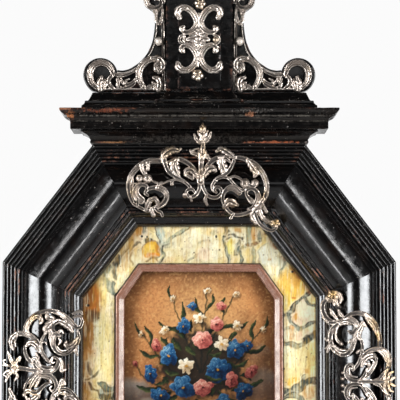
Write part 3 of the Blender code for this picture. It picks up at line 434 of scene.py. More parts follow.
# -------------------------------------------------------------------- meshes
def build(name, co, quads, ngons=(), mat=None, replaces=(), attrs=None, angle=38.0, body="altar"):
    """A mesh piece from arrays of points and faces, with point attributes, on a body."""
    co = np.asarray(co, float)
    runs, sizes = [], []
    quads = np.asarray(quads, np.int32)
    if len(quads):
        runs.append(quads.ravel())
        sizes += [quads.shape[1]] * len(quads)
    for face in ngons:
        runs.append(np.asarray(face, np.int32))
        sizes.append(len(face))
    loops = np.concatenate(runs)
    starts = np.concatenate([[0], np.cumsum(sizes)[:-1]]).astype(np.int32)
    me = bpy.data.meshes.new(name)
    me.vertices.add(len(co))
    me.vertices.foreach_set("co", co.astype(np.float32).ravel())
    me.loops.add(len(loops))
    me.loops.foreach_set("vertex_index", loops)
    me.polygons.add(len(sizes))
    me.polygons.foreach_set("loop_start", starts)
    me.update(calc_edges=True)
    for key, value in (attrs or {}).items():
        value = np.asarray(value, np.float32)
        if value.ndim == 1:
            made = me.attributes.new(key, "FLOAT", "POINT")
            made.data.foreach_set("value", value)
        elif key == "paint":
            made = me.color_attributes.new(key, "FLOAT_COLOR", "POINT")
            rgba = np.ones((len(value), 4), np.float32)
            rgba[:, :3] = value[:, :3]
            made.data.foreach_set("color", rgba.ravel())
        else:
            made = me.attributes.new(key, "FLOAT_VECTOR", "POINT")
            made.data.foreach_set("vector", value.ravel())
    me.validate(clean_customdata=False)
    me.shade_smooth()
    me.set_sharp_from_angle(angle=math.radians(angle))
    me.materials.append(mat)
    obj = bpy.data.objects.new(name, me)
    SCENE.collection.objects.link(obj)
    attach(obj, body)
    if replaces:
        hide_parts(*replaces)
    return obj


def rounded(poly, radius=0.5, step=1.6, arc=4):
    """A closed section with its corners rounded: points, and how proud each is (0 to 1)."""
    p = np.asarray(poly, float)
    n = len(p)
    area = 0.5 * np.sum(p[:, 0] * np.roll(p[:, 1], -1) - np.roll(p[:, 0], -1) * p[:, 1])
    found, proud = [], []
    cuts = []
    for k in range(n):
        a, b, c = p[k - 1], p[k], p[(k + 1) % n]
        d1, d2 = b - a, c - b
        l1, l2 = np.linalg.norm(d1), np.linalg.norm(d2)
        d1, d2 = d1 / l1, d2 / l2
        turn = math.atan2(d1[0] * d2[1] - d1[1] * d2[0], d1 @ d2) * np.sign(area)
        if abs(turn) < 0.16:
            cuts.append((b, b, max(0.0, turn)))
            continue
        cut = min(radius * math.tan(min(abs(turn), 2.2) / 2) + 0.12, 0.42 * l1, 0.42 * l2)
        cuts.append((b - d1 * cut, b + d2 * cut, turn))
    for k in range(n):
        first, last, turn = cuts[k]
        b = p[k]
        level = min(1.0, max(0.0, turn / 1.1))
        if np.allclose(first, last):
            found.append(b)
            proud.append(level)
        else:
            for i in range(arc + 1):
                u = i / arc
                found.append((1 - u) ** 2 * first + 2 * u * (1 - u) * b + u * u * last)
                proud.append(level)
        nxt = cuts[(k + 1) % n][0]
        gap = np.linalg.norm(nxt - last)
        more = int(gap / step)
        for i in range(1, more + 1):
            found.append(last + (nxt - last) * i / (more + 1))
            proud.append(0.0)
    return np.array(found), np.array(proud)


def closed_normals(ring):
    """Outward unit normals of closed rings of points: (m, n, 3), the rings being run along the first axis."""
    dj = np.roll(ring, -1, 1) - np.roll(ring, 1, 1)
    ds = np.gradient(ring, axis=0)
    nrm = np.cross(dj, ds)
    nrm /= np.linalg.norm(nrm, axis=-1, keepdims=True) + 1e-12
    mid = ring.mean(1, keepdims=True)
    if np.sum(nrm * (ring - mid)) < 0:
        nrm = -nrm
    return nrm


def weathered(ring, proud, seed, wave=0.16, chip=0.55, wear_gain=1.0, wear_seed=0, fade=None):
    """Old hand-planed wood: slight waves, chipped arrises and rubbed edges. Returns points and wear."""
    nrm = closed_normals(ring)
    mm = ring * 1000.0
    flow = (fbm(mm / 23.0, 3, seed) - 0.5) * 2 * wave
    nick = ramp(fbm(mm / 5.5, 3, seed + 5), 0.60, 0.74) * proud
    move = flow - nick * chip
    rub = ramp(fbm(mm / 17.0, 4, seed + 9 + wear_seed), 0.40, 0.66) * 0.85 + 0.20
    wear = np.clip(proud * rub * wear_gain + nick * 0.75, 0, 1.3)
    if fade is not None:
        wear = wear * fade
    return ring + nrm * (move * 0.001)[..., None], wear


def sweep(name, sect, proud, p0, p1, spacing, seed, mat=None, replaces=(), wave=0.16, chip=0.55,
          wear_gain=1.0, fade=None, angle=38.0):
    """A moulding between two end sections, each point of the section running straight from p0 to p1."""
    length = np.linalg.norm((p1 - p0).mean(0)) * 1000
    m = max(3, int(math.ceil(length / spacing)) + 1)
    s = np.linspace(0, 1, m)[:, None, None]
    ring = p0[None] * (1 - s) + p1[None] * s
    prd = np.broadcast_to(proud, (m, len(proud)))
    f = None if fade is None else fade(ring)
    co, wear = weathered(ring, prd, seed, wave, chip, wear_gain, 0, f)
    n = len(proud)
    arc = np.concatenate([[0], np.cumsum(np.linalg.norm(np.diff(np.asarray(sect), axis=0), axis=1))])
    grain = np.zeros((m, n, 3))
    grain[..., 0] = (s[:, :, 0] * length) * 0.001 * 0.035
    grain[..., 1] = arc[None] * 0.001
    grain[..., 2] = seed * 0.013
    idx = np.arange(m * n).reshape(m, n)
    q = np.stack([idx[:-1], np.roll(idx[:-1], -1, 1), np.roll(idx[1:], -1, 1), idx[1:]], -1).reshape(-1, 4)
    caps = [list(idx[0]), list(idx[-1][::-1])]
    flip = _flipped(co, q)
    if flip:
        q = q[:, ::-1]
        caps = [c[::-1] for c in caps]
    caps = [c[::-1] for c in caps] if _cap_wrong(co.reshape(-1, 3), caps[0], co[1].mean(0)) else caps
    return build(name, co.reshape(-1, 3), q, caps, mat or EBONY, replaces,
                 {"wear": wear.ravel(), "grain": grain.reshape(-1, 3)}, angle)


def _flipped(co, q):
    flat = co.reshape(-1, 3)
    mid = co.mean(1)
    ringno = q[:, 0] // co.shape[1]
    a, b, c = flat[q[:, 0]], flat[q[:, 1]], flat[q[:, 2]]
    nrm = np.cross(b - a, c - a)
    return np.sum(nrm * (a - mid[ringno])) < 0


def _cap_wrong(flat, cap, inside):
    pts = flat[cap]
    nrm = np.zeros(3)
    for k in range(len(pts)):
        nrm += np.cross(pts[k - 1], pts[k])
    return nrm @ (pts.mean(0) - inside) < 0


def stack(name, levels, rect, seed, mat=None, replaces=(), spacing=4.0, wave=0.14, chip=0.5,
          wear_gain=1.0, corner=0.5, radius=0.5, fade=None):
    """A block with mouldings run round it; levels are (z, offset) from bottom to top, rect(offset) its four sides in mm."""
    lv = np.asarray(levels, float)
    # close the profile through the block's middle so that the corners round the right way
    closed = np.concatenate([[(lv[0, 0], -500.0)], lv, [(lv[-1, 0], -500.0)]])
    prof, proud = rounded(closed[:, ::-1], radius, 2.4)
    # the flat top and bottom run inwards only as far as the block has room
    room = 60.0
    for t in np.arange(0.0, 60.0, 0.5):
        x0, x1, y0, y1 = rect(-t)
        if min(x1 - x0, y1 - y0) < 2 * corner + 1.0:
            room = max(t - 0.5, 0.0)
            break
    keep = prof[:, 0] > -room
    first = np.argmax(~keep)
    prof, proud = np.roll(prof, -first, 0), np.roll(proud, -first)
    keep = prof[:, 0] > -room
    prof, proud = prof[keep], proud[keep]
    if prof[0, 1] > prof[-1, 1]:
        prof, proud = prof[::-1], proud[::-1]
    x0, x1, y0, y1 = rect(0.0)
    fx = np.concatenate([[0.0], np.linspace(0, 1, max(3, int((x1 - x0) / spacing)))[1:-1], [1.0]])
    fy = np.concatenate([[0.0], np.linspace(0, 1, max(3, int((y1 - y0) / spacing)))[1:-1], [1.0]])
    rings, near = [], []
    for off, z in prof:
        x0, x1, y0, y1 = rect(off)
        c = corner
        sides = []
        sides.append(np.stack([x0 + c + fx * (x1 - x0 - 2 * c), np.full(len(fx), y0)], -1))
        sides.append(np.stack([np.full(len(fy), x1), y0 + c + fy * (y1 - y0 - 2 * c)], -1))
        sides.append(np.stack([x1 - c - fx * (x1 - x0 - 2 * c), np.full(len(fx), y1)], -1))
        sides.append(np.stack([np.full(len(fy), x0), y1 - c - fy * (y1 - y0 - 2 * c)], -1))
        ring = np.concatenate(sides)
        rings.append(np.concatenate([ring, np.full((len(ring), 1), z)], 1))
    edge = np.zeros(len(rings[0]))
    at = 0
    for f in (fx, fy, fx, fy):
        edge[at] = edge[at + len(f) - 1] = 1.0
        at += len(f)
    ring = np.array(rings) * 0.001
    prd = np.maximum(proud[:, None], edge[None] * 0.8)
    f = None if fade is None else fade(ring)
    co, wear = weathered(ring, prd, seed, wave, chip, wear_gain, 0, f)
    m, n = co.shape[:2]
    grain = np.zeros((m, n, 3))
    run = np.concatenate([np.linspace(0, 1, len(fx)) * 0.2, np.linspace(0, 1, len(fy)) * 0.1] * 2)
    grain[..., 0] = run[None] * 0.035
    grain[..., 1] = (prof[:, 1] + prof[:, 0])[:, None] * 0.001
    grain[..., 2] = seed * 0.017
    idx = np.arange(m * n).reshape(m, n)
    q = np.stack([idx[:-1], np.roll(idx[:-1], -1, 1), np.roll(idx[1:], -1, 1), idx[1:]], -1).reshape(-1, 4)
    if _flipped(co, q):
        q = q[:, ::-1]
    caps = [list(idx[0]), list(idx[-1])]
    flat = co.reshape(-1, 3)
    for k, c in enumerate(caps):
        if _cap_wrong(flat, c, co[m // 2].mean(0)):
            caps[k] = c[::-1]
    return build(name, flat, q, caps, mat or EBONY, replaces, {"wear": wear.ravel(), "grain": grain.reshape(-1, 3)})


def lathe(name, profile, centre, axis, seed, mat, replaces=(), segs=56, radius=0.5, wave=0.08, wear_gain=0.8, body="altar"):
    """A turned piece: (radius, distance along axis) from one end to the other."""
    pr = np.asarray(profile, float)
    closed = np.concatenate([pr, [(-400.0, pr[-1, 1]), (-400.0, pr[0, 1])]])
    prof, proud = rounded(closed, radius, 1.4)
    keep = prof[:, 0] > 0.02
    first = np.argmax(~keep)
    prof, proud = np.roll(prof, -first, 0), np.roll(proud, -first)
    keep = prof[:, 0] > 0.02
    prof, proud = prof[keep], proud[keep]
    th = np.linspace(0, 2 * math.pi, segs, endpoint=False)
    axis = np.asarray(axis, float)
    side = np.array([1.0, 0, 0]) if abs(axis[0]) < 0.5 else np.array([0, 0, 1.0])
    other = np.cross(axis, side)
    ring = (np.asarray(centre)[None, None] + prof[:, None, 1:2] * axis
            + prof[:, None, 0:1] * (np.cos(th)[None, :, None] * side + np.sin(th)[None, :, None] * other)) * 0.001
    prd = np.broadcast_to(proud[:, None], ring.shape[:2])
    co, wear = weathered(ring, prd, seed, wave, 0.3, wear_gain)
    m, n = co.shape[:2]
    grain = np.zeros((m, n, 3))
    grain[..., 0] = prof[:, None, 1] * 0.001 * 0.05
    grain[..., 1] = np.broadcast_to(np.sin(th) * 0.012, (m, n))
    grain[..., 2] = np.broadcast_to(np.cos(th) * 0.012, (m, n)) + seed * 0.01
    idx = np.arange(m * n).reshape(m, n)
    q = np.stack([idx[:-1], np.roll(idx[:-1], -1, 1), np.roll(idx[1:], -1, 1), idx[1:]], -1).reshape(-1, 4)
    if _flipped(co, q):
        q = q[:, ::-1]
    flat = co.reshape(-1, 3)
    caps = [list(idx[0]), list(idx[-1])]
    for k, c in enumerate(caps):
        if _cap_wrong(flat, c, co[m // 2].mean(0)):
            caps[k] = c[::-1]
    return build(name, flat, q, caps, mat, replaces,
                 {"wear": wear.ravel(), "grain": grain.reshape(-1, 3), "cavity": np.zeros(m * n)}, body=body)


def smooth_line(points, step=1.0, closed=False):
    """Points along a Catmull-Rom curve, about a step apart; further columns are carried along."""
    p = np.asarray(points, float)
    if closed:
        p = np.concatenate([p[-1:], p, p[:2]])
    else:
        p = np.concatenate([2 * p[:1] - p[1:2], p, 2 * p[-1:] - p[-2:-1]])
    out = []
    for a, b, c, d in zip(p, p[1:], p[2:], p[3:]):
        n = max(1, int(round(np.linalg.norm((c - b)[:2]) / step)))
        u = (np.arange(n) / n)[:, None]
        out.append(0.5 * (2 * b + (c - a) * u + (2 * a - 5 * b + 4 * c - d) * u ** 2 + (3 * b - a - 3 * c + d) * u ** 3))
    if not closed:
        out.append(p[-2:-1])
    return np.concatenate(out)


# ---------------------------------------------------------------- frame rails
def rail_section(reed=1.45, full=0.5):
    """Section of the frame moulding (t from the outer edge, h), reeds at the outer edge and a big bolection."""
    pts, proud = [(0.0, 20.4)], [0.0]
    for i in range(5):
        for ph in np.linspace(0, 1, 10)[:-1]:
            t = 3.74 * (i + ph)
            pts.append((t, 27.0 + 4.1 * t / 18.7 + reed * max(0.0, 1 - (2 * ph - 1) ** 2) ** full))
            proud.append(0.95 * math.exp(-((ph - 0.5) / 0.24) ** 2))
    pts.append((18.7, 31.1))
    proud.append(0.0)
    roll = smooth_line([
        (19.9, 31.2), (20.6, 32.6), (22.2, 36.0), (23.8, 40.6), (25.4, 44.4), (26.9, 46.6), (30.0, 48.6), (33.5, 50.4),
        (37.0, 51.9), (39.6, 52.8), (41.6, 53.1), (43.8, 52.8), (46.2, 51.7), (48.6, 50.3), (51.0, 48.6), (55.0, 45.0),
        (58.6, 41.0), (61.2, 38.4), (62.4, 37.4),
    ], 0.9)
    pts += [tuple(p) for p in roll]
    proud += [0.0] * len(roll)
    for centre in (64.0, 67.3):
        for ph in np.linspace(0.04, 0.96, 9):
            pts.append((centre - 1.45 + 2.9 * ph, 37.0 + 1.5 * math.sqrt(max(0.0, 1 - (2 * ph - 1) ** 2))))
            proud.append(1.0 * math.exp(-((ph - 0.5) / 0.26) ** 2))
    tail = [(69.2, 36.4), (70.0, 36.2), (70.5, 34.9), (71.6, 33.0), (73.0, 31.7), (74.0, 31.2), (75.4, 30.7), (77.0, 29.7),
            (78.6, 28.2), (79.8, 26.4), (80.6, 24.6), (81.0, 23.2), (81.0, 20.4)]
    pts += tail
    proud += [0.2, 0.7, 0.1, 0, 0, 0.25, 0.2, 0, 0, 0, 0.1, 0.1, 0.0]
    # the flat back
    for k in range(1, 9):
        pts.append((81.0 - 9.0 * k, 20.4))
        proud.append(0.0)
    return np.array(pts), np.array(proud)


RAIL_SECT, RAIL_PROUD = rail_section()
WORN_SECT = rail_section(0.85, 0.9)[0]   # the slanting lengths' reeds are worn flatter
RAIL_TOP_T = RAIL_SECT[1:-9, 0]
RAIL_TOP_H = RAIL_SECT[1:-9, 1]
RAIL_NAMES = [
    "rail_upper_right", "rail_top", "rail_upper_left", "rail_left",
    "rail_lower_left", "rail_bottom", "rail_lower_right", "rail_right",
]
for k, name in enumerate(RAIL_NAMES):
    a, b, c, d = OUT8[k], OUT8[(k + 1) % 8], SIG8[k], SIG8[(k + 1) % 8]
    slant = name.startswith(("rail_upper", "rail_lower"))
    sect = WORN_SECT if slant else RAIL_SECT
    f = (sect[:, 0] / RAIL_W)[:, None]
    e0, e1 = a + (c - a) * f, b + (d - b) * f
    run = (b - a) / np.linalg.norm(b - a)
    e0, e1 = e0 + run * 0.14, e1 - run * 0.14
    p0 = world(e0[:, 0], e0[:, 1] + Z_MID, sect[:, 1])
    p1 = world(e1[:, 0], e1[:, 1] + Z_MID, sect[:, 1])
    t = sect[:, 0]
    gain = np.where(t < 11, 0.42, np.where(t < 20, 1.0, 0.95))
    if name == "rail_top":
        gain = np.where(t < 5, 0.0, gain)
    if slant:
        gain = np.where(t < 20, 0.45 * gain, gain)
    sweep(f"{name}_moulding", sect, RAIL_PROUD * gain, p0, p1, 2.2, 40 + k, replaces=[name], wave=0.20, chip=0.5)


# -------------------------------------------------------------------- cornice
def three_sides(prefix, section, half_x, front_h, seed, radius=0.5, gain=1.0, back_h=0.0, fade=None):
    sect, proud = rounded(section, radius, 1.5)
    o, z = sect[:, 0], sect[:, 1]
    g = 0.14
    left = world(-(half_x + o) + g, z, front_h + o)
    right = world(half_x + o - g, z, front_h + o)
    sweep(f"{prefix}_front_moulding", sect, proud, left, right, 2.4, seed, mat=EBONY_CORNICE, replaces=[f"{prefix}_front"], wear_gain=gain, fade=fade)
    for sign, side in ((-1, "left"), (1, "right")):
        p0 = world(sign * (half_x + o), z, front_h + o - g)
        p1 = world(sign * (half_x + o), z, np.full(len(o), back_h))
        sweep(f"{prefix}_{side}_moulding", sect, proud, p0, p1, 2.4, seed + (3 if sign < 0 else 5),
              mat=EBONY_CORNICE, replaces=[f"{prefix}_{side}"], wear_gain=gain, fade=fade)


BED = [
    (0.3, 552.9), (2.4, 552.9), (3.0, 554.6), (2.2, 555.4), (2.5, 556.8), (3.4, 558.6), (4.5, 560.2), (6.0, 561.4), (8.0, 562.6),
    (10.2, 563.6), (12.0, 564.0), (12.0, 565.2), (0.3, 565.2),
]
CORONA = [
    (0.3, 565.6), (21.6, 565.6), (21.6, 573.6), (22.0, 574.8), (23.2, 576.2), (24.8, 577.6), (25.0, 579.0), (26.4, 579.4),
    (27.9, 580.0), (29.3, 580.8), (30.5, 581.8), (31.6, 583.1), (32.2, 584.4), (31.8, 585.8), (0.3, 585.8),
]


def bed_wear(ring):
    """The bed moulding's lower bead is rubbed orange along much of the right and the far left."""
    x, z = ring[..., 0] * 1000, ring[..., 2] * 1000
    low = 1 - ramp(z, 555.5, 557.5)
    return 0.12 + low * (0.7 * ramp(x, 30, 52) + 0.6 * ramp(-x, 62, 74) * (1 - ramp(-x, 104, 112)))


def corona_wear(ring):
    x, z = ring[..., 0] * 1000, ring[..., 2] * 1000
    top = ramp(z, 580.6, 583.6)
    return 0.16 + top * (0.25 + 0.7 * ramp(-x, 40, 66)) + 0.9 * ramp(-x, 122, 134) * top


three_sides("cornice_bed", BED, CORE_X, CORE_H, 71, 0.5, 1.1, fade=bed_wear)
three_sides("cornice_corona", CORONA, CORE_X, CORE_H, 81, 0.7, 1.0, fade=corona_wear)

# ---------------------------------------------------------------------- attic
ATTIC_Z = 586.2
ATTIC_STEPS = [
    (0.0, 10.4), (3.4, 10.6), (4.4, 10.2), (5.2, 8.9), (6.4, 7.9), (7.2, 7.4), (9.2, 7.2), (9.6, 4.4), (10.6, 3.5), (11.8, 2.8),
    (14.0, 1.8), (16.4, 0.7), (18.3, 0.0),
]
PLINTH_GROW = 1.45
PILASTER_X, PILASTER_H = 33.6, (12.0, 42.0)


def attic_rect(side):
    def rect(o):
        inner = PILASTER_X + max(o, 0.0) * PLINTH_GROW + 0.4
        x0, x1 = (-(108.0 + o), -inner) if side < 0 else (inner, 108.0 + o)
        return x0, x1, 30.0 - 31.0 - o, 29.6
    return rect


for side, name in ((-1, "left"), (1, "right")):
    stack(f"attic_plinth_{name}_moulding", [(ATTIC_Z + dz, o) for dz, o in ATTIC_STEPS], attic_rect(side), 91 + side,
          replaces=[f"attic_plinth_{name}"], wear_gain=0.3)
stack("pilaster_base_moulding", [(ATTIC_Z + dz, o * PLINTH_GROW) for dz, o in ATTIC_STEPS],
      lambda o: (-PILASTER_X - o, PILASTER_X + o, 30.0 - PILASTER_H[1] - o, 30.0), 95,
      replaces=["pilaster_base"], wear_gain=0.3)
stack("pilaster_shaft", [(605.2, 0.0), (640.0, 0.0), (680.0, 0.0), (715.0, 0.0)],
      lambda o: (-PILASTER_X - o, PILASTER_X + o, 30.0 - PILASTER_H[1] - o, 30.0 - PILASTER_H[0] + o), 97,
      replaces=["pilaster"], wear_gain=0.55, corner=0.9, mat=EBONY_CLEAN)
stack("pilaster_front_panel", [(607.0, 0.0), (640.0, 0.0), (680.0, 0.0), (712.0, 0.0)],
      lambda o: (-21.6 - o, 21.6 + o, 30.0 - 45.4, 30.0 - 42.3), 98,
      replaces=["pilaster_panel"], wear_gain=0.5, corner=0.8, spacing=3.0, mat=EBONY_CLEAN)
CAP_STEPS = [
    (0.0, 0.0), (3.0, 0.6), (3.4, 2.6), (6.4, 3.4), (7.8, 4.5), (9.0, 6.2), (9.4, 8.6), (14.2, 8.8), (15.0, 9.6), (15.8, 11.0),
    (17.2, 12.2), (18.6, 12.4), (20.2, 12.0),
]
stack("pilaster_cap_moulding", [(715.4 + dz, o) for dz, o in CAP_STEPS],
      lambda o: (-PILASTER_X - o, PILASTER_X + o, 30.0 - PILASTER_H[1] - o, 30.0 - PILASTER_H[0] + 0.8 * o), 99,
      replaces=["pilaster_cap"], wear_gain=0.8)
lathe("turned_finial", [(0.0, 33.0), (4.4, 33.0), (6.0, 31.0), (5.2, 28.4), (3.8, 26.0), (6.8, 23.4), (9.0, 20.6), (9.3, 18.4),
                        (8.8, 15.0), (7.4, 12.6), (5.8, 10.6), (4.4, 7.6), (7.4, 6.0), (11.6, 4.0), (12.4, 1.4), (12.0, 0.0), (0.0, 0.0)],
      (0.0, 3.0, 735.9), (0, 0, 1), 103, EBONY, ["finial"])


def plate(name, outline, h0, h1, seed, mat, replaces, bevel=0.9, wear_gain=0.8, back_bevel=0.4):
    """A flat piece sawn to an outline, its edges eased."""
    p = np.asarray(outline, float)
    nxt, prv = np.roll(p, -1, 0), np.roll(p, 1, 0)
    tang = nxt - prv
    tang /= np.linalg.norm(tang, axis=1, keepdims=True) + 1e-9
    area = 0.5 * np.sum(p[:, 0] * nxt[:, 1] - nxt[:, 0] * p[:, 1])
    inward = np.stack([-tang[:, 1], tang[:, 0]], -1) * np.sign(area)
    rows = [(back_bevel, h0, 0.5), (0.0, h0 + back_bevel, 0.6), (0.0, (h0 + h1) / 2, 0.0), (0.0, h1 - bevel, 0.5),
            (bevel * 0.3, h1 - bevel * 0.3, 0.9), (bevel, h1, 0.5)]
    ring = np.array([world(*(p + inward * inset).T, h) for inset, h, _ in rows])
    prd = np.array([[w] * len(p) for _, _, w in rows])
    co, wear = weathered(ring, prd, seed, 0.06, 0.3, wear_gain)
    m, n = co.shape[:2]
    grain = np.zeros((m, n, 3))
    grain[..., 0] = p[None, :, 0] * 0.001
    grain[..., 1] = p[None, :, 1] * 0.001 * 0.05
    grain[..., 2] = seed * 0.011
    idx = np.arange(m * n).reshape(m, n)
    q = np.stack([idx[:-1], np.roll(idx[:-1], -1, 1), np.roll(idx[1:], -1, 1), idx[1:]], -1).reshape(-1, 4)
    flat = co.reshape(-1, 3)
    if _flipped(co, q):
        q = q[:, ::-1]
    caps = [list(idx[0]), list(idx[-1])]
    for k, c in enumerate(caps):
        if _cap_wrong(flat, c, co[m // 2].mean(0)):
            caps[k] = c[::-1]
    return build(name, flat, q, caps, mat, replaces, {"wear": wear.ravel(), "grain": grain.reshape(-1, 3)}, 50.0)


ARM, REACH, TALL, BAR_Z, FLARE, CROSS_Z = 3.0, 16.0, 48.0, 31.0, 1.6, 769.2
cross_line = [
    (-ARM - FLARE, 0.0), (ARM + FLARE, 0.0), (ARM, 6.0), (ARM, BAR_Z - ARM), (REACH - 5.0, BAR_Z - ARM),
    (REACH, BAR_Z - ARM - FLARE), (REACH, BAR_Z + ARM + FLARE), (REACH - 5.0, BAR_Z + ARM), (ARM, BAR_Z + ARM),
    (ARM, TALL - 5.0), (ARM + FLARE, TALL), (-ARM - FLARE, TALL), (-ARM, TALL - 5.0), (-ARM, BAR_Z + ARM),
    (5.0 - REACH, BAR_Z + ARM), (-REACH, BAR_Z + ARM + FLARE), (-REACH, BAR_Z - ARM - FLARE),
    (5.0 - REACH, BAR_Z - ARM), (-ARM, BAR_Z - ARM), (-ARM, 6.0),
]
cross_line, _ = rounded([(x, z + CROSS_Z) for x, z in cross_line], 0.5, 2.0)
plate("cross_ebonised", cross_line, 24.0, 30.0, 105, EBONY, ["cross"], 0.8)


def bracket_outline():
    """The left scroll bracket: a low volute, a long hollow, and a small volute at the top."""
    vx, vz, vr = -100.1, 622.6, 17.4
    ux, uz, ur = -45.2, 699.5, 9.6
    pts = [(-33.9, 605.4), (-70.0, 605.4), (-102.0, 605.4)]
    for a in range(245, 14, -10):
        pts.append((vx + vr * math.cos(math.radians(a)), vz + vr * math.sin(math.radians(a))))
    hollow = smooth_line([
        (-82.4, 627.6), (-77.9, 627.2), (-72.8, 628.2), (-69.2, 629.7), (-64.5, 632.6), (-60.5, 635.7), (-56.8, 639.5), (-53.6, 643.5),
        (-51.0, 647.9), (-48.7, 653.6), (-47.1, 659.0), (-46.0, 665.8), (-45.4, 671.1), (-45.0, 676.0), (-45.1, 682.0),
        (-46.6, 688.0), (-50.0, 690.8),
    ], 1.6)
    pts += [tuple(p) for p in hollow]
    for a in range(216, 76, -10):
        pts.append((ux + ur * math.cos(math.radians(a)), uz + ur * math.sin(math.radians(a))))
    pts += [(-39.0, 709.0), (-33.9, 709.0), (-33.9, 680.0), (-33.9, 640.0)]
    return np.array(pts)


for side, sign in (("left", 1.0), ("right", -1.0)):
    plate(f"scroll_bracket_{side}", bracket_outline() * np.array([sign, 1.0]), 14.0, 30.0, 107 + int(sign), EBONY_CLEAN,
          [f"bracket_{side}"], 1.0, wear_gain=0.35)

# ----------------------------------------------------------------------- base
BASE_CAP_STEPS = [
    (80.4, 2.0), (83.0, 2.6), (83.6, 0.4), (84.2, -0.8), (85.0, -1.8), (86.2, -3.4), (87.4, -4.6), (87.8, -6.0), (89.6, -6.4),
]
stack("base_cap_moulding", BASE_CAP_STEPS, lambda o: (-121.0 - o, 121.0 + o, -50.0 - o, 50.0 + min(o, 0.0)), 111,
      replaces=["base_cap"], wear_gain=0.9)
stack("base_block_plain", [(28.6, 0.0), (45.0, 0.0), (62.0, 0.0), (80.0, 0.0)], lambda o: (-121.0 - o, 121.0 + o, -50.0 - o, 50.0 + o), 112,
      replaces=["base_block"], wear_gain=0.8)
BASE_MOULD = [
    (0.3, 28.5), (26.0, 28.5), (26.0, 33.0), (25.4, 34.6), (24.0, 35.6), (21.6, 36.4), (19.0, 37.0), (17.6, 38.6), (12.4, 39.8),
    (9.4, 41.4), (7.0, 43.4), (5.4, 45.6), (4.6, 47.6), (4.2, 49.6), (0.3, 49.6),
]
three_sides("base_mould", BASE_MOULD, 121.0, 80.0, 113, 0.6, 0.9, back_h=-20.0)
stack("base_slab_eased", [(18.4, -1.2), (19.6, 0.0), (27.0, 0.0), (28.2, -1.2)], lambda o: (-152.0 - o, 152.0 + o, -78.0 - o, 78.0 + o), 119,
      replaces=["base_slab"], wear_gain=0.9, radius=1.0)
for depth, y in (("front", -56.0), ("rear", 56.0)):
    for side, x in (("left", -126.0), ("right", 126.0)):
        lathe(f"bun_foot_{depth}_{side}", [(0.0, 18.0), (9.0, 18.0), (10.0, 16.4), (12.6, 15.7), (14.8, 14.4), (16.8, 12.2), (17.4, 9.2),
                                          (16.8, 6.0), (15.0, 3.0), (12.8, 1.0), (10.6, 0.0), (0.0, 0.0)],
              (x, y, 0.0), (0, 0, 1), 120 + int(x > 0) + 2 * int(y > 0), EBONY, [f"foot_{depth}_{side}"])

# ------------------------------------------------------------- slip moulding
slip_rows = [
    (SLIP_OUT, 0.0, 11.4, 0.0), (SLIP_OUT, 0.0, 17.0, 0.0), (SLIP_OUT, 0.0, 22.0, 0.3), (SLIP_OUT, -0.25, 22.7, 0.9), (SLIP_OUT, -0.7, 23.1, 1.0),
    (SLIP_OUT, -1.2, 23.2, 0.5), (SLIP_OUT, -2.2, 23.15, 0.1), (SLIP_OUT, -2.9, 23.1, 0.4), (SLIP_OUT, -3.25, 22.98, 0.5), (SLIP_OUT, -3.6, 22.8, 0.2),
    (SLIP_OUT, -4.5, 22.32, 0.0), (SLIP_OUT, -5.4, 21.84, 0.0), (SLIP_OUT, -6.3, 21.36, 0.0), (SLIP_OUT, -7.2, 20.87, 0.0), (SLIP_IN, 0.55, 20.45, 0.1),
    (SLIP_IN, 0.2, 20.1, 0.5), (SLIP_IN, 0.0, 19.3, 0.3), (SLIP_IN, 0.0, 16.0, 0.1), (SLIP_IN, 0.0, 11.4, 0.0),
]
rows, prd = [], []
for corners, grow, h, w in slip_rows:
    (sx, sz), (tx, tz) = corners
    o8 = octagon(((sx + grow, sz + grow * 0.5), (tx + grow * 0.5, tz + grow)))
    line = []
    for k in range(8):
        a, b = o8[k], o8[(k + 1) % 8]
        n = 64 if k in (1, 3, 5, 7) else 26
        line.append(a + (b - a) * np.linspace(0, 1, n, endpoint=False)[:, None])
    line = np.concatenate(line)
    rows.append(world(line[:, 0], line[:, 1] + Z_MID, h))
    prd.append([w] * len(line))
ring = np.array(rows)
nrm_seed = 131
flow = (fbm(ring * 1000 / 19.0, 3, nrm_seed) - 0.5) * 0.12
ring[..., 1] += flow * 0.001
wear = np.array(prd) * (0.25 + 0.9 * ramp(fbm(ring * 1000 / 14.0, 4, 133), 0.38, 0.66))
m, n = ring.shape[:2]
idx = np.arange(m * n).reshape(m, n)
nxt = np.roll(idx, -1, 0)
q = np.stack([idx, np.roll(idx, -1, 1), np.roll(nxt, -1, 1), nxt], -1).reshape(-1, 4)
grain = np.zeros((m, n, 3))
grain[..., 0] = np.linspace(0, 0.56, n)[None] * 0.035
grain[..., 1] = np.arange(m)[:, None] * 0.0012
flat = ring.reshape(-1, 3)
fn = np.cross(flat[q[:, 1]] - flat[q[:, 0]], flat[q[:, 3]] - flat[q[:, 0]])
front_rows = (q[:, 0] // n == 5)
if fn[front_rows][:, 1].sum() > 0:
    q = q[:, ::-1]
build("slip_moulding", flat, q, (), SLIP, ["picture_slip"], {"wear": wear.ravel(), "grain": grain.reshape(-1, 3)}, 42.0)


# ------------------------------------------------------------- marbled panel
def inside_oct(x, z, corners):
    """Signed distance-like value, above 0 inside the octagon."""
    o8 = octagon(corners)
    far = None
    for k in range(8):
        a, b = o8[k], o8[(k + 1) % 8]
        d = (b - a) / np.linalg.norm(b - a)
        v = (x - a[0]) * -d[1] + (z - a[1]) * d[0]
        far = v if far is None else np.minimum(far, v)
    return far


def srgb(r, g, b):
    c = np.array([r, g, b], float) / 255.0
    return np.where(c <= 0.04045, c / 12.92, ((c + 0.055) / 1.055) ** 2.4)


def over(col, fac, paint):
    return col * (1 - fac[..., None]) + paint * fac[..., None]


MARBLE_GAIN, PICTURE_GAIN = 0.65, 0.58   # paint is darker than it shows under the lamps


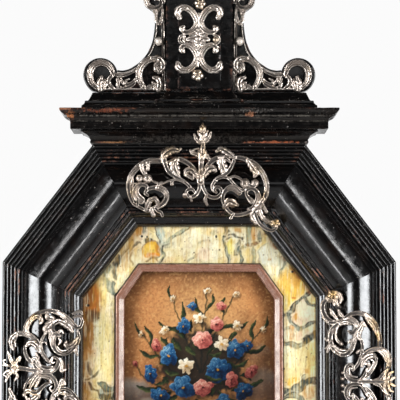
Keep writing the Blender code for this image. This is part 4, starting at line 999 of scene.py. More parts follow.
def line_field(x, y, pts):
    """Distance to a smooth line, how far along it (0 to 1), and the side (left of its run above 0)."""
    p = smooth_line(pts, 1.5)
    best, u, side = np.full(x.shape, 1e9), np.zeros(x.shape), np.zeros(x.shape)
    for k in range(len(p) - 1):
        a, b = p[k], p[k + 1]
        d = b - a
        t = np.clip(((x - a[0]) * d[0] + (y - a[1]) * d[1]) / (d @ d + 1e-9), 0, 1)
        r = np.hypot(x - a[0] - d[0] * t, y - a[1] - d[1] * t)
        near = r < best
        u = np.where(near, (k + t) / (len(p) - 1), u)
        side = np.where(near, np.sign(d[1] * (x - a[0]) - d[0] * (y - a[1])), side)
        best = np.minimum(best, r)
    return best, u, side


class Marbling:
    """Paint laid in order over picture coordinates: washes, patches, veins and dots."""

    def __init__(self, px, py, ground):
        self.p = np.stack([px, py], -1)
        wob = np.stack([fbm(self.p / 8.0, 3, 231), fbm(self.p / 8.0 + 50, 3, 232)], -1) - 0.5
        self.q = self.p + wob * 4.6
        self.col = np.broadcast_to(ground, px.shape + (3,)).copy()
        self.grit = vnoise(self.p / 1.7, 233)
        self.hatch = fbm(np.stack([px / 1.05, py / 15.0], -1), 3, 234)

    def wash(self, fac, tint):
        self.col = over(self.col, np.clip(fac, 0, 1), tint)

    def patch(self, cx, cy, rx, ry, tint, s, soft=0.5, turn=0.0, grain=0.5):
        x, y = self.q[..., 0] - cx, self.q[..., 1] - cy
        c, n = math.cos(turn), math.sin(turn)
        r = np.hypot((x * c + y * n) / rx, (-x * n + y * c) / ry)
        fac = ramp(1.0 + soft / 2 - r, 0, soft) * s * (1 - grain + grain * 1.6 * ramp(self.hatch, 0.30, 0.66))
        self.wash(fac, tint)

    def ring(self, cx, cy, rx, ry, wide, tint, s, a0=-180.0, a1=180.0):
        x, y = (self.q[..., 0] - cx) / rx, (self.q[..., 1] - cy) / ry
        r, th = np.hypot(x, y), np.degrees(np.arctan2(y, x))
        on = ramp(th, a0 - 12, a0 + 12) * ramp(a1 - th, -12, 12)
        self.wash(np.exp(-((r - 1) * min(rx, ry) / wide) ** 2) * s * on, tint)

    def vein(self, pts, wide, tint, s, edge=0, edge_s=0.8, seed=0, halo=0.35, soft=0.9):
        p = np.array(pts, float)
        lo, hi = p.min(0) - wide - 7, p.max(0) + wide + 7
        m = ((self.q >= lo) & (self.q <= hi)).all(-1)
        if not m.any():
            return
        q, at = self.q[m], self.p[m]
        r, u, side = line_field(q[:, 0], q[:, 1], pts)
        wv = wide * 1.30 * (0.60 + 0.8 * vnoise(at / 5.0, 240 + seed)) * (0.55 + 0.45 * ramp(np.minimum(u, 1 - u), 0, 0.12))
        col = self.col[m]
        if halo:
            col = over(col, np.exp(-((r - wv - 1.5) / 0.9) ** 2) * halo, srgb(254, 246, 214))
        body = ramp(wv + soft * 0.5 - r, 0, soft) * s * (0.62 + 0.55 * vnoise(at / 2.2, 280 + seed))
        col = over(col, np.clip(body, 0, 0.96), tint)
        if edge_s:
            on = 1.0 if edge == 0 else ramp(side * edge, -0.4, 0.4)
            broken = 0.45 + 0.85 * vnoise(at / 3.4, 320 + seed)
            col = over(col, np.clip(np.exp(-((r - wv) / 0.72) ** 2) * 1.25 * edge_s * on * broken, 0, 0.95), srgb(22, 28, 28))
        self.col[m] = col

    def dot(self, cx, cy, rx, ry, tint, s=1.0):
        r = np.hypot((self.p[..., 0] - cx) / rx, (self.p[..., 1] - cy) / ry)
        self.wash(ramp(1.0 - r, -0.25, 0.35) * s, tint)


def marble_paint(px, py):
    """Marbling in cream, straw and ochre with grey-green veins; px and py are picture coordinates."""
    cream, pale, white, straw, gold = (srgb(*c) for c in ((244, 226, 168), (252, 240, 194), (252, 246, 214), (238, 208, 126), (236, 186, 78)))
    ochre, orange, rust, brown, pink = (srgb(*c) for c in ((206, 144, 62), (196, 106, 28), (128, 70, 28), (70, 40, 20), (244, 212, 182)))
    mist, sage, teal, slate, ink = (srgb(*c) for c in ((186, 200, 186), (124, 142, 122), (84, 106, 98), (52, 66, 64), (20, 26, 26)))
    M = Marbling(px, py, cream)
    p, q = M.p, M.q
    cloud = fbm(q / 17.0, 4, 204)
    M.wash(ramp(cloud, 0.44, 0.60) * 0.9, pale)
    M.wash(ramp(fbm(q / 9.0 + 9, 3, 206), 0.54, 0.68) * 0.65, white)
    M.wash(ramp(cloud, 0.45, 0.33) * 0.55, straw)
    M.wash(ramp(fbm(np.stack([q[..., 0] / 5.0, q[..., 1] / 34.0], -1), 3, 203), 0.50, 0.66) * 0.6, straw)
    M.wash(ramp(fbm(q / 11.0 + 70, 3, 207), 0.58, 0.72) * 0.35, pink)
    # faint wandering veins, and a net of finer ones
    thin = np.abs(fbm(q / 15.0, 4, 211) - 0.5)
    M.wash(ramp(0.013 - thin, 0, 0.010) * 0.55 * ramp(fbm(p / 20.0, 2, 214), 0.40, 0.58), teal)
    thin = np.abs(fbm(q / 7.0 + 20, 3, 215) - 0.5)
    M.wash(ramp(0.016 - thin, 0, 0.012) * 0.40 * ramp(fbm(p / 16.0, 2, 216), 0.48, 0.62), rust)
    # top strip, from the left
    M.patch(138, 236, 9, 12, pink, 0.7, 0.6, 0.6)
    M.patch(136, 230, 4, 5, ochre, 0.8, 0.8)
    M.vein(((144, 226), (144.5, 229), (144, 232)), 1.0, slate, 0.9, 0, 0.5, 1)
    M.patch(129, 250, 5, 13, ochre, 0.5, 0.9, 0.5)
    M.patch(140, 250, 7, 9, gold, 0.45, 0.9)
    M.patch(121, 262, 7, 10, ochre, 0.55, 0.9, 0.5)
    M.vein(((141, 242), (136, 243), (131, 247), (128, 253)), 0.5, slate, 0.7, 0, 0.5, 2)
    M.vein(((129, 242), (126, 249), (120, 256), (115, 264)), 0.9, brown, 0.6, 1, 0.6, 3)
    M.vein(((132, 252), (130, 258), (131, 264)), 0.6, rust, 0.6, 0, 0.3, 4)
    M.patch(148, 239.6, 4.2, 2.6, slate, 0.9, 0.5, 0.5)
    M.patch(152, 249.5, 10.0, 8.6, srgb(240, 182, 44), 1.0, 0.22, grain=0.05)
    M.patch(150, 247.6, 5.6, 4.2, srgb(255, 214, 96), 0.85, 0.9, grain=0.2)
    M.patch(158.6, 247.5, 3.0, 5.6, srgb(198, 128, 26), 0.9, 0.8, grain=0.2)
    M.patch(152, 254.6, 6.8, 2.6, srgb(232, 130, 16), 0.9, 0.8, grain=0.2)
    M.ring(152, 249.5, 10.4, 9.0, 0.75, rust, 0.75, -180, 10)
    M.ring(152, 249.5, 10.6, 9.0, 0.9, slate, 0.8, -70, 75)
    M.patch(151, 260, 7, 2.4, gold, 0.8, 0.7)
    M.vein(((146.5, 261), (150, 258.4), (155, 258.6), (158, 262)), 0.6, rust, 0.8, 0, 0.4, 5)
    M.patch(160.5, 231, 4.0, 8.0, mist, 0.9, 0.6, -0.25)
    M.vein(((156, 225), (157, 231), (160, 237), (164, 244)), 1.5, mist, 0.85, -1, 0.9, 6)
    M.vein(((163.5, 244), (169, 239.5), (174, 234.8), (181, 231), (189, 226)), 1.5, sage, 0.85, -1, 0.75, 7)
    M.vein(((164, 244.4), (168, 244.8), (173, 243.4)), 0.9, teal, 0.6, 0, 0.4, 8)
    M.vein(((163.6, 244.6), (162, 249), (163.6, 254), (161, 259), (159.5, 264)), 0.8, sage, 0.75, 1, 0.75, 9)
    M.patch(168.5, 252.5, 3.0, 3.4, white, 0.85, 0.7)
    M.patch(178, 246, 10, 11, pale, 0.55, 1.0)
    M.vein(((187, 261.5), (192, 258), (196, 255.6), (200, 252)), 0.7, sage, 0.6, 0, 0.25, 10)
    M.vein(((199, 244), (203, 241.4), (207, 240)), 0.8, sage, 0.5, 0, 0.15, 11)
    M.patch(205, 254, 8, 6, pink, 0.65, 0.9)
    M.patch(210, 231, 6, 4, gold, 0.35, 0.9)
    M.patch(215, 231.5, 4, 2.4, sage, 0.5, 0.8)
    # the dark veined passage right of the middle
    M.vein(((225.6, 225), (225.2, 230), (224.8, 235)), 1.3, slate, 0.95, 1, 0.9, 12)
    M.vein(((229.2, 229.5), (227.8, 233.5), (228, 238)), 0.8, ink, 0.95, 0, 0.5, 13)
    M.vein(((225, 237), (225.8, 244), (227.4, 251), (229, 257), (230.4, 264)), 1.7, teal, 0.85, -1, 0.9, 14)
    M.vein(((228, 239), (232, 236.6), (236, 237.2), (240, 239.4), (243.4, 240)), 0.65, ink, 0.95, 0, 0.3, 15, 0.8)
    M.vein(((229, 234.4), (233.6, 234.0), (238, 236.4), (242, 238)), 0.45, slate, 0.9, 0, 0.5, 16, 0.9)
    M.dot(243, 237.8, 1.2, 1.9, ink, 0.95)
    M.patch(231.8, 246.5, 3.4, 8.4, srgb(238, 224, 124), 0.95, 0.4, 0.08, 0.15)
    M.patch(234.6, 241.6, 2.4, 3.0, srgb(216, 182, 62), 0.8, 0.7)
    M.vein(((238.4, 241), (238.8, 247), (237, 252), (235, 255)), 1.5, slate, 0.75, 1, 0.7, 17)
    M.vein(((239.6, 247), (240.4, 253), (241.6, 258), (241, 264)), 1.1, teal, 0.9, 1, 0.8, 18)
    M.vein(((243, 248), (246, 244), (248.4, 240)), 0.7, sage, 0.6, 0, 0.3, 19)
    M.vein(((248.6, 225), (249, 231), (249.4, 237), (248.4, 242)), 1.9, sage, 0.9, 0, 0.45, 20)
    M.patch(238, 229.6, 4.4, 2.6, ochre, 0.6, 0.8)
    M.patch(254.6, 234, 3.4, 8.0, ochre, 0.75, 0.5)
    M.vein(((247, 242.4), (251, 243.2), (256, 242.6), (260, 241)), 1.1, rust, 0.85, 0, 0.25, 21)
    M.vein(((260.6, 231.5), (260.2, 235.5), (261.2, 239)), 1.3, teal, 0.8, 0, 0.5, 22)
    M.vein(((255, 246), (254.4, 252), (255, 258), (254, 264)), 1.2, sage, 0.7, 0, 0.25, 23)
    M.vein(((259.8, 252), (259.4, 258), (259.6, 264)), 0.5, rust, 0.7, 0, 0.2, 24)
    M.patch(269, 255, 10, 11, srgb(238, 242, 226), 0.85, 0.5)
    M.ring(270, 256, 11, 13, 0.6, sage, 0.55, -180, 40)
    M.patch(270.6, 259.4, 1.8, 1.6, ochre, 0.9, 0.6)
    # down the right side
    M.patch(283, 262, 3.4, 9, mist, 0.55, 0.8, 0.3)
    M.vein(((286, 256), (285, 263), (282.4, 270), (282, 279)), 0.9, sage, 0.75, 0, 0.4, 25)
    M.patch(294, 287, 15, 19, gold, 0.85, 0.4, -0.3, 0.45)
    M.patch(289, 303, 8, 10, srgb(240, 206, 96), 0.7, 0.7)
    M.patch(296, 280, 5, 8, ochre, 0.55, 0.9)
    M.patch(294, 297.6, 2.6, 1.4, orange, 0.75, 0.7)
    M.patch(303, 313, 12.5, 13.5, pink, 0.85, 0.35)
    M.patch(305, 310, 7, 8, white, 0.7, 0.8)
    M.patch(296.6, 317, 2.6, 4.2, ochre, 0.85, 0.6)
    M.vein(((279, 313), (284, 313.6), (288, 315), (291.6, 312), (296, 305.4), (302, 299.4), (308, 295.4), (312.4, 288.6)), 1.0, teal, 0.95, 0, 0.85, 26)
    M.vein(((306, 297.4), (309.4, 302.4), (313, 304.6), (318, 304.4)), 0.9, teal, 0.85, 0, 0.6, 27)
    M.vein(((290.6, 313.4), (291.4, 319.4), (295, 325.6), (299.6, 328.8), (304.4, 327.6), (309.4, 324.6), (318, 322)), 1.1, teal, 0.95, 0, 0.8, 28)
    M.patch(304, 336.5, 10.5, 6.6, pink, 0.75, 0.6)
    M.vein(((282, 331), (287, 328.4), (291, 328)), 0.6, sage, 0.7, 0, 0.3, 29)
    M.vein(((291.6, 326), (292, 333), (290.8, 340), (291.6, 347)), 1.4, ochre, 0.75, 0, 0.15, 30)
    M.vein(((281, 342), (286, 343), (291, 343.4), (298, 346.6), (304, 345.2), (308.6, 341), (311.4, 337.2), (318, 333)), 1.3, teal, 0.9, 0, 0.75, 31)
    M.vein(((307, 343.4), (310.4, 338.8), (314, 336), (319, 332.6)), 2.4, slate, 0.95, 1, 0.7, 32)
    M.patch(299, 364, 15, 17, cream, 0.55, 0.8)
    M.patch(311, 360, 5, 16, straw, 0.6, 0.8)
    M.patch(293, 381.5, 6.4, 5.4, gold, 0.85, 0.5)
    M.patch(307.6, 372, 3.2, 3.0, ochre, 0.6, 0.7)
    M.vein(((303, 388), (304, 383), (303.4, 379), (306, 376.4)), 1.3, slate, 0.85, 1, 0.6, 33)
    M.vein(((278, 394), (285, 392), (292, 391), (299, 387.6), (306, 383), (312, 381), (320, 380)), 2.7, slate, 0.95, 0, 0.75, 34)
    M.vein(((284, 400), (290, 395.6), (297, 396), (303, 400)), 1.8, teal, 0.85, 0, 0.7, 35)
    M.patch(309, 393, 7, 6, ochre, 0.6, 0.7)
    # down the left side
    M.vein(((117, 256), (114.4, 263), (113.4, 271), (114.4, 279)), 1.5, slate, 0.85, 1, 0.8, 36)
    M.vein(((110, 266), (106, 272), (105, 278), (108, 285), (111, 293)), 2.2, sage, 0.85, -1, 0.6, 37)
    M.vein(((112, 281), (111.6, 288), (112.8, 295)), 1.0, teal, 0.8, 0, 0.4, 38)
    M.patch(107.2, 275.4, 2.2, 2.8, white, 0.9, 0.6)
    M.patch(103, 292, 3.6, 16, srgb(250, 226, 150), 0.8, 0.7)
    M.patch(90.5, 300, 9.4, 18, srgb(176, 112, 44), 1.0, 0.5, 0.12, 0.3)
    M.patch(95.4, 305, 4.4, 8, orange, 0.85, 0.8)
    M.patch(89, 292, 6, 6, srgb(176, 118, 54), 0.7, 0.8)
    M.patch(94, 314.6, 4.0, 3.4, brown, 0.8, 1.0)
    M.patch(85.6, 314, 3.8, 30, rust, 0.9, 0.8)
    edge_in = px - (84.0 + 9.0 * (fbm(p / 8.0, 4, 217) - 0.25))
    low = ramp(py, 300, 322)
    M.wash((1 - ramp(edge_in, 0, 10)) * low * 0.85, ochre)
    M.wash((1 - ramp(edge_in, -2, 5)) * low * 0.85 * ramp(M.hatch, 0.36, 0.62), rust)
    M.vein(((87, 326), (88, 333), (87, 341), (89.4, 348)), 0.7, brown, 0.75, 0, 0.3, 39)
    M.vein(((92.4, 330), (93, 338), (92, 347)), 0.5, rust, 0.7, 0, 0.1, 40)
    M.vein(((86.4, 363), (88.4, 368), (91, 373), (94, 377)), 1.0, brown, 0.9, 0, 0.5, 41)
    M.vein(((85, 380), (90, 378), (95, 375), (98, 370)), 0.6, slate, 0.6, 0, 0.5, 42)
    M.vein(((88, 384), (92, 389), (97, 391), (99, 397)), 0.8, brown, 0.8, 0, 0.5, 43)
    M.patch(104.6, 346, 7.6, 34, srgb(248, 232, 164), 0.75, 0.7)
    M.patch(101.4, 378, 4, 8, pale, 0.6, 0.8)
    M.patch(108, 394, 8.6, 9.4, slate, 0.92, 0.4, 0.3, 0.4)
    M.patch(110, 398, 5, 6, ink, 0.7, 0.8)
    M.vein(((99, 383), (103, 384), (106, 388), (112, 389.4), (117, 387)), 1.7, teal, 0.85, 0, 0.7, 44)
    M.patch(101, 391, 2.4, 2.6, mist, 0.8, 0.7)
    # lower half: the same hand, another run of cells and veins
    for k, (pts, wide, tint, s, e) in enumerate((
        (((82, 424), (90, 418), (99, 419), (107, 426), (117, 428)), 1.4, teal, 0.9, 0.8), (((99, 419), (101, 410), (108, 403)), 1.0, sage, 0.8, 0.5),
        (((82, 452), (91, 449), (98, 453), (104, 462), (112, 468), (120, 470)), 1.6, slate, 0.9, 0.8), (((104, 462), (98, 470), (94, 480)), 1.2, teal, 0.85, 0.6),
        (((120, 482), (128, 490), (131, 500), (128, 512)), 1.5, teal, 0.9, 0.7), (((131, 498), (142, 496), (152, 500), (158, 510), (158, 524)), 1.2, sage, 0.85, 0.7),
        (((176, 484), (180, 494), (188, 500), (190, 512), (186, 524)), 1.7, slate, 0.9, 0.8), (((188, 500), (198, 498), (206, 492)), 0.9, teal, 0.8, 0.5),
        (((222, 524), (226, 512), (236, 505), (247, 505), (256, 499)), 1.4, teal, 0.9, 0.8), (((236, 505), (234, 496), (238, 486)), 1.0, sage, 0.8, 0.6),
        (((258, 512), (264, 500), (274, 492), (284, 490)), 1.8, slate, 0.9, 0.8), (((279, 474), (288, 470), (296, 473), (306, 468), (318, 462)), 1.4, teal, 0.9, 0.8),
        (((279, 428), (288, 432), (294, 440), (303, 442), (312, 436), (319, 436)), 1.4, teal, 0.9, 0.8), (((294, 440), (291, 449), (284, 456)), 1.0, sage, 0.8, 0.5),
        (((279, 410), (290, 412), (300, 408), (318, 410)), 0.9, sage, 0.8, 0.5),
    )):
        M.vein(pts, wide, tint, s, 0, e, 50 + k)
    for cx, cy, rx, ry, tint, s in ((92, 436, 8, 10, gold, 0.7), (108, 446, 8, 12, pink, 0.7), (90, 408, 6, 9, ochre, 0.75), (110, 484, 10, 9, gold, 0.6), (142, 510, 10, 10, gold, 0.8),
                                    (146, 511, 5, 4, orange, 0.6), (172, 506, 9, 14, pale, 0.7), (206, 510, 13, 11, pink, 0.6), (240, 516, 10, 8, gold, 0.7), (216, 494, 10, 6, white, 0.6),
                                    (270, 506, 8, 8, ochre, 0.6), (300, 456, 12, 10, pink, 0.8), (301, 424, 11, 9, gold, 0.75), (296, 484, 9, 8, white, 0.7), (310, 484, 6, 14, ochre, 0.7)):
        M.patch(cx, cy, rx, ry, tint, s, 0.7)
    # brown and orange stains down the left edge and along the upper left slant
    for cx, cy, rx, ry, tint, s in ((92, 299, 8.5, 16, srgb(186, 108, 34), 0.85), (89, 297, 5, 9, srgb(120, 70, 30), 0.5), (91, 316, 7.5, 6, srgb(78, 46, 22), 0.75),
                                    (88, 336, 5.5, 17, srgb(172, 112, 44), 0.8), (85.5, 330, 2.6, 18, srgb(96, 56, 26), 0.7), (137, 231, 5, 6, srgb(196, 134, 36), 0.75),
                                    (125, 249, 6, 8, srgb(190, 142, 62), 0.6), (130, 240, 4, 5, srgb(206, 160, 70), 0.6)):
        M.patch(cx, cy, rx, ry, tint, s, 0.7)
    # rust along the sight edge, then the brush's straight hatching, painted shade and light, and holes
    x, z = px - 199.3, 374.0 - py
    edge = inside_oct(x, z, SIGHT)
    slant = ramp(edge, 5.0, 0.5) * ramp(fbm(p / 6.0, 3, 218), 0.36, 0.60)
    M.wash(slant * (0.35 + 0.5 * ramp(px, 250, 262) * ramp(300 - py, 0, 12)), rust)
    M.wash(ramp(M.hatch, 0.55, 0.72) * 0.42, srgb(206, 164, 76))
    M.wash(ramp(M.hatch, 0.42, 0.26) * 0.42, white)
    M.wash(ramp(fbm(np.stack([px / 0.9, py / 5.0], -1), 2, 219), 0.66, 0.82) * 0.40, srgb(128, 96, 52))
    M.col = M.col * (0.90 + 0.20 * M.grit)[..., None]
    rng = np.random.default_rng(41)
    spots = np.column_stack([rng.uniform(84, 315, 260), rng.uniform(226, 522, 260), rng.uniform(0.35, 0.8, 260), rng.uniform(0.3, 0.85, 260)])
    for cx, cy, r, s in spots:
        if min(abs(cx - 199.3) - 80, 0) == 0 or abs(cy - 374) > 106:
            M.dot(cx, cy, r, r * 1.15, brown, s)
    for cx, cy, r in ((181.8, 248.3, 0.7), (178.5, 255.2, 0.6), (194, 252, 0.9), (219.8, 249.2, 1.0), (99, 333, 0.7), (100.4, 353, 0.6), (98, 318, 0.8), (307.5, 357.2, 0.9)):
        M.dot(cx, cy, r, r, brown, 0.9)
    # painted shade and light: the top and the upper left are painted darker and the right side below the top lighter,
    # for how the lamps fall
    painted_shade_and_light = 0.27 * ramp(272 - py, 0, 12) + 0.05 * ramp(118 - px, 0, 14) * ramp(345 - py, 0, 30) - 0.12 * ramp(px, 276, 286) * ramp(py, 274, 290)
    M.col = M.col * (1 - painted_shade_and_light * (0.55 + 0.9 * fbm(p / 6.0, 3, 221)))[..., None]
    # painted light: the marble within about 5 mm of the rails is lightened, fading out towards the far left, to cancel
    # the rails' shadow
    painted_light_by_rails = np.exp(-(np.maximum(edge, 0) / 5.0) ** 2) * ramp(px, 96, 120)
    M.col = M.col * (1 + 0.30 * painted_light_by_rails)[..., None]
    # painted shade: a dark band about a millimetre wide along the sight edge, where the rails step up from the marble
    M.col = M.col * (0.45 + 0.55 * ramp(edge + 1.2 * (fbm(p / 7.0, 3, 212) - 0.5), -0.2, 0.9))[..., None]
    inner = -inside_oct(x, z, SLIP_OUT)
    # dark joint beside the slip, widened with painted shadow from the raised slip, widest on the left
    wide = 0.75 + 0.6 * ramp(122 - px, 0, 5) * ramp(py, 276, 292)
    gap = ramp(inner + 0.5 * (fbm(p / 5.0, 3, 223) - 0.5), wide, wide + 0.75)
    M.col = M.col * gap[..., None] + np.array([0.022, 0.006, 0.004]) * (1 - gap)[..., None]
    # worm holes, each dark, with a painted highlight on its left rim
    for hx, hy, rx, ry in ((141.2, 235.5, 1.4, 1.4), (146.4, 236, 1.1, 1.1), (216.4, 235.7, 1.2, 1.7), (87.3, 305.2, 1.5, 1.5), (293.5, 271.2, 1.5, 1.4), (284.4, 369, 1.2, 1.3),
                           (231, 512, 1.4, 1.3), (101, 439, 1.2, 1.3), (297, 447, 1.3, 1.2), (170, 499, 1.2, 1.2), (124, 486, 1.2, 1.2)):
        M.dot(hx - rx, hy, rx * 0.9, ry * 0.9, white, 0.7)
        M.dot(hx, hy, rx, ry, np.array([0.010, 0.007, 0.006]))
    return np.clip(M.col, 0, 1) * MARBLE_GAIN


def px_of(x, z):
    """Picture coordinates of a point on the panel, as the camera sees it."""
    return x + 199.3, 374.0 - (z - Z_MID)


def panel_grid(name, corners_out, hole, h_front, h_back, step, paint, mat, replaces):
    """A flat board with a fine grid on its face, so that its paint can be laid point by point."""
    (sx, sz), (tx, tz) = corners_out
    nx, nz = int(2 * sx / step) + 1, int(2 * tz / step) + 1
    gx, gz = np.linspace(-sx, sx, nx), np.linspace(-tz, tz, nz)
    X, Z = np.meshgrid(gx, gz)
    body = inside_oct(X, Z, corners_out)
    if hole is not None:
        body = np.minimum(body, -inside_oct(X, Z, hole))
    return grid_piece(name, gx, gz + Z_MID, -body, lambda x, z, rel: np.full(x.shape, h_front), lambda x, z: np.full(x.shape, h_back),
                      np.zeros(X.shape), mat, replaces,
                      lambda x, z: {"paint": paint(*px_of(x, z)), "cavity": np.zeros(x.shape)}, plain_back=True)


def fill_loops(points, edges):
    """Triangles that fill flat closed loops of edges, holes left open."""
    bm = bmesh.new()
    vs = [bm.verts.new(p) for p in points]
    es = [bm.edges.new((vs[a], vs[b])) for a, b in edges]
    bm.verts.index_update()
    bmesh.ops.triangle_fill(bm, use_beauty=False, use_dissolve=False, edges=es, normal=(0.0, 1.0, 0.0))
    bm.normal_update()
    tris = [[v.index for v in (f.verts if f.normal.y > 0 else reversed(f.verts))] for f in bm.faces]
    bm.free()
    return tris


def grid_piece(name, gx, gz, sdf, front, back, rel, mat, replaces, extra, angle=60.0, plain_back=False):
    """Closed sheet over the cells where sdf is below 0; its rim points are drawn onto the outline."""
    step = gx[1] - gx[0]
    inside = sdf < 0
    keep = inside[:-1, :-1] | inside[1:, :-1] | inside[:-1, 1:] | inside[1:, 1:]
    # cells that touch at a corner only are joined, so that every edge has two faces
    for _ in range(3):
        diag = keep[:-1, :-1] & keep[1:, 1:] & ~keep[1:, :-1] & ~keep[:-1, 1:]
        keep[1:, :-1] |= diag
        diag = keep[1:, :-1] & keep[:-1, 1:] & ~keep[:-1, :-1] & ~keep[1:, 1:]
        keep[:-1, :-1] |= diag
    used = np.zeros(sdf.shape, bool)
    used[:-1, :-1] |= keep
    used[1:, :-1] |= keep
    used[:-1, 1:] |= keep
    used[1:, 1:] |= keep
    X, Z = np.meshgrid(gx, gz)
    flat = np.clip(sdf, -3 * step, 3 * step)
    dz, dx = np.gradient(flat, gz, gx)
    g = np.hypot(dx, dz) + 1e-6
    move = np.where(used & ~inside, np.clip(flat, 0, 1.2 * step), 0.0)
    X = X - move * dx / g
    Z = Z - move * dz / g
    idx = -np.ones(sdf.shape, np.int64)
    idx[used] = np.arange(used.sum())
    x, z, r = X[used], Z[used], np.where(inside, rel, 0.0)[used]
    hf, hb = front(x, z, r), back(x, z)
    n = len(x)
    ii, jj = np.nonzero(keep)
    a, b, c, d = idx[ii, jj], idx[ii, jj + 1], idx[ii + 1, jj + 1], idx[ii + 1, jj]
    pad = np.pad(keep, 1)
    below, above = ~pad[:-2, 1:-1][ii, jj], ~pad[2:, 1:-1][ii, jj]
    leftn, rightn = ~pad[1:-1, :-2][ii, jj], ~pad[1:-1, 2:][ii, jj]
    rim = np.concatenate([np.stack([u[mask], v[mask]], -1) for mask, u, v in ((below, a, b), (rightn, b, c), (above, c, d), (leftn, d, a))])
    more = extra(x, z)
    faces = [np.stack([a, b, c, d], -1)]
    tris = []
    if plain_back:
        ends = np.unique(rim)
        at = -np.ones(n, np.int64)
        at[ends] = n + np.arange(len(ends))
        co = np.concatenate([world(x, z, hf), world(x[ends], z[ends], hb[ends])])
        tris = [[n + k for k in t] for t in fill_loops(co[n:], (at[rim] - n).tolist())]
        attrs = {k: np.concatenate([v, v[ends]]) for k, v in more.items()}
    else:
        at = np.arange(n) + n
        co = np.concatenate([world(x, z, hf), world(x, z, hb)])
        faces.append(np.stack([d, c, b, a], -1) + n)
        attrs = {k: np.concatenate([v, v]) for k, v in more.items()}
    faces.append(np.stack([rim[:, 1], rim[:, 0], at[rim[:, 0]], at[rim[:, 1]]], -1))
    return build(name, co, np.concatenate(faces), tris, mat, replaces, attrs, angle)


panel_grid("marbled_panel_painted", PANEL_OUT, tuple((x + 0.4, z + 0.4) for x, z in SLIP_OUT), MARBLE_H[1], MARBLE_H[0], 0.61,
           marble_paint, MARBLE, ["marble_panel"])


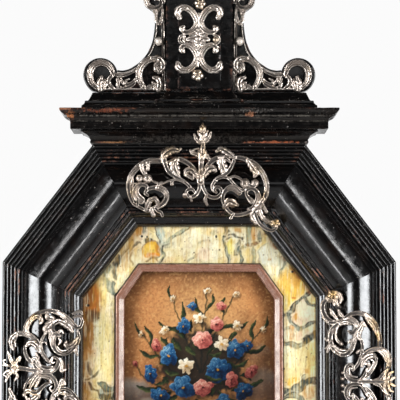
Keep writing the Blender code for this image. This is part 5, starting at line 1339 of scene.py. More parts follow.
# --------------------------------------------------------------- the picture
class FlowerPiece:
    """Flowers and leaves laid petal by petal in oil colours, lit from the upper left."""

    LIGHT = (-0.55, -0.83)

    def __init__(self, px, py, col):
        self.p = np.stack([px, py], -1)
        wob = np.stack([fbm(self.p / 5.0, 3, 301), fbm(self.p / 5.0 + 30, 3, 302)], -1) - 0.5
        self.q = self.p + wob * 3.4
        self.col = col
        self.grit = fbm(self.p / 1.9, 2, 305)
        self.mood = fbm(self.p / 7.0, 3, 306)
        self.rng = np.random.default_rng(17)
        self.skew = np.eye(2)

    @staticmethod
    def tone(v, shades):
        v = np.clip(v, 0, 1) * (len(shades) - 1)
        k = np.minimum(v.astype(int), len(shades) - 2)
        f = (v - k)[..., None]
        table = np.array(shades)
        return table[k] * (1 - f) + table[k + 1] * f

    def near(self, cx, cy, reach):
        return (np.abs(self.q[..., 0] - cx) < reach) & (np.abs(self.q[..., 1] - cy) < reach)

    def petal(self, cx, cy, angle, length, width, shades, lift=0.0, cup=0.9):
        m = self.near(cx, cy, length * 1.15)
        if not m.any():
            return
        ux, uy = math.cos(angle), math.sin(angle)
        dx, dy = self.skew @ np.stack([self.q[m, 0] - cx, self.q[m, 1] - cy])
        s, t = (dx * ux + dy * uy) / length, (-dx * uy + dy * ux) / width
        body = np.sin(np.pi * np.clip(s, 0, 1) ** 1.35) ** 0.55
        inside = body - np.abs(t)
        fac = ramp(inside, -0.05, 0.16) * (s > 0.0) * (s < 1.0)
        lit = ux * self.LIGHT[0] + uy * self.LIGHT[1]
        side = -uy * self.LIGHT[0] + ux * self.LIGHT[1]
        v = 0.34 + lift + 0.26 * (s - 0.4) + 0.20 * lit + 0.24 * cup * side * t
        v = v - 0.30 * np.exp(-(s / 0.22) ** 2) + 0.20 * np.exp(-((inside - 0.10) / 0.12) ** 2) * ramp(s, 0.35, 0.85) * (0.4 + 0.6 * (lit > -0.4))
        v = v + 0.34 * (self.grit[m] - 0.5) + 0.20 * (self.mood[m] - 0.5) - 0.10 * np.exp(-(t / 0.14) ** 2) * ramp(0.8 - s, 0, 0.4)
        self.col[m] = over(self.col[m], fac, self.tone(v, shades))

    def shade(self, cx, cy, rx, ry, s):
        r = np.hypot((self.q[..., 0] - cx) / rx, (self.q[..., 1] - cy) / ry)
        self.col = self.col * (1 - s * ramp(1.25 - r, 0, 0.75))[..., None]

    def bloom(self, cx, cy, size, kind, shades, heart, lift=0.0):
        g = self.rng
        self.shade(cx + 0.16 * size, cy + 0.22 * size, size, size, 0.55)
        turn = g.uniform(0, 2 * math.pi)
        # flowers away from the middle face outward and are foreshortened
        out = math.atan2(cy - 360, cx - 201) + g.uniform(-0.5, 0.5)
        far_out = min(1.0, math.hypot(cx - 201, cy - 360) / 60)
        c, n = math.cos(out), math.sin(out)
        spin = np.array([[c, n], [-n, c]])
        self.skew = spin.T @ np.diag([1 / (1.0 - 0.36 * far_out * g.uniform(0.6, 1.1)), 1 / g.uniform(0.86, 1.0)]) @ spin
        if kind == "rose":
            plan = ((1.0, 6, 0.46), (0.80, 6, 0.42), (0.60, 5, 0.36), (0.40, 4, 0.26))
        elif kind == "iris":
            plan = ((1.0, 7, 0.36), (0.84, 6, 0.34), (0.64, 5, 0.28), (0.42, 4, 0.20))
        else:
            plan = ((1.0, 7, 0.27), (0.70, 6, 0.22))
        for ring, (far, count, wide) in enumerate(plan):
            for k in g.permutation(count):
                a = turn + 0.55 * ring + 2 * math.pi * k / count + g.uniform(-0.22, 0.22)
                ln = size * far * g.uniform(0.84, 1.10)
                self.petal(cx + g.uniform(-0.05, 0.05) * size, cy + g.uniform(-0.05, 0.05) * size, a, ln, ln * wide / far ** 0.3 * g.uniform(0.85, 1.15),
                           shades, lift + 0.04 * ring + g.uniform(-0.07, 0.07))
        m = self.near(cx, cy, size * 0.4)
        r = np.hypot(self.q[m, 0] - cx, self.q[m, 1] - cy) / (size * (0.10 if kind != "daisy" else 0.20))
        self.col[m] = over(self.col[m], ramp(1.1 - r, 0, 0.5) * 0.85, heart * (0.7 + 0.6 * self.grit[m])[..., None])

    def leaf(self, pts, width, shades, lift=0.0):
        p = np.array(pts, float)
        lo, hi = p.min(0) - width - 3, p.max(0) + width + 3
        m = ((self.q >= lo) & (self.q <= hi)).all(-1)
        if not m.any():
            return
        r, u, side = line_field(self.q[m, 0], self.q[m, 1], pts)
        w = width * np.sin(np.pi * np.clip(u * 0.94 + 0.04, 0, 1)) ** 0.7 + 0.15
        t = r / w * side
        v = 0.36 + lift + 0.20 * t + 0.42 * (self.grit[m] - 0.5) + 0.30 * (self.mood[m] - 0.5) - 0.16 * np.exp(-(t / 0.16) ** 2)
        self.col[m] = over(self.col[m], ramp(1.0 - np.abs(t), -0.08, 0.22), self.tone(v, shades))

    def stroke(self, pts, width, tint, s=0.9):
        p = np.array(pts, float)
        lo, hi = p.min(0) - 4, p.max(0) + 4
        m = ((self.q >= lo) & (self.q <= hi)).all(-1)
        if m.any():
            r, u, side = line_field(self.q[m, 0], self.q[m, 1], pts)
            self.col[m] = over(self.col[m], ramp(width + 0.4 - r, 0, 0.8) * s * (0.6 + 0.6 * self.grit[m]).clip(0, 1), tint)


def picture_paint(px, py):
    """A generic flower piece on a warm brown ground: blue irises, roses and pale daisies standing in an urn."""
    p = np.stack([px, py], -1)
    ground, glow, dark, umber = (srgb(*c) for c in ((184, 124, 74), (218, 172, 114), (70, 42, 28), (132, 80, 44)))
    col = np.broadcast_to(ground, px.shape + (3,)).copy()
    col = over(col, ramp(fbm(p / 19.0, 4, 303), 0.40, 0.66) * 0.55, umber)
    col = over(col, np.exp(-((px - 203) ** 2 + (py - 322) ** 2) / 40.0 ** 2) * 0.70, glow)
    edge = inside_oct(px - 199.3, 374.0 - py, SLIP_IN)
    col = over(col, (1 - ramp(edge, 0, 24)) * 0.62, dark)
    col = over(col, ramp(fbm(p / 1.6, 2, 304), 0.46, 0.78) * 0.42, umber * 0.8)
    col = over(col, ramp(fbm(p / 1.9 + 40, 2, 307), 0.56, 0.80) * 0.30, glow)
    # banks of cloud low at both sides, paler along the top
    wob = np.stack([fbm(p / 9.0, 3, 308), fbm(p / 9.0 + 30, 3, 309)], -1) - 0.5
    x, y = (p + wob * 7.0)[..., 0], (p + wob * 7.0)[..., 1]
    for cx, cy, rx, ry, s in ((132, 398, 26, 20, 0.9), (150, 416, 34, 18, 0.95), (266, 392, 20, 26, 0.6), (252, 424, 34, 18, 0.9), (262, 356, 12, 12, 0.35), (200, 460, 80, 26, 0.9)):
        r = np.hypot((x - cx) / rx, (y - cy) / ry)
        lit = ramp((cy - y) / ry + 0.3 * (cx - x) / rx, -0.3, 1.0)
        tone = srgb(58, 54, 54) * (1 - lit[..., None]) + srgb(148, 138, 126) * lit[..., None]
        col = over(col, ramp(1.10 - r, 0, 0.45) * s * (0.75 + 0.4 * fbm(p / 5.0, 3, 310)).clip(0, 1), tone)
    A = FlowerPiece(px, py, col)
    greens = [srgb(*c) for c in ((14, 20, 14), (34, 42, 26), (70, 78, 42), (126, 126, 72))]
    blues = [srgb(*c) for c in ((6, 12, 26), (12, 34, 64), (24, 68, 108), (62, 112, 148), (150, 182, 196))]
    roses = [srgb(*c) for c in ((58, 18, 20), (124, 50, 46), (178, 92, 82), (218, 146, 126), (244, 206, 186))]
    creams = [srgb(*c) for c in ((104, 80, 58), (176, 146, 108), (222, 202, 168), (246, 236, 212), (255, 250, 236))]
    honey, deep = srgb(196, 140, 48), srgb(36, 22, 18)
    # urn, mostly hidden by the leaves
    half = 13 + 15 * np.exp(-((y - 424) / 15.0) ** 2) - 5 * np.exp(-((y - 452) / 7.0) ** 2)
    fac = ramp(half + 0.5 - np.abs(x - 201), 0, 1.2) * (y > 402) * (y < 470)
    bulge = np.clip((x - 201) / half, -1, 1)
    A.col = over(A.col, fac, srgb(146, 106, 60) * (0.18 + 0.95 * np.clip(1 - (bulge + 0.35) ** 2, 0, 1) ** 0.8)[..., None])
    # stems and leaves that stand clear of the flowers
    for pts, w in (
        (((200, 372), (186, 340), (178, 318), (172, 296)), 0.9), (((203, 372), (214, 336), (226, 312), (236, 292)), 0.9), (((201, 372), (202, 330), (206, 304), (207, 288)), 0.9),
        (((190, 384), (166, 366), (150, 346), (140, 332)), 0.9), (((214, 382), (240, 360), (254, 340), (264, 328)), 0.9), (((186, 396), (160, 388), (142, 376), (134, 364)), 0.8),
    ):
        A.stroke(pts, w, srgb(46, 46, 26))
    for pts, w in (
        (((184, 336), (176, 330), (166, 328), (158, 322)), 2.6), (((180, 322), (184, 312), (182, 302)), 2.0), (((218, 330), (230, 326), (240, 328), (248, 322)), 2.6),
        (((224, 314), (222, 304), (226, 296)), 1.9), (((204, 316), (197, 308), (195, 298)), 1.9), (((206, 310), (213, 302), (214, 293)), 1.8), (((158, 356), (148, 356), (139, 350)), 2.6),
        (((150, 346), (150, 336), (144, 326)), 2.0), (((246, 352), (257, 352), (266, 346)), 2.5), (((254, 340), (252, 330), (257, 320)), 2.0), (((160, 388), (148, 390), (136, 386)), 2.8),
        (((240, 384), (252, 386), (264, 380)), 2.8), (((176, 398), (160, 404), (150, 414)), 3.4), (((228, 400), (244, 406), (254, 416)), 3.4), (((172, 300), (168, 292), (170, 284)), 1.4),
        (((142, 336), (136, 330), (134, 322)), 1.5), (((262, 330), (268, 324), (268, 316)), 1.5),
    ):
        A.leaf(pts, w, greens, 0.06)
    # the dark heart of the bunch
    r = np.hypot((x - 201) / 46, (y - 366) / 40)
    A.col = over(A.col, ramp(1.08 - r + 0.7 * (fbm(p / 7.0, 3, 330) - 0.5), 0, 0.34) * 0.95, srgb(20, 24, 24))
    for k in range(46):
        a, d = A.rng.uniform(0, 2 * math.pi), math.sqrt(A.rng.uniform(0.1, 1.1))
        cx, cy, t = 201 + 42 * d * math.cos(a), 366 + 36 * d * math.sin(a), a + A.rng.uniform(-0.7, 0.7)
        ln = A.rng.uniform(7, 12)
        A.leaf(((cx, cy), (cx + 0.5 * ln * math.cos(t), cy + 0.5 * ln * math.sin(t) - 0.6), (cx + ln * math.cos(t + 0.3), cy + ln * math.sin(t + 0.3))), A.rng.uniform(1.6, 2.8), greens, A.rng.uniform(-0.25, 0.10))
    for cx, cy, size, kind, shades, lift in (
        (172, 298, 4.4, "daisy", creams, -0.05), (207, 290, 4.8, "daisy", creams, 0.05), (237, 294, 4.4, "daisy", creams, -0.06), (140, 334, 4.2, "daisy", creams, -0.1),
        (264, 330, 4.2, "daisy", creams, -0.14), (134, 364, 4.0, "rose", roses, -0.12), (192, 306, 5.6, "iris", blues, 0.06), (222, 306, 5.8, "rose", roses, 0.0),
        (156, 346, 8.0, "rose", roses, -0.08), (248, 346, 8.4, "iris", blues, -0.06), (183, 326, 9.4, "iris", blues, 0.06), (217, 324, 9.0, "rose", roses, 0.08),
        (200, 318, 7.0, "daisy", creams, 0.06), (238, 326, 6.6, "daisy", creams, -0.08), (164, 330, 6.4, "daisy", creams, -0.04), (252, 372, 9.4, "rose", roses, -0.16),
        (150, 374, 10.0, "iris", blues, -0.04), (236, 350, 12.0, "iris", blues, -0.02), (168, 356, 12.4, "iris", blues, 0.08), (202, 340, 11.4, "rose", roses, 0.12),
        (244, 392, 12.0, "iris", blues, -0.12), (160, 396, 12.0, "iris", blues, -0.08), (222, 344, 8.0, "daisy", creams, 0.02), (218, 370, 14.4, "iris", blues, -0.02),
        (186, 366, 9.6, "daisy", creams, 0.06), (183, 388, 14.6, "iris", blues, 0.02), (232, 380, 9.4, "rose", roses, -0.06), (203, 388, 11.6, "rose", roses, 0.02),
        (176, 408, 10.0, "rose", roses, -0.14), (222, 404, 12.6, "iris", blues, -0.10), (202, 408, 8.0, "daisy", creams, -0.08), (240, 412, 8.0, "daisy", creams, -0.16),
    ):
        A.bloom(cx, cy, size, kind, shades, honey if kind != "rose" else deep, lift)
    for pts, w in ((((196, 356), (190, 352), (186, 346)), 2.0), (((210, 356), (216, 356), (222, 352)), 1.8), (((178, 374), (170, 374), (164, 370)), 2.2), (((236, 366), (242, 366), (248, 360)), 2.0),
                   (((206, 376), (212, 380), (220, 380)), 1.8), (((168, 344), (162, 340), (160, 336)), 1.6)):
        A.leaf(pts, w, greens, 0.12)
    fall = ramp((px - 201) * 0.55 + (py - 350) * 0.84, -30, 62)
    mass = ramp(1.35 - np.hypot((px - 201) / 62, (py - 366) / 62), 0, 0.4)
    col = A.col * (1.06 - 0.56 * fall * mass)[..., None]
    col = col * (0.90 + 0.22 * fbm(p / 1.3, 2, 320))[..., None]
    # the paint is darker within 5 mm of the slip all round, and a few losses show the ground
    col = col * (1 - 0.30 * (1 - ramp(edge, 0, 5)))[..., None]
    loss = ramp(fbm(p / 1.3, 2, 321), 0.84, 0.90) * ramp(fbm(p / 14.0, 2, 322), 0.52, 0.64)
    col = over(col, loss * 0.5, srgb(150, 112, 76))
    return np.clip(col, 0, 1) * PICTURE_GAIN


panel_grid("picture_painted", SLIP_OUT, None, 11.0, 9.8, 0.63, picture_paint, PICTURE, ["picture_plate"])


# ------------------------------------------------------------- silver mounts
def on_octagon(x, z):
    """How far in from the frame's outer edge a point lies, in the section's own width."""
    far = None
    for k in range(8):
        a, b, c = OUT8[k], OUT8[(k + 1) % 8], SIG8[k]
        d = (b - a) / np.linalg.norm(b - a)
        nx, nz = -d[1], d[0]
        wide = (c[0] - a[0]) * nx + (c[1] - a[1]) * nz
        v = ((x - a[0]) * nx + (z - Z_MID - a[1]) * nz) / wide * RAIL_W
        far = v if far is None else np.minimum(far, v)
    return far


def over_frame(line):
    table = np.array(line)

    def height(x, z):
        t = on_octagon(x, z)
        rail = np.where((t > 0) & (t < RAIL_W), np.interp(t, RAIL_TOP_T, RAIL_TOP_H), MARBLE_H[1])
        return np.maximum(np.interp(t, table[:, 0], table[:, 1]), rail + 2.4)
    return height


CAM_Z, CAM_D, MID_PX, MID_PY = 365.0, 1900.0, 199.3, 330.0


def px_to_mm(a, b, h, mid=MID_PX):
    k = (CAM_D - (h - 40.0)) / CAM_D
    return (a - mid) * k, CAM_Z + (MID_PY - b) * k


def B(pts, w=1.6):
    return ("band", pts, w)


def L(pts, w=2.4):
    return ("leaf", pts, w)


def O(a, b, r):
    return ("ball", (a, b), r)


def F(a, b, r, n=5):
    return ("flower", (a, b), r, n)


def flip(elements, b0):
    """The same elements upside down about a level of the picture."""
    found = []
    for e in elements:
        if e[0] in ("band", "leaf"):
            found.append((e[0], tuple((a, 2 * b0 - b) for a, b in e[1]), e[2]))
        else:
            found.append((e[0], (e[1][0], 2 * b0 - e[1][1]), *e[2:]))
    return found


class Relief:
    """Chased scrollwork drawn on a fine grid: the outline as a distance, the chasing as a height."""

    def __init__(self, x0, x1, z0, z1, step=0.46):
        self.gx = np.arange(x0, x1 + step, step)
        self.gz = np.arange(z0, z1 + step, step)
        self.X, self.Z = np.meshgrid(self.gx, self.gz)
        self.sdf = np.full(self.X.shape, 9.0)
        self.rel = np.zeros(self.X.shape)
        self.tone = np.zeros(self.X.shape)

    def window(self, lo, hi):
        i0, i1 = np.searchsorted(self.gz, (lo[1], hi[1]))
        j0, j1 = np.searchsorted(self.gx, (lo[0], hi[0]))
        return slice(max(0, i0 - 1), i1 + 1), slice(max(0, j0 - 1), j1 + 1)

    def lay(self, win, sdf, height, lift=0.28, tone=0.0):
        inside = sdf < 0
        self.tone[win] = np.where(inside, tone, self.tone[win])
        old = self.rel[win]
        under = self.sdf[win] < 0
        new = np.where(inside, np.where(under, np.maximum(height + lift, old - 0.7), height), old)
        self.rel[win] = new
        self.sdf[win] = np.minimum(self.sdf[win], sdf)

    def curve(self, kind, pts, width):
        p = np.asarray(pts, float)
        width = np.asarray(width, float) * (1.34 if kind == "leaf" else 1.16)
        w = np.full(len(p), float(width)) if width.ndim == 0 else np.interp(
            np.linspace(0, 1, len(p)), np.linspace(0, 1, len(width)), np.asarray(width, float))
        line = smooth_line(np.column_stack([p, w]), 0.4)
        S, W = line[:, :2], np.maximum(line[:, 2], 0.55)
        T = np.gradient(S, axis=0)
        T /= np.linalg.norm(T, axis=1, keepdims=True) + 1e-9
        U = np.concatenate([[0], np.cumsum(np.linalg.norm(np.diff(S, axis=0), axis=1))])
        m = W.max() * 1.5 + 1.5
        win = self.window(S.min(0) - m, S.max(0) + m)
        x, z = self.X[win], self.Z[win]
        if x.size == 0:
            return
        shape = x.shape
        x, z = x.ravel(), z.ravel()
        best = np.full(len(x), 1e9)
        who = np.zeros(len(x), np.int64)
        for lo in range(0, len(S), 64):
            d = np.hypot(x[:, None] - S[None, lo:lo + 64, 0], z[:, None] - S[None, lo:lo + 64, 1]) - W[None, lo:lo + 64]
            k = d.argmin(1)
            v = d[np.arange(len(x)), k]
            better = v < best
            best = np.where(better, v, best)
            who = np.where(better, k + lo, who)
        w, u = W[who], U[who]
        cross = T[who, 0] * (z - S[who, 1]) - T[who, 1] * (x - S[who, 0])
        r = np.clip((best + w) / w, 0, 1.6)
        total = U[-1]
        rr = np.clip(r, 0, 1)
        dome = np.sqrt(np.clip(1 - rr ** 2, 0, 1))

        def ridge(at, wide):
            return np.exp(-((rr - at) / wide) ** 2)

        if kind == "leaf":
            lobes = max(2.0, round(total / 4.6))
            wave = np.abs(np.sin(np.pi * (u / total * lobes - 0.55 * r)))
            best = best + w * 0.30 * (1 - wave) ** 1.5 * ramp(w, 1.0, 2.0)
            prof = dome * (0.62 + 0.26 * wave * rr) - 0.20 * ridge(0.0, 0.14) + 0.10 * ridge(0.42, 0.22)
            height = prof * (0.85 * np.minimum(w, 4.0) + 0.55)
            tone = 0.06 + 0.36 * ridge(0.0, 0.14) - 0.20 * ridge(0.44, 0.18) - 0.26 * ridge(0.86, 0.13) + 0.56 * (1 - wave) ** 2 * ramp(rr, 0.25, 0.7)
        else:
            wide = ramp(w, 1.0, 1.5)
            double = 0.30 * dome + 0.60 * ridge(0.75, 0.17) + 0.20 * ramp(w, 2.3, 2.9) * ridge(0.0, 0.15)
            prof = dome * (1 - wide) + double * wide
            prof = prof * (1 + 0.10 * np.sign(cross) * wide)
            height = prof * (0.80 * np.minimum(w, 3.2) + 0.55)
            worn = 0.75 + 0.5 * vnoise(np.stack([x, z], -1) / 5.0, 411)
            broad = ramp(w, 2.4, 3.0)
            channel = 0.60 * np.exp(-(rr / 0.52) ** 4) * (1 - broad) + broad * (0.46 * ridge(0.60, 0.12) - 0.05 * ridge(0.0, 0.42))
            tone = wide * (channel - 0.50 * ridge(0.86, 0.18)) - 0.34 * (1 - wide) * ridge(0.0, 0.55)
            tone = tone * worn
        self.lay(win, best.reshape(shape), height.reshape(shape), tone=tone.reshape(shape))

    def ball(self, c, r):
        win = self.window(np.array(c) - r - 1, np.array(c) + r + 1)
        dx, dz = self.X[win] - c[0], self.Z[win] - c[1]
        d = np.hypot(dx, dz)
        rr = np.clip(d / r, 0, 1)
        height = np.sqrt(np.clip(1 - rr ** 2, 0, 1)) * r * 0.78
        if r > 2.7:   # a bud, ribbed from its tip
            th = np.arctan2(dz, dx)
            height = height * (1 - 0.42 * rr ** 0.7 * (0.5 + 0.5 * np.cos(9 * th)) ** 2)
        self.lay(win, d - r, height, 0.5)

    def flower(self, c, r, n=5):
        win = self.window(np.array(c) - r - 1, np.array(c) + r + 1)
        dx, dz = self.X[win] - c[0], self.Z[win] - c[1]
        d, th = np.hypot(dx, dz), np.arctan2(dz, dx)
        petal = np.abs(np.cos(n * th / 2 + 0.4))
        edge = r * (0.80 + 0.20 * petal)
        rr = d / edge
        ring = np.sin(np.pi * np.clip(rr, 0, 1) ** 0.85) ** 0.7
        height = (0.45 + 0.55 * petal ** 0.5) * ring * r * 0.40 + np.sqrt(np.clip(1 - (d / (0.34 * r)) ** 2, 0, 1)) * r * 0.38
        tone = 0.30 * (1 - petal) ** 2 + 0.34 * np.exp(-((d / r - 0.40) / 0.09) ** 2) - 0.10
        self.lay(win, (rr - 1) * edge * 0.9, np.where(rr < 1, height, 0), 0.5, tone)

    def draw(self, elements, place):
        for e in elements:
            if e[0] in ("band", "leaf"):
                self.curve(e[0], np.array([place(a, b) for a, b in e[1]]), e[2])
            elif e[0] == "ball":
                self.ball(place(*e[1]), e[2])
            else:
                self.flower(place(*e[1]), e[2], e[3])
        return self

    def cavity(self):
        """How sunk each point is among its neighbours, for the tarnish."""
        inside = (self.sdf < 0.2).astype(float)
        rel = np.where(self.sdf < 0, self.rel, 0.0)
        blur, wsum = rel * inside, inside.copy()
        for _ in range(2):
            for axis in (0, 1):
                acc, wac = np.zeros_like(blur), np.zeros_like(blur)
                for k in range(-2, 3):
                    acc += np.roll(blur, k, axis)
                    wac += np.roll(wsum, k, axis)
                blur, wsum = acc / 5, wac / 5
        mean = blur / (wsum + 1e-6)
        sunk = np.clip((mean - rel) * 0.30 + self.tone, -0.6, 1.2)
        return sunk

    def piece(self, name, height, replaces, thick=1.5, sink=1.0, tarnish=0.0, gilded=()):
        cav = self.cavity() + tarnish
        lookup = (self.gx[0], self.gz[0], self.gx[1] - self.gx[0])

        def extra(x, z):
            j = np.clip(np.round((x - lookup[0]) / lookup[2]).astype(int), 0, cav.shape[1] - 1)
            i = np.clip(np.round((z - lookup[1]) / lookup[2]).astype(int), 0, cav.shape[0] - 1)
            gilt = np.zeros(x.shape)
            for gx, gz, r, g in gilded:
                gilt = np.maximum(gilt, g * np.exp(-((x - gx) ** 2 + (z - gz) ** 2) / r ** 2))
            return {"cavity": cav[i, j], "gilt": gilt}

        return grid_piece(name, self.gx, self.gz, self.sdf, lambda x, z, r: height(x, z) - sink + np.minimum(r, 3.4),
                          lambda x, z: height(x, z) - sink - thick + 0.9, self.rel, SILVER, replaces, extra, 70.0)


FINIAL = [
    L(((200.5, 157), (196.5, 153.8), (191.8, 152.2), (190.4, 149.8)), (2.2, 2.1, 1.6, 0.9)), B(((191, 151.4), (194, 149.2), (198, 148.2)), 0.9),
    L(((204.5, 156.5), (206.6, 155), (208.8, 158.2)), 1.6),
    B(((200.5, 181), (200.8, 172), (201, 165), (201.5, 157)), (3.4, 2.5, 2.3, 2.8)),
    L(((201.8, 158), (202.4, 152), (202.9, 147.2)), (2.4, 3.6, 2.2)),
    B(((202.9, 148), (203.1, 144.5), (203.1, 141.5)), (1.9, 1.4, 1.3)),
    L(((202.4, 143.6), (198.6, 141), (195.6, 137.4), (194.4, 133.6)), (1.1, 1.9, 1.6, 0.8)),
    L(((203.8, 143.6), (207, 139.4), (209.6, 135.6), (211, 131.6)), (1.1, 1.9, 1.6, 0.8)),
    L(((203.1, 142.5), (202.9, 137), (202.7, 131), (202.9, 122.8)), (1.3, 3.2, 3.8, 0.6)),
    L(((202.8, 133), (198.2, 130.6)), 1.0), L(((203, 133), (207.4, 130.4)), 1.0),
]
CREST_RIGHT = [
    B(((234.8, 157.1), (240.9, 157.5), (247.8, 160.1), (255.4, 164.7), (261.6, 171.6), (265.4, 179.3), (266.9, 186.9), (266.2, 194.6), (263.1, 201.5)),
      (1.6, 1.9, 2.3, 2.6, 2.6, 2.5, 2.4, 2.2, 1.8)),
    L(((248.6, 160.9), (253.1, 167.8), (256.2, 173.1), (254.7, 176.2)), (2.2, 3.0, 2.6, 1.4)),
    B(((203.4, 174.1), (206.5, 167), (211.1, 161.7), (215.7, 158.6), (221.8, 157.1), (227.1, 158.6), (230.2, 161.7)), (1.4, 1.7, 2.1, 2.2, 1.9, 1.4, 1.0)),
    L(((221, 157.8), (221.8, 164), (224.1, 170.1), (223.3, 175.4)), (2.6, 3.8, 3.4, 1.6)),
    B(((234.8, 157.8), (232.5, 164), (228.7, 170.9), (223.3, 175.4), (217.2, 178.5), (213.4, 183.1), (212.2, 187.7), (214.1, 191.5)),
      (1.3, 1.6, 1.8, 1.8, 1.7, 1.5, 1.3, 1.1)),
    B(((201.1, 174.7), (202.7, 180), (202.7, 186.2), (206.5, 193.8), (211.1, 196.9), (217.2, 196.9), (221.4, 193), (220.6, 188.5), (216.8, 186.9), (214.1, 190), (216.4, 192.3)),
      (1.6, 1.6, 1.6, 1.6, 1.7, 1.7, 1.6, 1.5, 1.4, 1.2, 1.1)),
    L(((204.5, 176.1), (206.5, 172.1), (209.5, 168.6), (214.1, 168.6), (215.7, 170.9)), (1.6, 2.6, 3.2, 2.4, 1.2)),
    B(((216, 179.3), (223.3, 177), (228.7, 178.5), (233.3, 183.1), (237.8, 187.7), (242.4, 190), (245.5, 187.7)), 1.3),
    B(((228.4, 178.2), (234.8, 176.2), (240.1, 178.5), (243, 181)), 1.1),
    O(245.1, 183.1, 4.9), O(255.1, 183.1, 3.9), B(((248, 184), (252, 186), (255, 186)), 1.2),
    L(((234.8, 157.6), (230.2, 154), (225.6, 151), (221, 148.7), (216.8, 151)), (1.8, 2.8, 3.0, 2.4, 1.2)),
    B(((239.4, 192.3), (233.3, 188.1), (227.9, 188.8), (224.1, 193), (222.9, 199.2), (225.6, 206), (230.2, 211.4), (236.3, 214.1), (244, 213.3), (250.1, 211), (256.2, 206.8)),
      (2.6, 3.0, 2.4, 1.7, 1.6, 1.6, 1.6, 1.7, 1.8, 1.8, 1.8)),
    L(((224.6, 206), (229.4, 201.5), (233.3, 203), (237.8, 204.5)), (1.8, 3.4, 3.0, 1.2)), B(((233.3, 213.7), (231, 217.4)), 1.2),
    B(((251.6, 200.7), (247, 195.3), (247, 190.7), (251.6, 188.5), (256.2, 190.7), (258.5, 196.1), (257.7, 201.5), (253.9, 206.8), (248.6, 208.3)),
      (2.5, 1.4, 1.6, 1.6, 2.0, 2.6, 3.0, 2.0, 1.0)),
    L(((263.6, 199.7), (259.3, 206.8), (254.7, 211.4), (253.1, 216.8), (256.2, 222.1)), (2.0, 2.8, 2.8, 2.4, 1.6)),
    B(((255.2, 211.4), (257, 217.5), (260.8, 223.6), (266.9, 228.2), (273, 229.8), (277.6, 226.7)), (1.5, 1.6, 1.7, 1.6, 1.4, 1.2)),
    L(((260.0, 207.9), (262.3, 215.2), (266.9, 219.8), (272, 222.1)), 2.0), F(276.1, 222.9, 5.0), L(((263.4, 205), (266.9, 211)), 1.4),
    L(((206.5, 194.9), (205.2, 199.5), (207.2, 204.2)), (1.0, 1.6, 1.0)),
]
CREST_LEFT = [
    B(((162.8, 160.6), (156.5, 160.6), (150.2, 160.6), (144.6, 162.7), (138.6, 166.2), (133.3, 171.8), (129.8, 178.2), (128.4, 185.2), (128.8, 192.2), (130.9, 199.2), (133.9, 204.4)),
      (2.0, 2.4, 2.6, 2.6, 2.6, 2.5, 2.4, 2.2, 1.9, 1.6, 1.2)),
    B(((132.3, 177.5), (132.6, 183.8), (132.3, 190.8)), 1.0),
    L(((141.1, 164.5), (142.5, 170.4), (144.6, 173.2)), 1.9), L(((148.1, 162.6), (147.4, 168.8)), 1.7),
    B(((131, 183.2), (137, 183.4), (144, 183.0)), 0.8), O(139.2, 178.2, 3.7), O(147.4, 178.6, 4.7), L(((151, 180.4), (155.4, 182.2), (159.4, 183.6)), 0.9),
    B(((141.1, 199.9), (136.8, 196.4), (135.4, 191.5), (137.5, 186.6), (141.8, 184.5), (146, 185.9), (147, 189.4), (144.9, 192.9), (147.4, 195)),
      (3.4, 3.6, 3.2, 2.4, 1.8, 1.7, 1.6, 1.4, 1.2)),
    B(((133.3, 203.4), (136.8, 205.5), (141.1, 207.6), (146, 210.1), (151, 209.6)), 1.3), B(((137.5, 198.2), (136.8, 205.1)), 1.2),
    L(((145.3, 209), (148.1, 202.7), (150.2, 199.6)), (1.4, 2.6, 2.0)), O(151.6, 208.3, 2.2),
    B(((152.4, 208.2), (155.4, 206.6), (159.3, 205.5), (163.5, 202.7), (166, 198.5), (166.3, 194.3), (163.5, 190.1), (158.6, 188), (153.7, 187.6), (148.5, 188.7)),
      (1.6, 1.8, 2.0, 2.2, 2.3, 2.4, 2.8, 2.6, 2.0, 1.4)),
    L(((149.6, 200.2), (154.4, 198.5), (157.5, 202.3), (158, 206)), (1.4, 2.0, 1.7, 1.0)), L(((150.9, 209.8), (153, 214.2)), 1.8),
    B(((155.2, 207.6), (157.2, 210.1), (160.7, 211.8), (162.1, 214.7)), 1.4), L(((156.9, 188.1), (158.4, 184), (161.4, 182.6)), 1.2),
    B(((161, 184), (164.5, 182.6), (168.1, 181), (173.3, 179.6)), 1.0),
    L(((163.5, 161.9), (163.5, 155.7), (167.7, 151.5), (173.3, 149.4), (177.5, 150.1), (180.7, 148.3)), (2.0, 3.0, 3.6, 3.0, 1.8, 1.0)),
    B(((198.2, 175.7), (194.4, 169), (190.2, 164.8), (185.3, 161.3), (180.4, 159.2), (175.4, 159.2), (168.1, 162)), (1.4, 1.7, 2.0, 2.2, 2.2, 1.8, 1.2)),
    L(((176.1, 159.9), (174, 164.8), (175.4, 169.7), (178.2, 176.4)), (2.6, 4.0, 3.8, 1.8)),
    B(((164.2, 159.9), (165.6, 165.5), (168.4, 171.1), (173.3, 175.4), (179.6, 178.9), (185.3, 182.4), (190.2, 187.3), (191.5, 189.5)),
      (2.0, 2.0, 1.9, 1.8, 1.7, 1.5, 1.3, 1.1)),
    B(((171.3, 182.6), (174.3, 179.8), (178.9, 180.3), (183.2, 181.7)), 1.1), O(171.9, 184.1, 1.8),
    B(((199.4, 175.8), (199.4, 181.7), (199.6, 187.3), (197.9, 192.2), (194.4, 195.7), (189.5, 196.4), (186.3, 193.6), (187.4, 190.1), (191.6, 189), (194.4, 191.5)),
      (1.6, 1.6, 1.6, 1.7, 1.7, 1.6, 1.5, 1.4, 1.3, 1.2)),
    O(184.8, 195.2, 2.5), L(((190.4, 196.8), (191.4, 200.4)), 0.9),
    L(((198.5, 178.3), (193.7, 171.8), (190.2, 169.7), (186, 171.1), (185.3, 174.9)), (2.0, 2.8, 2.7, 2.1, 1.2)), L(((187.1, 175.1), (192.3, 178.2)), 1.6),
]
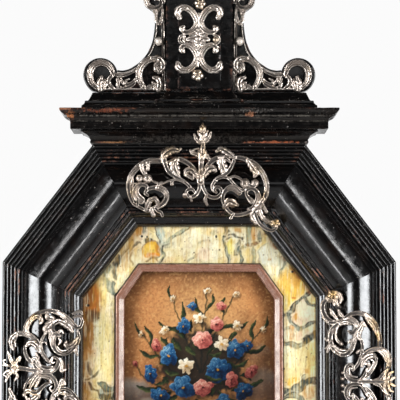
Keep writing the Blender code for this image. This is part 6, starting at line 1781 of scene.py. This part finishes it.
SIDE_LEFT = [
    L(((12.6, 349.6), (10.4, 345.2), (10.0, 340.6), (12.6, 336.2), (18.4, 333.6), (25.0, 334.0)), (1.0, 1.9, 2.4, 2.6, 2.4, 1.8)),
    B(((17.4, 334.6), (15.2, 338.4), (14.6, 342.4), (15.6, 346.4)), (0.9, 1.2, 1.1, 0.7)),
    B(((19.0, 333.4), (25.0, 333.9), (31.6, 336.0), (37.2, 340.8), (40.6, 346.6), (43.4, 353.2), (47.4, 359.0), (51.4, 362.6)),
      (2.2, 2.3, 2.3, 2.2, 1.9, 1.7, 1.5, 1.3)),
    B(((28.6, 345.4), (25.6, 346.6), (25.2, 350.2), (27.4, 356.6), (31.6, 361.6), (35.4, 365.0)), (1.0, 1.4, 1.7, 1.9, 1.9, 1.7)),
    L(((26.4, 346.2), (29.4, 343.2), (33.6, 343.0), (37.6, 346.0), (40.6, 351.4)), (1.2, 2.0, 2.6, 2.6, 1.5)), L(((37.0, 352.8), (38.8, 357.4), (39.4, 361.4)), (0.8, 1.3, 0.9)),
    L(((33.0, 363.4), (33.6, 359.2), (36.2, 358.2), (38.6, 361.8), (40.6, 366.6)), (1.2, 1.7, 2.0, 1.9, 1.2)),
    B(((35.0, 364.2), (37.6, 368.4), (42.4, 370.4), (48.4, 371.0), (53.4, 369.8), (57.2, 366.4), (58.6, 361.8), (57.4, 358.4), (54.2, 357.4), (52.0, 359.8), (53.2, 362.8), (55.2, 361.9)),
      (1.5, 2.0, 2.4, 2.5, 2.4, 1.9, 1.5, 1.3, 1.2, 1.1, 1.0, 0.8)),
    B(((41.8, 364.6), (44.6, 366.9), (49.0, 367.9), (53.2, 366.0)), (0.8, 1.5, 1.6, 0.8)),
    L(((27.4, 331.8), (27.6, 326.2), (30.8, 320.4), (35.6, 316.4)), (1.9, 2.3, 2.4, 2.2)),
    B(((25.6, 331.6), (26.8, 326.4), (30.8, 319.8), (37.4, 314.4), (45.0, 311.6), (51.6, 311.0), (58.4, 312.9), (64.2, 316.4), (69.2, 320.8), (73.4, 325.2), (76.8, 327.6), (80.2, 326.4), (81.8, 321.8), (80.2, 317.2), (76.2, 316.2), (73.6, 317.8)),
      (2.5, 2.6, 2.4, 2.2, 1.8, 1.9, 2.3, 2.6, 2.6, 2.3, 1.7, 1.4, 1.3, 1.2, 1.0, 0.7)),
    L(((32.0, 320.4), (36.4, 317.0), (40.2, 317.4), (42.4, 321.6), (40.6, 323.6)), (1.6, 2.2, 2.2, 1.7, 0.8)),
    L(((72.8, 313.6), (76.4, 312.0), (80.0, 311.4), (81.8, 314.2)), (0.9, 1.3, 1.3, 0.7)), L(((74.0, 317.0), (77.8, 315.6), (81.2, 317.8)), 0.9),
    L(((47.6, 312.8), (48.4, 317.4), (52.6, 319.0), (53.2, 322.6)), (1.2, 2.2, 2.4, 1.4)),
    L(((53.0, 322.0), (49.4, 324.6), (46.6, 329.2), (46.4, 333.2)), (1.5, 2.8, 2.6, 1.2)), L(((47.4, 328.4), (50.6, 331.0), (51.6, 334.6), (50.0, 338.4)), (1.4, 2.0, 1.9, 0.8)),
    B(((46.2, 333.0), (43.2, 338.4), (42.0, 344.2), (43.2, 350.0), (45.8, 355.8), (50.0, 361.0)), (0.9, 1.1, 1.1, 1.1, 1.1, 1.0)), B(((43.0, 342.8), (45.6, 341.8), (47.4, 344.2)), 0.7),
    L(((72.0, 331.6), (69.0, 327.6), (63.6, 323.2), (58.4, 321.4), (54.6, 323.8)), (1.4, 2.4, 2.7, 2.2, 1.5)),
    B(((57.6, 321.6), (54.2, 323.8), (53.2, 327.8), (54.4, 331.6), (57.8, 332.8), (61.2, 330.6), (63.4, 333.4)), (1.5, 1.5, 1.4, 1.4, 1.3, 1.1, 0.8)),
    B(((60.4, 336.2), (57.4, 334.4), (54.4, 336.2), (53.2, 341.0), (54.2, 346.8), (57.0, 351.4), (61.8, 354.0), (67.4, 353.4), (72.4, 349.8), (76.4, 344.4), (78.6, 337.8), (77.4, 331.4)),
      (1.0, 1.9, 2.4, 2.6, 2.2, 1.7, 1.4, 1.3, 1.3, 1.5, 1.5, 1.0)),
    B(((57.6, 346.6), (60.6, 350.0), (65.0, 350.6), (69.4, 348.0)), 0.7), L(((58.8, 338.6), (60.8, 341.4), (58.8, 344.4)), (0.8, 1.2, 0.7)),
    L(((66.0, 341.6), (65.2, 344.4), (68.8, 346.4), (73.4, 343.6), (77.2, 337.4)), (0.9, 1.6, 2.2, 2.4, 1.1)), L(((76.4, 346.6), (75.4, 351.0), (77.0, 355.2)), (0.9, 1.6, 0.9)),
    L(((60.4, 358.4), (62.2, 363.8), (61.6, 370.4), (65.6, 369.4)), (0.9, 1.6, 1.6, 0.9)),
    L(((13.0, 364.4), (10.0, 359.8), (8.6, 355.2), (6.8, 351.6)), (1.8, 1.7, 1.6, 0.8)), L(((12.6, 360.6), (9.6, 356.0)), (0.9, 0.8)),
    L(((16.0, 364.4), (17.6, 359.4), (20.4, 357.0), (19.6, 361.4)), (1.5, 1.5, 1.1, 0.7)),
    B(((11.0, 366.0), (6.4, 365.6), (2.2, 365.4)), (1.4, 1.0, 0.9)), B(((7.4, 365.2), (3.6, 363.4), (2.6, 360.8), (5.0, 359.8)), (1.0, 0.9, 0.8, 0.7)),
]
SIDE_STEM_LEFT = [
    B(((40.6, 371.4), (35.0, 370.2), (28.0, 369.0), (21.0, 368.2), (15.4, 368.0)), (2.6, 2.2, 1.9, 2.0, 2.4)),
    L(((17.6, 366.6), (14.6, 363.0), (12.4, 366.8)), 1.4), L(((17.4, 369.6), (14.4, 373.0), (12.0, 369.4)), 1.4), O(13.8, 368.0, 1.7),
]
# below the stem the left mount is not a plain mirror of its upper half
SIDE_LEFT_LOW = [
    B(((34.4, 374.4), (31.0, 377.6), (27.6, 382.4), (25.2, 387.4), (25.6, 390.4), (28.2, 389.6)), (1.5, 1.4, 1.3, 1.2, 1.0, 0.8)),
    L(((40.6, 373.8), (36.2, 378.2), (33.0, 383.0), (30.8, 387.6)), (1.6, 2.3, 2.2, 1.2)),
    L(((24.6, 394.6), (28.0, 390.6), (33.4, 391.6), (38.4, 392.6)), (1.6, 2.4, 2.2, 1.6)),
    B(((33.0, 392.2), (38.6, 391.6), (42.4, 387.6), (46.4, 383.8), (50.4, 382.4)), (1.6, 1.8, 1.7, 1.4, 1.0)),
    B(((40.2, 373.4), (46.0, 373.4), (51.4, 375.4), (55.4, 379.8), (56.8, 385.6), (55.4, 390.0), (52.4, 390.4), (50.8, 387.6), (52.6, 385.6)),
      (2.0, 1.9, 1.8, 1.7, 1.5, 1.3, 1.1, 0.9, 0.7)),
    B(((42.6, 376.6), (46.4, 377.2), (50.4, 379.6), (52.6, 382.8)), (0.8, 1.0, 1.0, 0.7)), L(((41.6, 377.4), (38.4, 383.2), (36.4, 386.4)), (0.9, 1.3, 0.8)),
    L(((59.6, 390.2), (60.4, 384.2), (62.8, 380.2), (65.2, 384.0)), (1.0, 1.7, 1.9, 1.0)), O(63.2, 384.6, 1.5), L(((55.2, 394.0), (60.0, 392.6), (66.6, 394.8)), (1.0, 1.4, 1.0)),
    L(((12.4, 371.0), (8.0, 375.2), (5.0, 381.6)), (1.5, 1.8, 0.8)), L(((15.6, 371.6), (17.4, 376.4), (14.4, 380.4)), (1.4, 1.5, 0.8)),
    B(((11.0, 370.0), (5.4, 371.6), (2.8, 374.4), (4.8, 376.4)), (1.2, 1.0, 0.9, 0.7)), L(((9.2, 389.0), (11.8, 394.4), (15.6, 399.4)), (1.6, 2.4, 1.4)),
]
SIDE_RIGHT = [
    B(((329.0, 297.8), (324.4, 302.2), (323.0, 307.6), (324.4, 313.8), (328.0, 319.0), (333.2, 322.2), (338.6, 322.6)), (1.5, 2.0, 2.2, 2.2, 2.1, 2.0, 1.8)),
    L(((323.4, 317.2), (327.4, 321.4), (333.0, 323.8)), (0.8, 1.5, 1.4)), F(332.4, 294.2, 4.6), L(((336.0, 291.8), (339.6, 294.8), (341.0, 299.6), (340.0, 303.2)), (1.2, 1.8, 1.6, 0.8)),
    L(((327.0, 297.6), (329.6, 300.2), (333.4, 300.8), (334.6, 304.8)), (1.2, 1.9, 1.7, 0.9)), L(((336.6, 297.2), (336.4, 301.4), (338.4, 305.6)), (1.4, 1.6, 0.8)),
    L(((331.0, 309.0), (332.6, 313.0), (335.6, 317.0), (338.4, 321.0)), (0.9, 1.9, 1.6, 1.0)), L(((338.4, 310.2), (340.4, 314.2), (344.4, 318.4)), (0.9, 1.9, 1.2)),
    B(((330.0, 322.6), (336.0, 322.8), (340.6, 321.8), (346.0, 319.4), (351.6, 320.2), (355.4, 324.6), (354.8, 330.4), (351.0, 333.2), (347.8, 331.0)),
      (1.6, 2.0, 2.4, 2.7, 2.8, 2.5, 2.1, 1.6, 1.0)),
    L(((340.0, 324.2), (344.6, 322.6), (349.4, 323.6)), (1.6, 2.2, 1.6)),
    B(((337.4, 324.4), (332.8, 329.0), (330.6, 335.8), (331.4, 343.8), (335.2, 350.6), (341.6, 354.4)), (1.9, 2.2, 2.2, 2.2, 2.2, 1.9)),
    B(((338.2, 326.4), (336.2, 331.0), (335.8, 336.4), (338.0, 341.2), (341.6, 344.6)), (0.9, 1.0, 1.1, 1.2, 1.1)), O(341.0, 343.8, 2.1),
    L(((334.6, 346.2), (338.2, 350.4), (343.4, 351.6), (348.6, 350.8)), (1.5, 2.4, 2.6, 1.6)),
    B(((340.8, 355.0), (346.4, 353.8), (350.6, 349.0), (352.8, 343.2), (354.6, 338.2)), (1.6, 2.0, 2.3, 2.2, 1.5)), L(((347.8, 342.4), (350.8, 340.4), (353.4, 342.8)), (0.9, 1.4, 0.8)),
    L(((330.8, 340.4), (327.4, 340.0), (325.2, 338.4)), (1.2, 1.1, 0.7)), L(((331.4, 345.2), (328.6, 349.4), (327.6, 352.2)), (1.2, 1.2, 0.7)), L(((330.4, 344.0), (326.0, 348.6)), 0.8),
    B(((344.4, 318.0), (349.4, 314.6), (355.6, 313.2), (362.0, 313.8), (368.4, 317.2), (374.0, 323.6), (377.8, 331.8), (379.8, 340.4), (379.4, 347.6)),
      (1.3, 1.6, 2.0, 2.2, 2.5, 2.8, 2.6, 2.3, 1.6)),
    L(((365.8, 318.6), (369.4, 322.2), (373.6, 327.6), (376.0, 333.8)), (1.2, 2.2, 2.1, 1.0)),
    L(((358.4, 326.4), (361.6, 323.0), (365.2, 326.0)), (1.0, 1.8, 0.9)), L(((362.2, 324.4), (359.2, 330.0), (357.2, 335.2), (360.8, 341.0)), (1.5, 2.5, 2.6, 1.1)), L(((357.8, 333.0), (354.4, 336.6), (353.4, 340.8)), (1.2, 1.7, 1.1)),
    B(((361.0, 340.2), (361.6, 347.8), (360.2, 355.8), (357.0, 363.6), (352.0, 369.8)), (1.3, 1.4, 1.4, 1.4, 1.2)), L(((361.0, 349.6), (357.4, 350.8), (356.2, 352.8)), 0.9),
    B(((352.6, 368.8), (352.0, 365.2), (349.0, 363.8), (345.8, 367.0), (345.0, 372.8), (347.8, 378.2), (353.8, 380.4), (359.8, 379.4), (363.4, 374.8), (366.4, 368.2)),
      (1.0, 1.1, 1.2, 1.4, 1.6, 1.7, 1.8, 1.7, 1.4, 1.0)),
    B(((351.6, 368.6), (349.2, 367.6), (348.4, 370.6), (350.2, 375.4), (355.8, 376.6)), (0.8, 0.8, 0.9, 1.0, 0.7)), O(342.2, 378.4, 1.9), O(342.0, 372.6, 1.3),
    B(((361.2, 357.0), (366.4, 351.8), (373.4, 349.2), (381.4, 349.4), (387.4, 353.2), (389.8, 359.8), (388.6, 366.8), (386.4, 371.0)), (1.3, 1.7, 2.0, 2.3, 2.7, 2.8, 2.3, 1.4)),
    L(((378.6, 350.8), (383.8, 354.4), (386.4, 361.0)), (1.2, 2.0, 1.2)),
    L(((361.0, 365.6), (363.4, 359.6), (367.4, 356.4), (372.4, 355.4), (376.4, 358.4)), (1.4, 2.4, 2.8, 2.4, 1.2)), L(((364.4, 363.4), (368.2, 364.2), (368.8, 368.6)), (1.0, 1.7, 0.9)),
    B(((376.2, 358.2), (375.2, 364.0), (371.4, 370.4), (366.6, 375.6), (362.2, 378.6)), (1.3, 1.2, 1.2, 1.2, 1.1)), B(((370.4, 359.6), (373.2, 361.2), (371.0, 366.6), (367.2, 371.6)), 0.7),
    L(((384.6, 379.0), (385.0, 374.0), (388.2, 369.4)), (1.5, 1.7, 0.9)), L(((388.6, 378.4), (390.4, 373.6), (394.0, 371.8)), (1.4, 1.5, 0.8)), L(((390.6, 380.4), (394.2, 378.0), (396.4, 377.6)), (1.2, 1.3, 0.8)),
    B(((373.6, 380.0), (379.0, 378.4), (382.6, 374.4), (386.0, 370.2)), (1.1, 1.3, 1.3, 1.0)),
]
SIDE_STEM_RIGHT = [
    B(((358.4, 381.4), (366.0, 381.0), (374.0, 381.2), (380.6, 381.6), (387.4, 381.8)), (1.8, 1.7, 1.8, 2.1, 2.4)), F(388.6, 381.8, 3.6, 6),
]


def crest_place(a, b):
    return px_to_mm(a, b, 54.5)


def mount_range(elements, place, margin=6.0):
    pts = []
    for e in elements:
        pts += [place(*p) for p in e[1]] if e[0] in ("band", "leaf") else [place(*e[1])]
    pts = np.array(pts)
    lo, hi = pts.min(0) - margin, pts.max(0) + margin
    return lo[0], hi[0], lo[1], hi[1]


crest = CREST_LEFT + CREST_RIGHT + FINIAL
Relief(*mount_range(crest, crest_place)).draw(crest, crest_place).piece("crest_mount_chased", over_frame(CREST_LINE), ["crest_mount"], tarnish=0.03,
    gilded=[(*crest_place(a, b), r, g) for a, b, r, g in ((202.5, 126, 7, 0.8), (202, 150, 9, 0.5), (201, 172, 8, 0.4), (170, 152, 11, 0.5),
                                                        (276, 222, 7, 0.9), (130, 190, 9, 0.4), (234, 203, 7, 0.4), (254, 171, 7, 0.3), (264, 195, 7, 0.45))])


def lower_place(a, b):
    x, z = px_to_mm(a, b, 54.5)
    return x, 2 * Z_MID - z


lower = CREST_LEFT + CREST_RIGHT[:-6] + [B(((200.5, 181), (200.8, 172), (201, 165), (201.3, 157)), (3.4, 2.5, 2.2, 1.6)), L(((201, 166), (201.4, 158), (201.2, 151)), (2.2, 3.4, 1.2)), F(201, 178, 4.4)]
Relief(*mount_range(lower, lower_place)).draw(lower, lower_place).piece("lower_mount_chased", over_frame(CREST_LINE), ["lower_mount"], tarnish=0.05)


def side_place(a, b):
    return px_to_mm(a, b, 50.0)


SIDE_GILT = {"left": ((34, 318, 9, 0.65), (14, 366, 8, 0.5), (75, 342, 7, 0.5), (33, 390, 9, 0.4)),
             "right": ((374, 325, 8, 0.85), (379, 337, 9, 1.0), (332.5, 293.5, 7, 1.0), (391, 371, 8, 0.9), (388, 361, 6, 0.5), (390, 386, 8, 0.8))}
for upper, low, stem, mid, name in ((SIDE_LEFT, SIDE_LEFT_LOW, SIDE_STEM_LEFT, 371.2, "left"), (SIDE_RIGHT, [], SIDE_STEM_RIGHT, 381.8, "right")):
    gilt = SIDE_GILT[name]
    mirrored = flip(upper, mid)
    if low:   # the drawn part takes the place of the mirrored strands beside the stem
        mirrored = [e for e in mirrored if min(p[1] for p in (e[1] if e[0] in ("band", "leaf") else [e[1]])) > 388.0]
    both = mirrored + low + upper + stem
    Relief(*mount_range(both, side_place)).draw(both, side_place).piece(
        f"side_mount_{name}_chased", over_frame(MOUNT_LINE), [f"side_mount_{name}"], tarnish=0.03 if name == "right" else 0.0, gilded=[(*side_place(a, b), r, g) for a, b, r, g in gilt])


def pil_place(a, b):
    return px_to_mm(a, b, 47.0, 197.6)


def across(elements, a0):
    """The same elements mirrored about an upright line of the picture."""
    found = []
    for e in elements:
        if e[0] in ("band", "leaf"):
            found.append((e[0], tuple((2 * a0 - a, b) for a, b in e[1]), e[2]))
        else:
            found.append((e[0], (2 * a0 - e[1][0], e[1][1]), *e[2:]))
    return found


PIL_SCROLLS = [
    B(((177.6, 15.4), (175.6, 10.6), (178, 6.4), (183, 5.2), (188.8, 8.2), (193, 13.4), (195.3, 19.4), (193.8, 25), (189.4, 29.2), (184.4, 30.4), (180.8, 28.8), (179.4, 26.2), (181.8, 24.8)),
      (2.3, 2.8, 3.0, 2.9, 2.9, 3.0, 3.0, 2.8, 2.4, 2.1, 2.0, 1.9, 1.4)),
    L(((184.6, 5.6), (179.4, 4.6), (175.6, 8), (175.4, 12.2), (177.6, 16)), (1.3, 2.3, 2.6, 2.3, 1.3)),
    B(((181.8, 50.2), (179.6, 49.0), (179.8, 45.6), (183.8, 43.4), (188.8, 44.8), (193, 49.2), (195.4, 55), (194, 60.8), (190, 66), (184.2, 69), (178.6, 67), (176, 62.2)),
      (1.4, 1.9, 2.0, 2.3, 2.6, 2.9, 3.0, 2.9, 2.8, 2.8, 2.8, 2.2)),
    L(((186, 69.4), (180.2, 69.2), (176, 65.4), (175.4, 61)), (1.4, 2.5, 2.6, 1.4)),
]
PIL = [
    L(((197.2, 34.4), (192.4, 31.4), (187.6, 31.6)), (1.6, 2.2, 1.0)), L(((197.2, 34.4), (202.4, 31.4), (207.0, 31.6)), (1.6, 2.2, 1.0)),
    L(((196.8, 40.6), (192.0, 43.6), (187.6, 43.2)), (1.6, 2.2, 1.0)), L(((196.8, 40.6), (202.2, 43.6), (206.8, 43.2)), (1.6, 2.2, 1.0)),
] + PIL_SCROLLS + across(PIL_SCROLLS, 197.2) + [
    B(((197.1, 11), (197.1, 18), (197.1, 27)), (0.9, 1.0, 0.9)), B(((196.4, 47), (196.6, 55), (196.2, 65)), (0.9, 1.0, 0.9)),
    L(((197.0, 35.6), (196.8, 31.0), (197, 26.6)), (2.4, 2.6, 1.1)), L(((196.6, 38.6), (196.4, 43.6), (196.4, 48)), (2.4, 2.6, 1.1)),
    L(((197, 37.6), (191.4, 36.6), (185.8, 37.8)), (3.6, 3.6, 1.6)), L(((197, 37.6), (201.6, 36.6), (206.6, 37.8)), (3.6, 3.6, 1.6)),
    B(((182.4, 33.2), (178.6, 34.8), (177.4, 37.8), (178.6, 40.8), (182.2, 42.4)), (1.0, 1.3, 1.3, 1.3, 1.0)), B(((183.0, 34.6), (181.8, 37.6), (183.0, 40.6)), (0.9, 1.2, 0.9)),
    B(((212.4, 33.2), (216.4, 34.8), (217.8, 37.8), (216.4, 40.8), (212.6, 42.4)), (1.0, 1.3, 1.3, 1.3, 1.0)), O(213.6, 37.8, 2.6),
    O(194.6, 37.2, 2.4), O(198.6, 37.2, 2.5), O(196.6, 37.0, 3.3), F(180.2, 26.8, 3.3, 6), F(214.2, 26.8, 3.3, 6), F(180.2, 48.2, 3.2, 6), F(214.2, 48.2, 3.2, 6),
    O(198.3, 1.0, 5.2), F(198.3, 1.0, 6.2, 6), O(195.8, 74.0, 5.2), F(195.8, 74.0, 6.2, 5),
]
Relief(*mount_range(PIL, pil_place)).draw(PIL, pil_place).piece("pilaster_mount_chased", lambda x, z: np.full(x.shape, 47.4), ["pilaster_mount"], thick=1.6, tarnish=-0.09,
    gilded=[(*pil_place(a, b), r, g) for a, b, r, g in ((198.3, 1, 8, 0.5), (195.8, 74, 8, 0.4), (213.6, 37.8, 4, 0.5))])


def brk_place(sign):
    def place(a, b):
        x, z = px_to_mm(a, b, 31.5, 198.2)
        return x * sign, z
    return place


BRK = [
    B(((94, 88.0), (112, 88.0), (130, 88.0), (148, 88.1), (162, 88.0)), 0.9),
    B(((162.7, 88.6), (162.4, 74), (162.0, 56), (161.8, 40), (161.6, 24), (161.4, 8)), 1.35),
    # thin rim along the hollow, with a broader band where it meets the volute
    B(((116.4, 71.4), (122.4, 71.6), (131.0, 68.6), (140.2, 61.6), (147.8, 53.4), (151.8, 45.2), (154.4, 33.4), (155.2, 24), (155.2, 19)), (0.8, 0.8, 0.7, 0.6, 0.6, 0.55, 0.55, 0.55, 0.5)),
    B(((113.4, 73.4), (120.4, 74.6), (127, 72.6), (133.6, 69.4)), (1.5, 1.4, 1.3, 1.1)),
    # low volute: one broad band and a tail to the foot
    B(((94.6, 86.2), (90.4, 81.6), (88.4, 76.2), (88.4, 70.4), (90.8, 65.2), (95.4, 62.0), (100.8, 61.4), (106.0, 63.4), (109.6, 67.4), (111.0, 72.4), (110.6, 75.4)),
      (2.2, 2.6, 2.9, 3.0, 3.0, 3.0, 2.9, 2.8, 2.5, 1.9, 1.4)),
    B(((109.8, 74.6), (106.9, 78.8), (107.6, 83.6), (111.8, 87.4)), (1.5, 1.9, 2.0, 1.5)),
    L(((98.6, 88), (98.0, 82), (99.6, 76.2)), (2.4, 3.0, 1.6)), L(((102, 88), (103.4, 83), (102.8, 78.6)), (1.6, 2.0, 1.0)),
    # spray of leaves
    B(((120.2, 87.4), (116.6, 85.4), (114.8, 82.2)), (1.5, 1.5, 0.8)), B(((116.6, 84.6), (117.0, 81.4), (115.6, 78.4), (117.6, 75.6), (120.6, 75.4)), (1.1, 1.2, 1.2, 1.0, 0.7)),
    B(((119.6, 77.4), (120.8, 81.0), (125.6, 83.4), (130.6, 81.6), (133.4, 77.4)), (0.8, 1.3, 1.6, 1.4, 0.7)), B(((119.8, 87.2), (126.0, 86.2), (131.6, 83.4), (134.8, 79.8)), (1.0, 1.5, 1.4, 0.7)),
    B(((122.6, 82.4), (124.4, 79.4), (127.8, 77.6)), (1.0, 1.1, 0.7)), O(118.6, 79.4, 1.4),
    # the big scroll and its leaf
    B(((143.4, 87.4), (139.4, 81.6), (137.3, 74.2), (138.9, 66.4), (144.4, 60.2), (151, 57.4), (157, 58)), (2.0, 2.6, 3.0, 3.1, 3.0, 2.7, 1.8)),
    L(((150.4, 56.6), (157, 56.8), (161.6, 61), (161.6, 66.4), (158.2, 70.6)), (1.6, 2.6, 3.0, 2.9, 1.6)),
    L(((158.8, 61.4), (155.4, 63.4), (154.8, 67.4), (157.4, 71.4)), (1.6, 2.3, 2.3, 1.2)), O(157.8, 66.2, 2.2), O(161.8, 73.4, 1.3),
    L(((157.6, 88.2), (158.4, 82.4), (156.8, 78), (152.6, 76.4)), (2.6, 3.0, 2.5, 1.5)), L(((153, 88), (153.4, 83.6), (151.4, 81)), (1.4, 1.6, 0.9)),
    L(((144.6, 87.2), (148.6, 85.4), (152.4, 83.8)), (1.2, 1.7, 1.0)), O(142.4, 84.8, 2.1),
    # husk under the upper volute
    L(((158.6, 4), (155.8, 9), (154.6, 14), (156.4, 19.4)), (1.2, 1.7, 1.6, 0.8)), L(((160.6, 4), (161.4, 10), (160.4, 15.4), (158.4, 19.6)), (1.0, 1.4, 1.4, 0.8)),
    B(((153.6, 18.2), (154.8, 20.8), (157.4, 20.6)), 0.9), B(((161.6, 17.4), (160.8, 20.4), (158.4, 20.4)), 0.9), O(157.7, 22.0, 1.7), O(152.6, 9.2, 1.4),
    L(((154.4, 12), (152.6, 9.6), (153.4, 6.6)), 0.9),
    # upper volute, mostly beyond the picture's top edge
    B(((162.4, -0.4), (160.0, -7.2), (154.0, -10.6), (147.6, -8.8), (144.8, -3.0), (146.6, 2.8), (151.8, 5.6), (157.2, 4.7), (160.0, 0.4), (158.0, -3.4), (154.0, -2.8)),
      (1.6, 2.0, 2.4, 2.6, 2.6, 2.5, 2.3, 2.0, 1.7, 1.4, 1.2)),
]
for side, sign in (("left", 1.0), ("right", -1.0)):
    place = brk_place(sign)
    Relief(*mount_range(BRK, place)).draw(BRK, place).piece(f"bracket_mount_{side}_chased", lambda x, z: np.full(x.shape, 32.0), [f"bracket_mount_{side}"], thick=1.7, tarnish=-0.04)
    lathe(f"bracket_stud_{side}_turned", [(0.0, 4.4), (1.7, 4.1), (3.1, 3.2), (4.2, 1.8), (4.6, 0.1), (4.3, -1.4), (3.5, -2.5), (2.7, -3.2), (2.7, -4.4), (0.0, -4.4)],
          (-sign * 40.6, 30.0 - 34.8, 656.2), (0, -1, 0), 141 + int(sign), SILVER_DULL, [f"bracket_stud_{side}"], segs=40, wave=0.05)

# ------------------------------------------------ carried-over nodes and back
for name, mat in (("carcass_frame", BOARD), ("back_panel", BOARD), ("backing_board", BOARD), ("cornice_core", BOARD_X)):
    NODES[name].data.materials.clear()
    NODES[name].data.materials.append(mat)
for name, obj in NODES.items():
    if name.startswith("turn_button_screw") or name == "hanger_eye":
        mat = IRON
    elif name.startswith("turn_button") or name == "hanger_ring":
        mat = BRASS
    else:
        continue
    obj.data.materials.clear()
    obj.data.materials.append(mat)
for name in ("carcass_frame", "back_panel", "backing_board", "cornice_core", *(n for n in NODES if n.startswith(("turn_button", "hanger")))):
    obj = NODES[name]
    weld = obj.modifiers.new("weld", "WELD")
    weld.merge_threshold = 1e-6
    if name.startswith("hanger"):
        sub = obj.modifiers.new("round", "SUBSURF")
        sub.levels = sub.render_levels = 1
    else:
        bev = obj.modifiers.new("eased", "BEVEL")
        bev.width = 0.0004 if name.startswith("turn") else 0.0008
        bev.segments = 2
        bev.limit_method = "ANGLE"
        bev.angle_limit = math.radians(35)

# ------------------------------------------------------------ stage and light
floor_mat = Mat("pale_floor")
fn_ = floor_mat.noise(floor_mat.coords(), 3.0, 4.0)
floor_mat.out(Base_Color=floor_mat.mix(floor_mat.ramp(fn_, 0.3, 0.7), (0.58, 0.575, 0.57), (0.62, 0.615, 0.61)), Roughness=0.8)
fm = bpy.data.meshes.new("floor")
fm.from_pydata([(-4, -4, 0), (4, -4, 0), (4, 4, 0), (-4, 4, 0)], [], [(0, 1, 2, 3)])
fm.materials.append(floor_mat.m)
floor = bpy.data.objects.new("floor", fm)
floor.location.z = -0.0004
SCENE.collection.objects.link(floor)

sky = bpy.data.worlds.new("studio")
SCENE.world = sky
sky.use_nodes = True
st = sky.node_tree
bg = st.nodes["Background"]
path = st.nodes.new("ShaderNodeLightPath")
spot = st.nodes.new("ShaderNodeTexCoord")
parts = st.nodes.new("ShaderNodeSeparateXYZ")
st.links.new(spot.outputs["Generated"], parts.inputs[0])
behind = st.nodes.new("ShaderNodeMapRange")
behind.interpolation_type = "SMOOTHSTEP"
behind.inputs["From Min"].default_value = 0.70
behind.inputs["From Max"].default_value = 0.90
st.links.new(parts.outputs["Y"], behind.inputs["Value"])
either = st.nodes.new("ShaderNodeMath")
either.operation = "MAXIMUM"
st.links.new(path.outputs["Is Camera Ray"], either.inputs[0])
st.links.new(behind.outputs["Result"], either.inputs[1])
mixc = st.nodes.new("ShaderNodeMix")
mixc.data_type = "RGBA"
mixc.inputs[6].default_value = (0.022, 0.022, 0.022, 1.0)
mixc.inputs[7].default_value = (0.965, 0.965, 0.965, 1.0)
st.links.new(either.outputs[0], mixc.inputs["Factor"])
st.links.new(mixc.outputs[2], bg.inputs["Color"])
bg.inputs["Strength"].default_value = 1.0


def softbox(name, place, aim, wide, tall, watts, colour=(1.0, 1.0, 1.0), spread=180.0):
    data = bpy.data.lights.new(name, "AREA")
    data.shape = "RECTANGLE"
    data.size, data.size_y = wide, tall
    data.energy = watts
    data.color = colour
    data.spread = math.radians(spread)
    obj = bpy.data.objects.new(name, data)
    obj.location = place
    obj.rotation_euler = (Vector(aim) - Vector(place)).to_track_quat("-Z", "Y").to_euler()
    obj.visible_camera = False
    SCENE.collection.objects.link(obj)
    return obj


def lamp(name, sign, way, start, reach, wide, long, watts, spread=180.0):
    """A strip lamp that a diagonal rail mirrors: from a point on the left rail along the mirrored ray, long with the rail."""
    way, start = Vector(way).normalized(), Vector(start)
    along = Vector((0.606, 0.0, 0.795))
    along = (along - way * along.dot(way)).normalized()
    z_axis = way
    x_axis = along.cross(z_axis).normalized()
    place = start + way * reach
    axes = [x_axis, along, z_axis]
    if sign > 0:
        place.x = -place.x
        axes = [Vector((-v.x, v.y, v.z)) for v in axes]
        axes[0] = -axes[0]
    rot = Matrix((axes[0], axes[1], axes[2])).transposed().to_4x4()
    obj = softbox(name, place, start, wide, long, watts, spread=spread)
    obj.matrix_world = Matrix.Translation(place) @ rot
    return obj


for side, sign in (("left", -1.0), ("right", 1.0)):
    # tall boxes at the sides, a small one above each, and a strip low down on each side
    softbox(f"softbox_{side}", (sign * 0.98, -0.61, 0.42), (0.0, -0.02, 0.44), 0.40, 0.78, 9.0, (0.955, 0.98, 1.0), 110)
    lamp(f"upper_strip_{side}", sign, (-0.552, -0.719, 0.421), (-0.125, -0.02, 0.455), 1.0, 0.075, 0.26, 1.5)
    lamp(f"low_strip_{side}", sign, (0.727, -0.407, -0.553), (-0.118, -0.02, 0.445), 0.70, 0.055, 0.30, 0.27, 100)
softbox("front_fill", (0.0, -2.6, 1.7), (0.0, 0.0, 0.45), 1.6, 1.0, 4.6)

cam_data = bpy.data.cameras.new("camera")
cam = bpy.data.objects.new("camera", cam_data)
SCENE.collection.objects.link(cam)
SCENE.camera = cam
cam_data.sensor_width = 36.0
cam_data.lens = 36.0 * 1.9 / 0.4
cam_data.clip_end = 50.0
cam.location = (0.0007, -0.010 - 1.9, 0.365)
cam.rotation_euler = (Vector((0.0007, -0.010, 0.495)) - cam.location).to_track_quat("-Z", "Y").to_euler()

SCENE.view_settings.view_transform = "Standard"
SCENE.view_settings.look = "None"
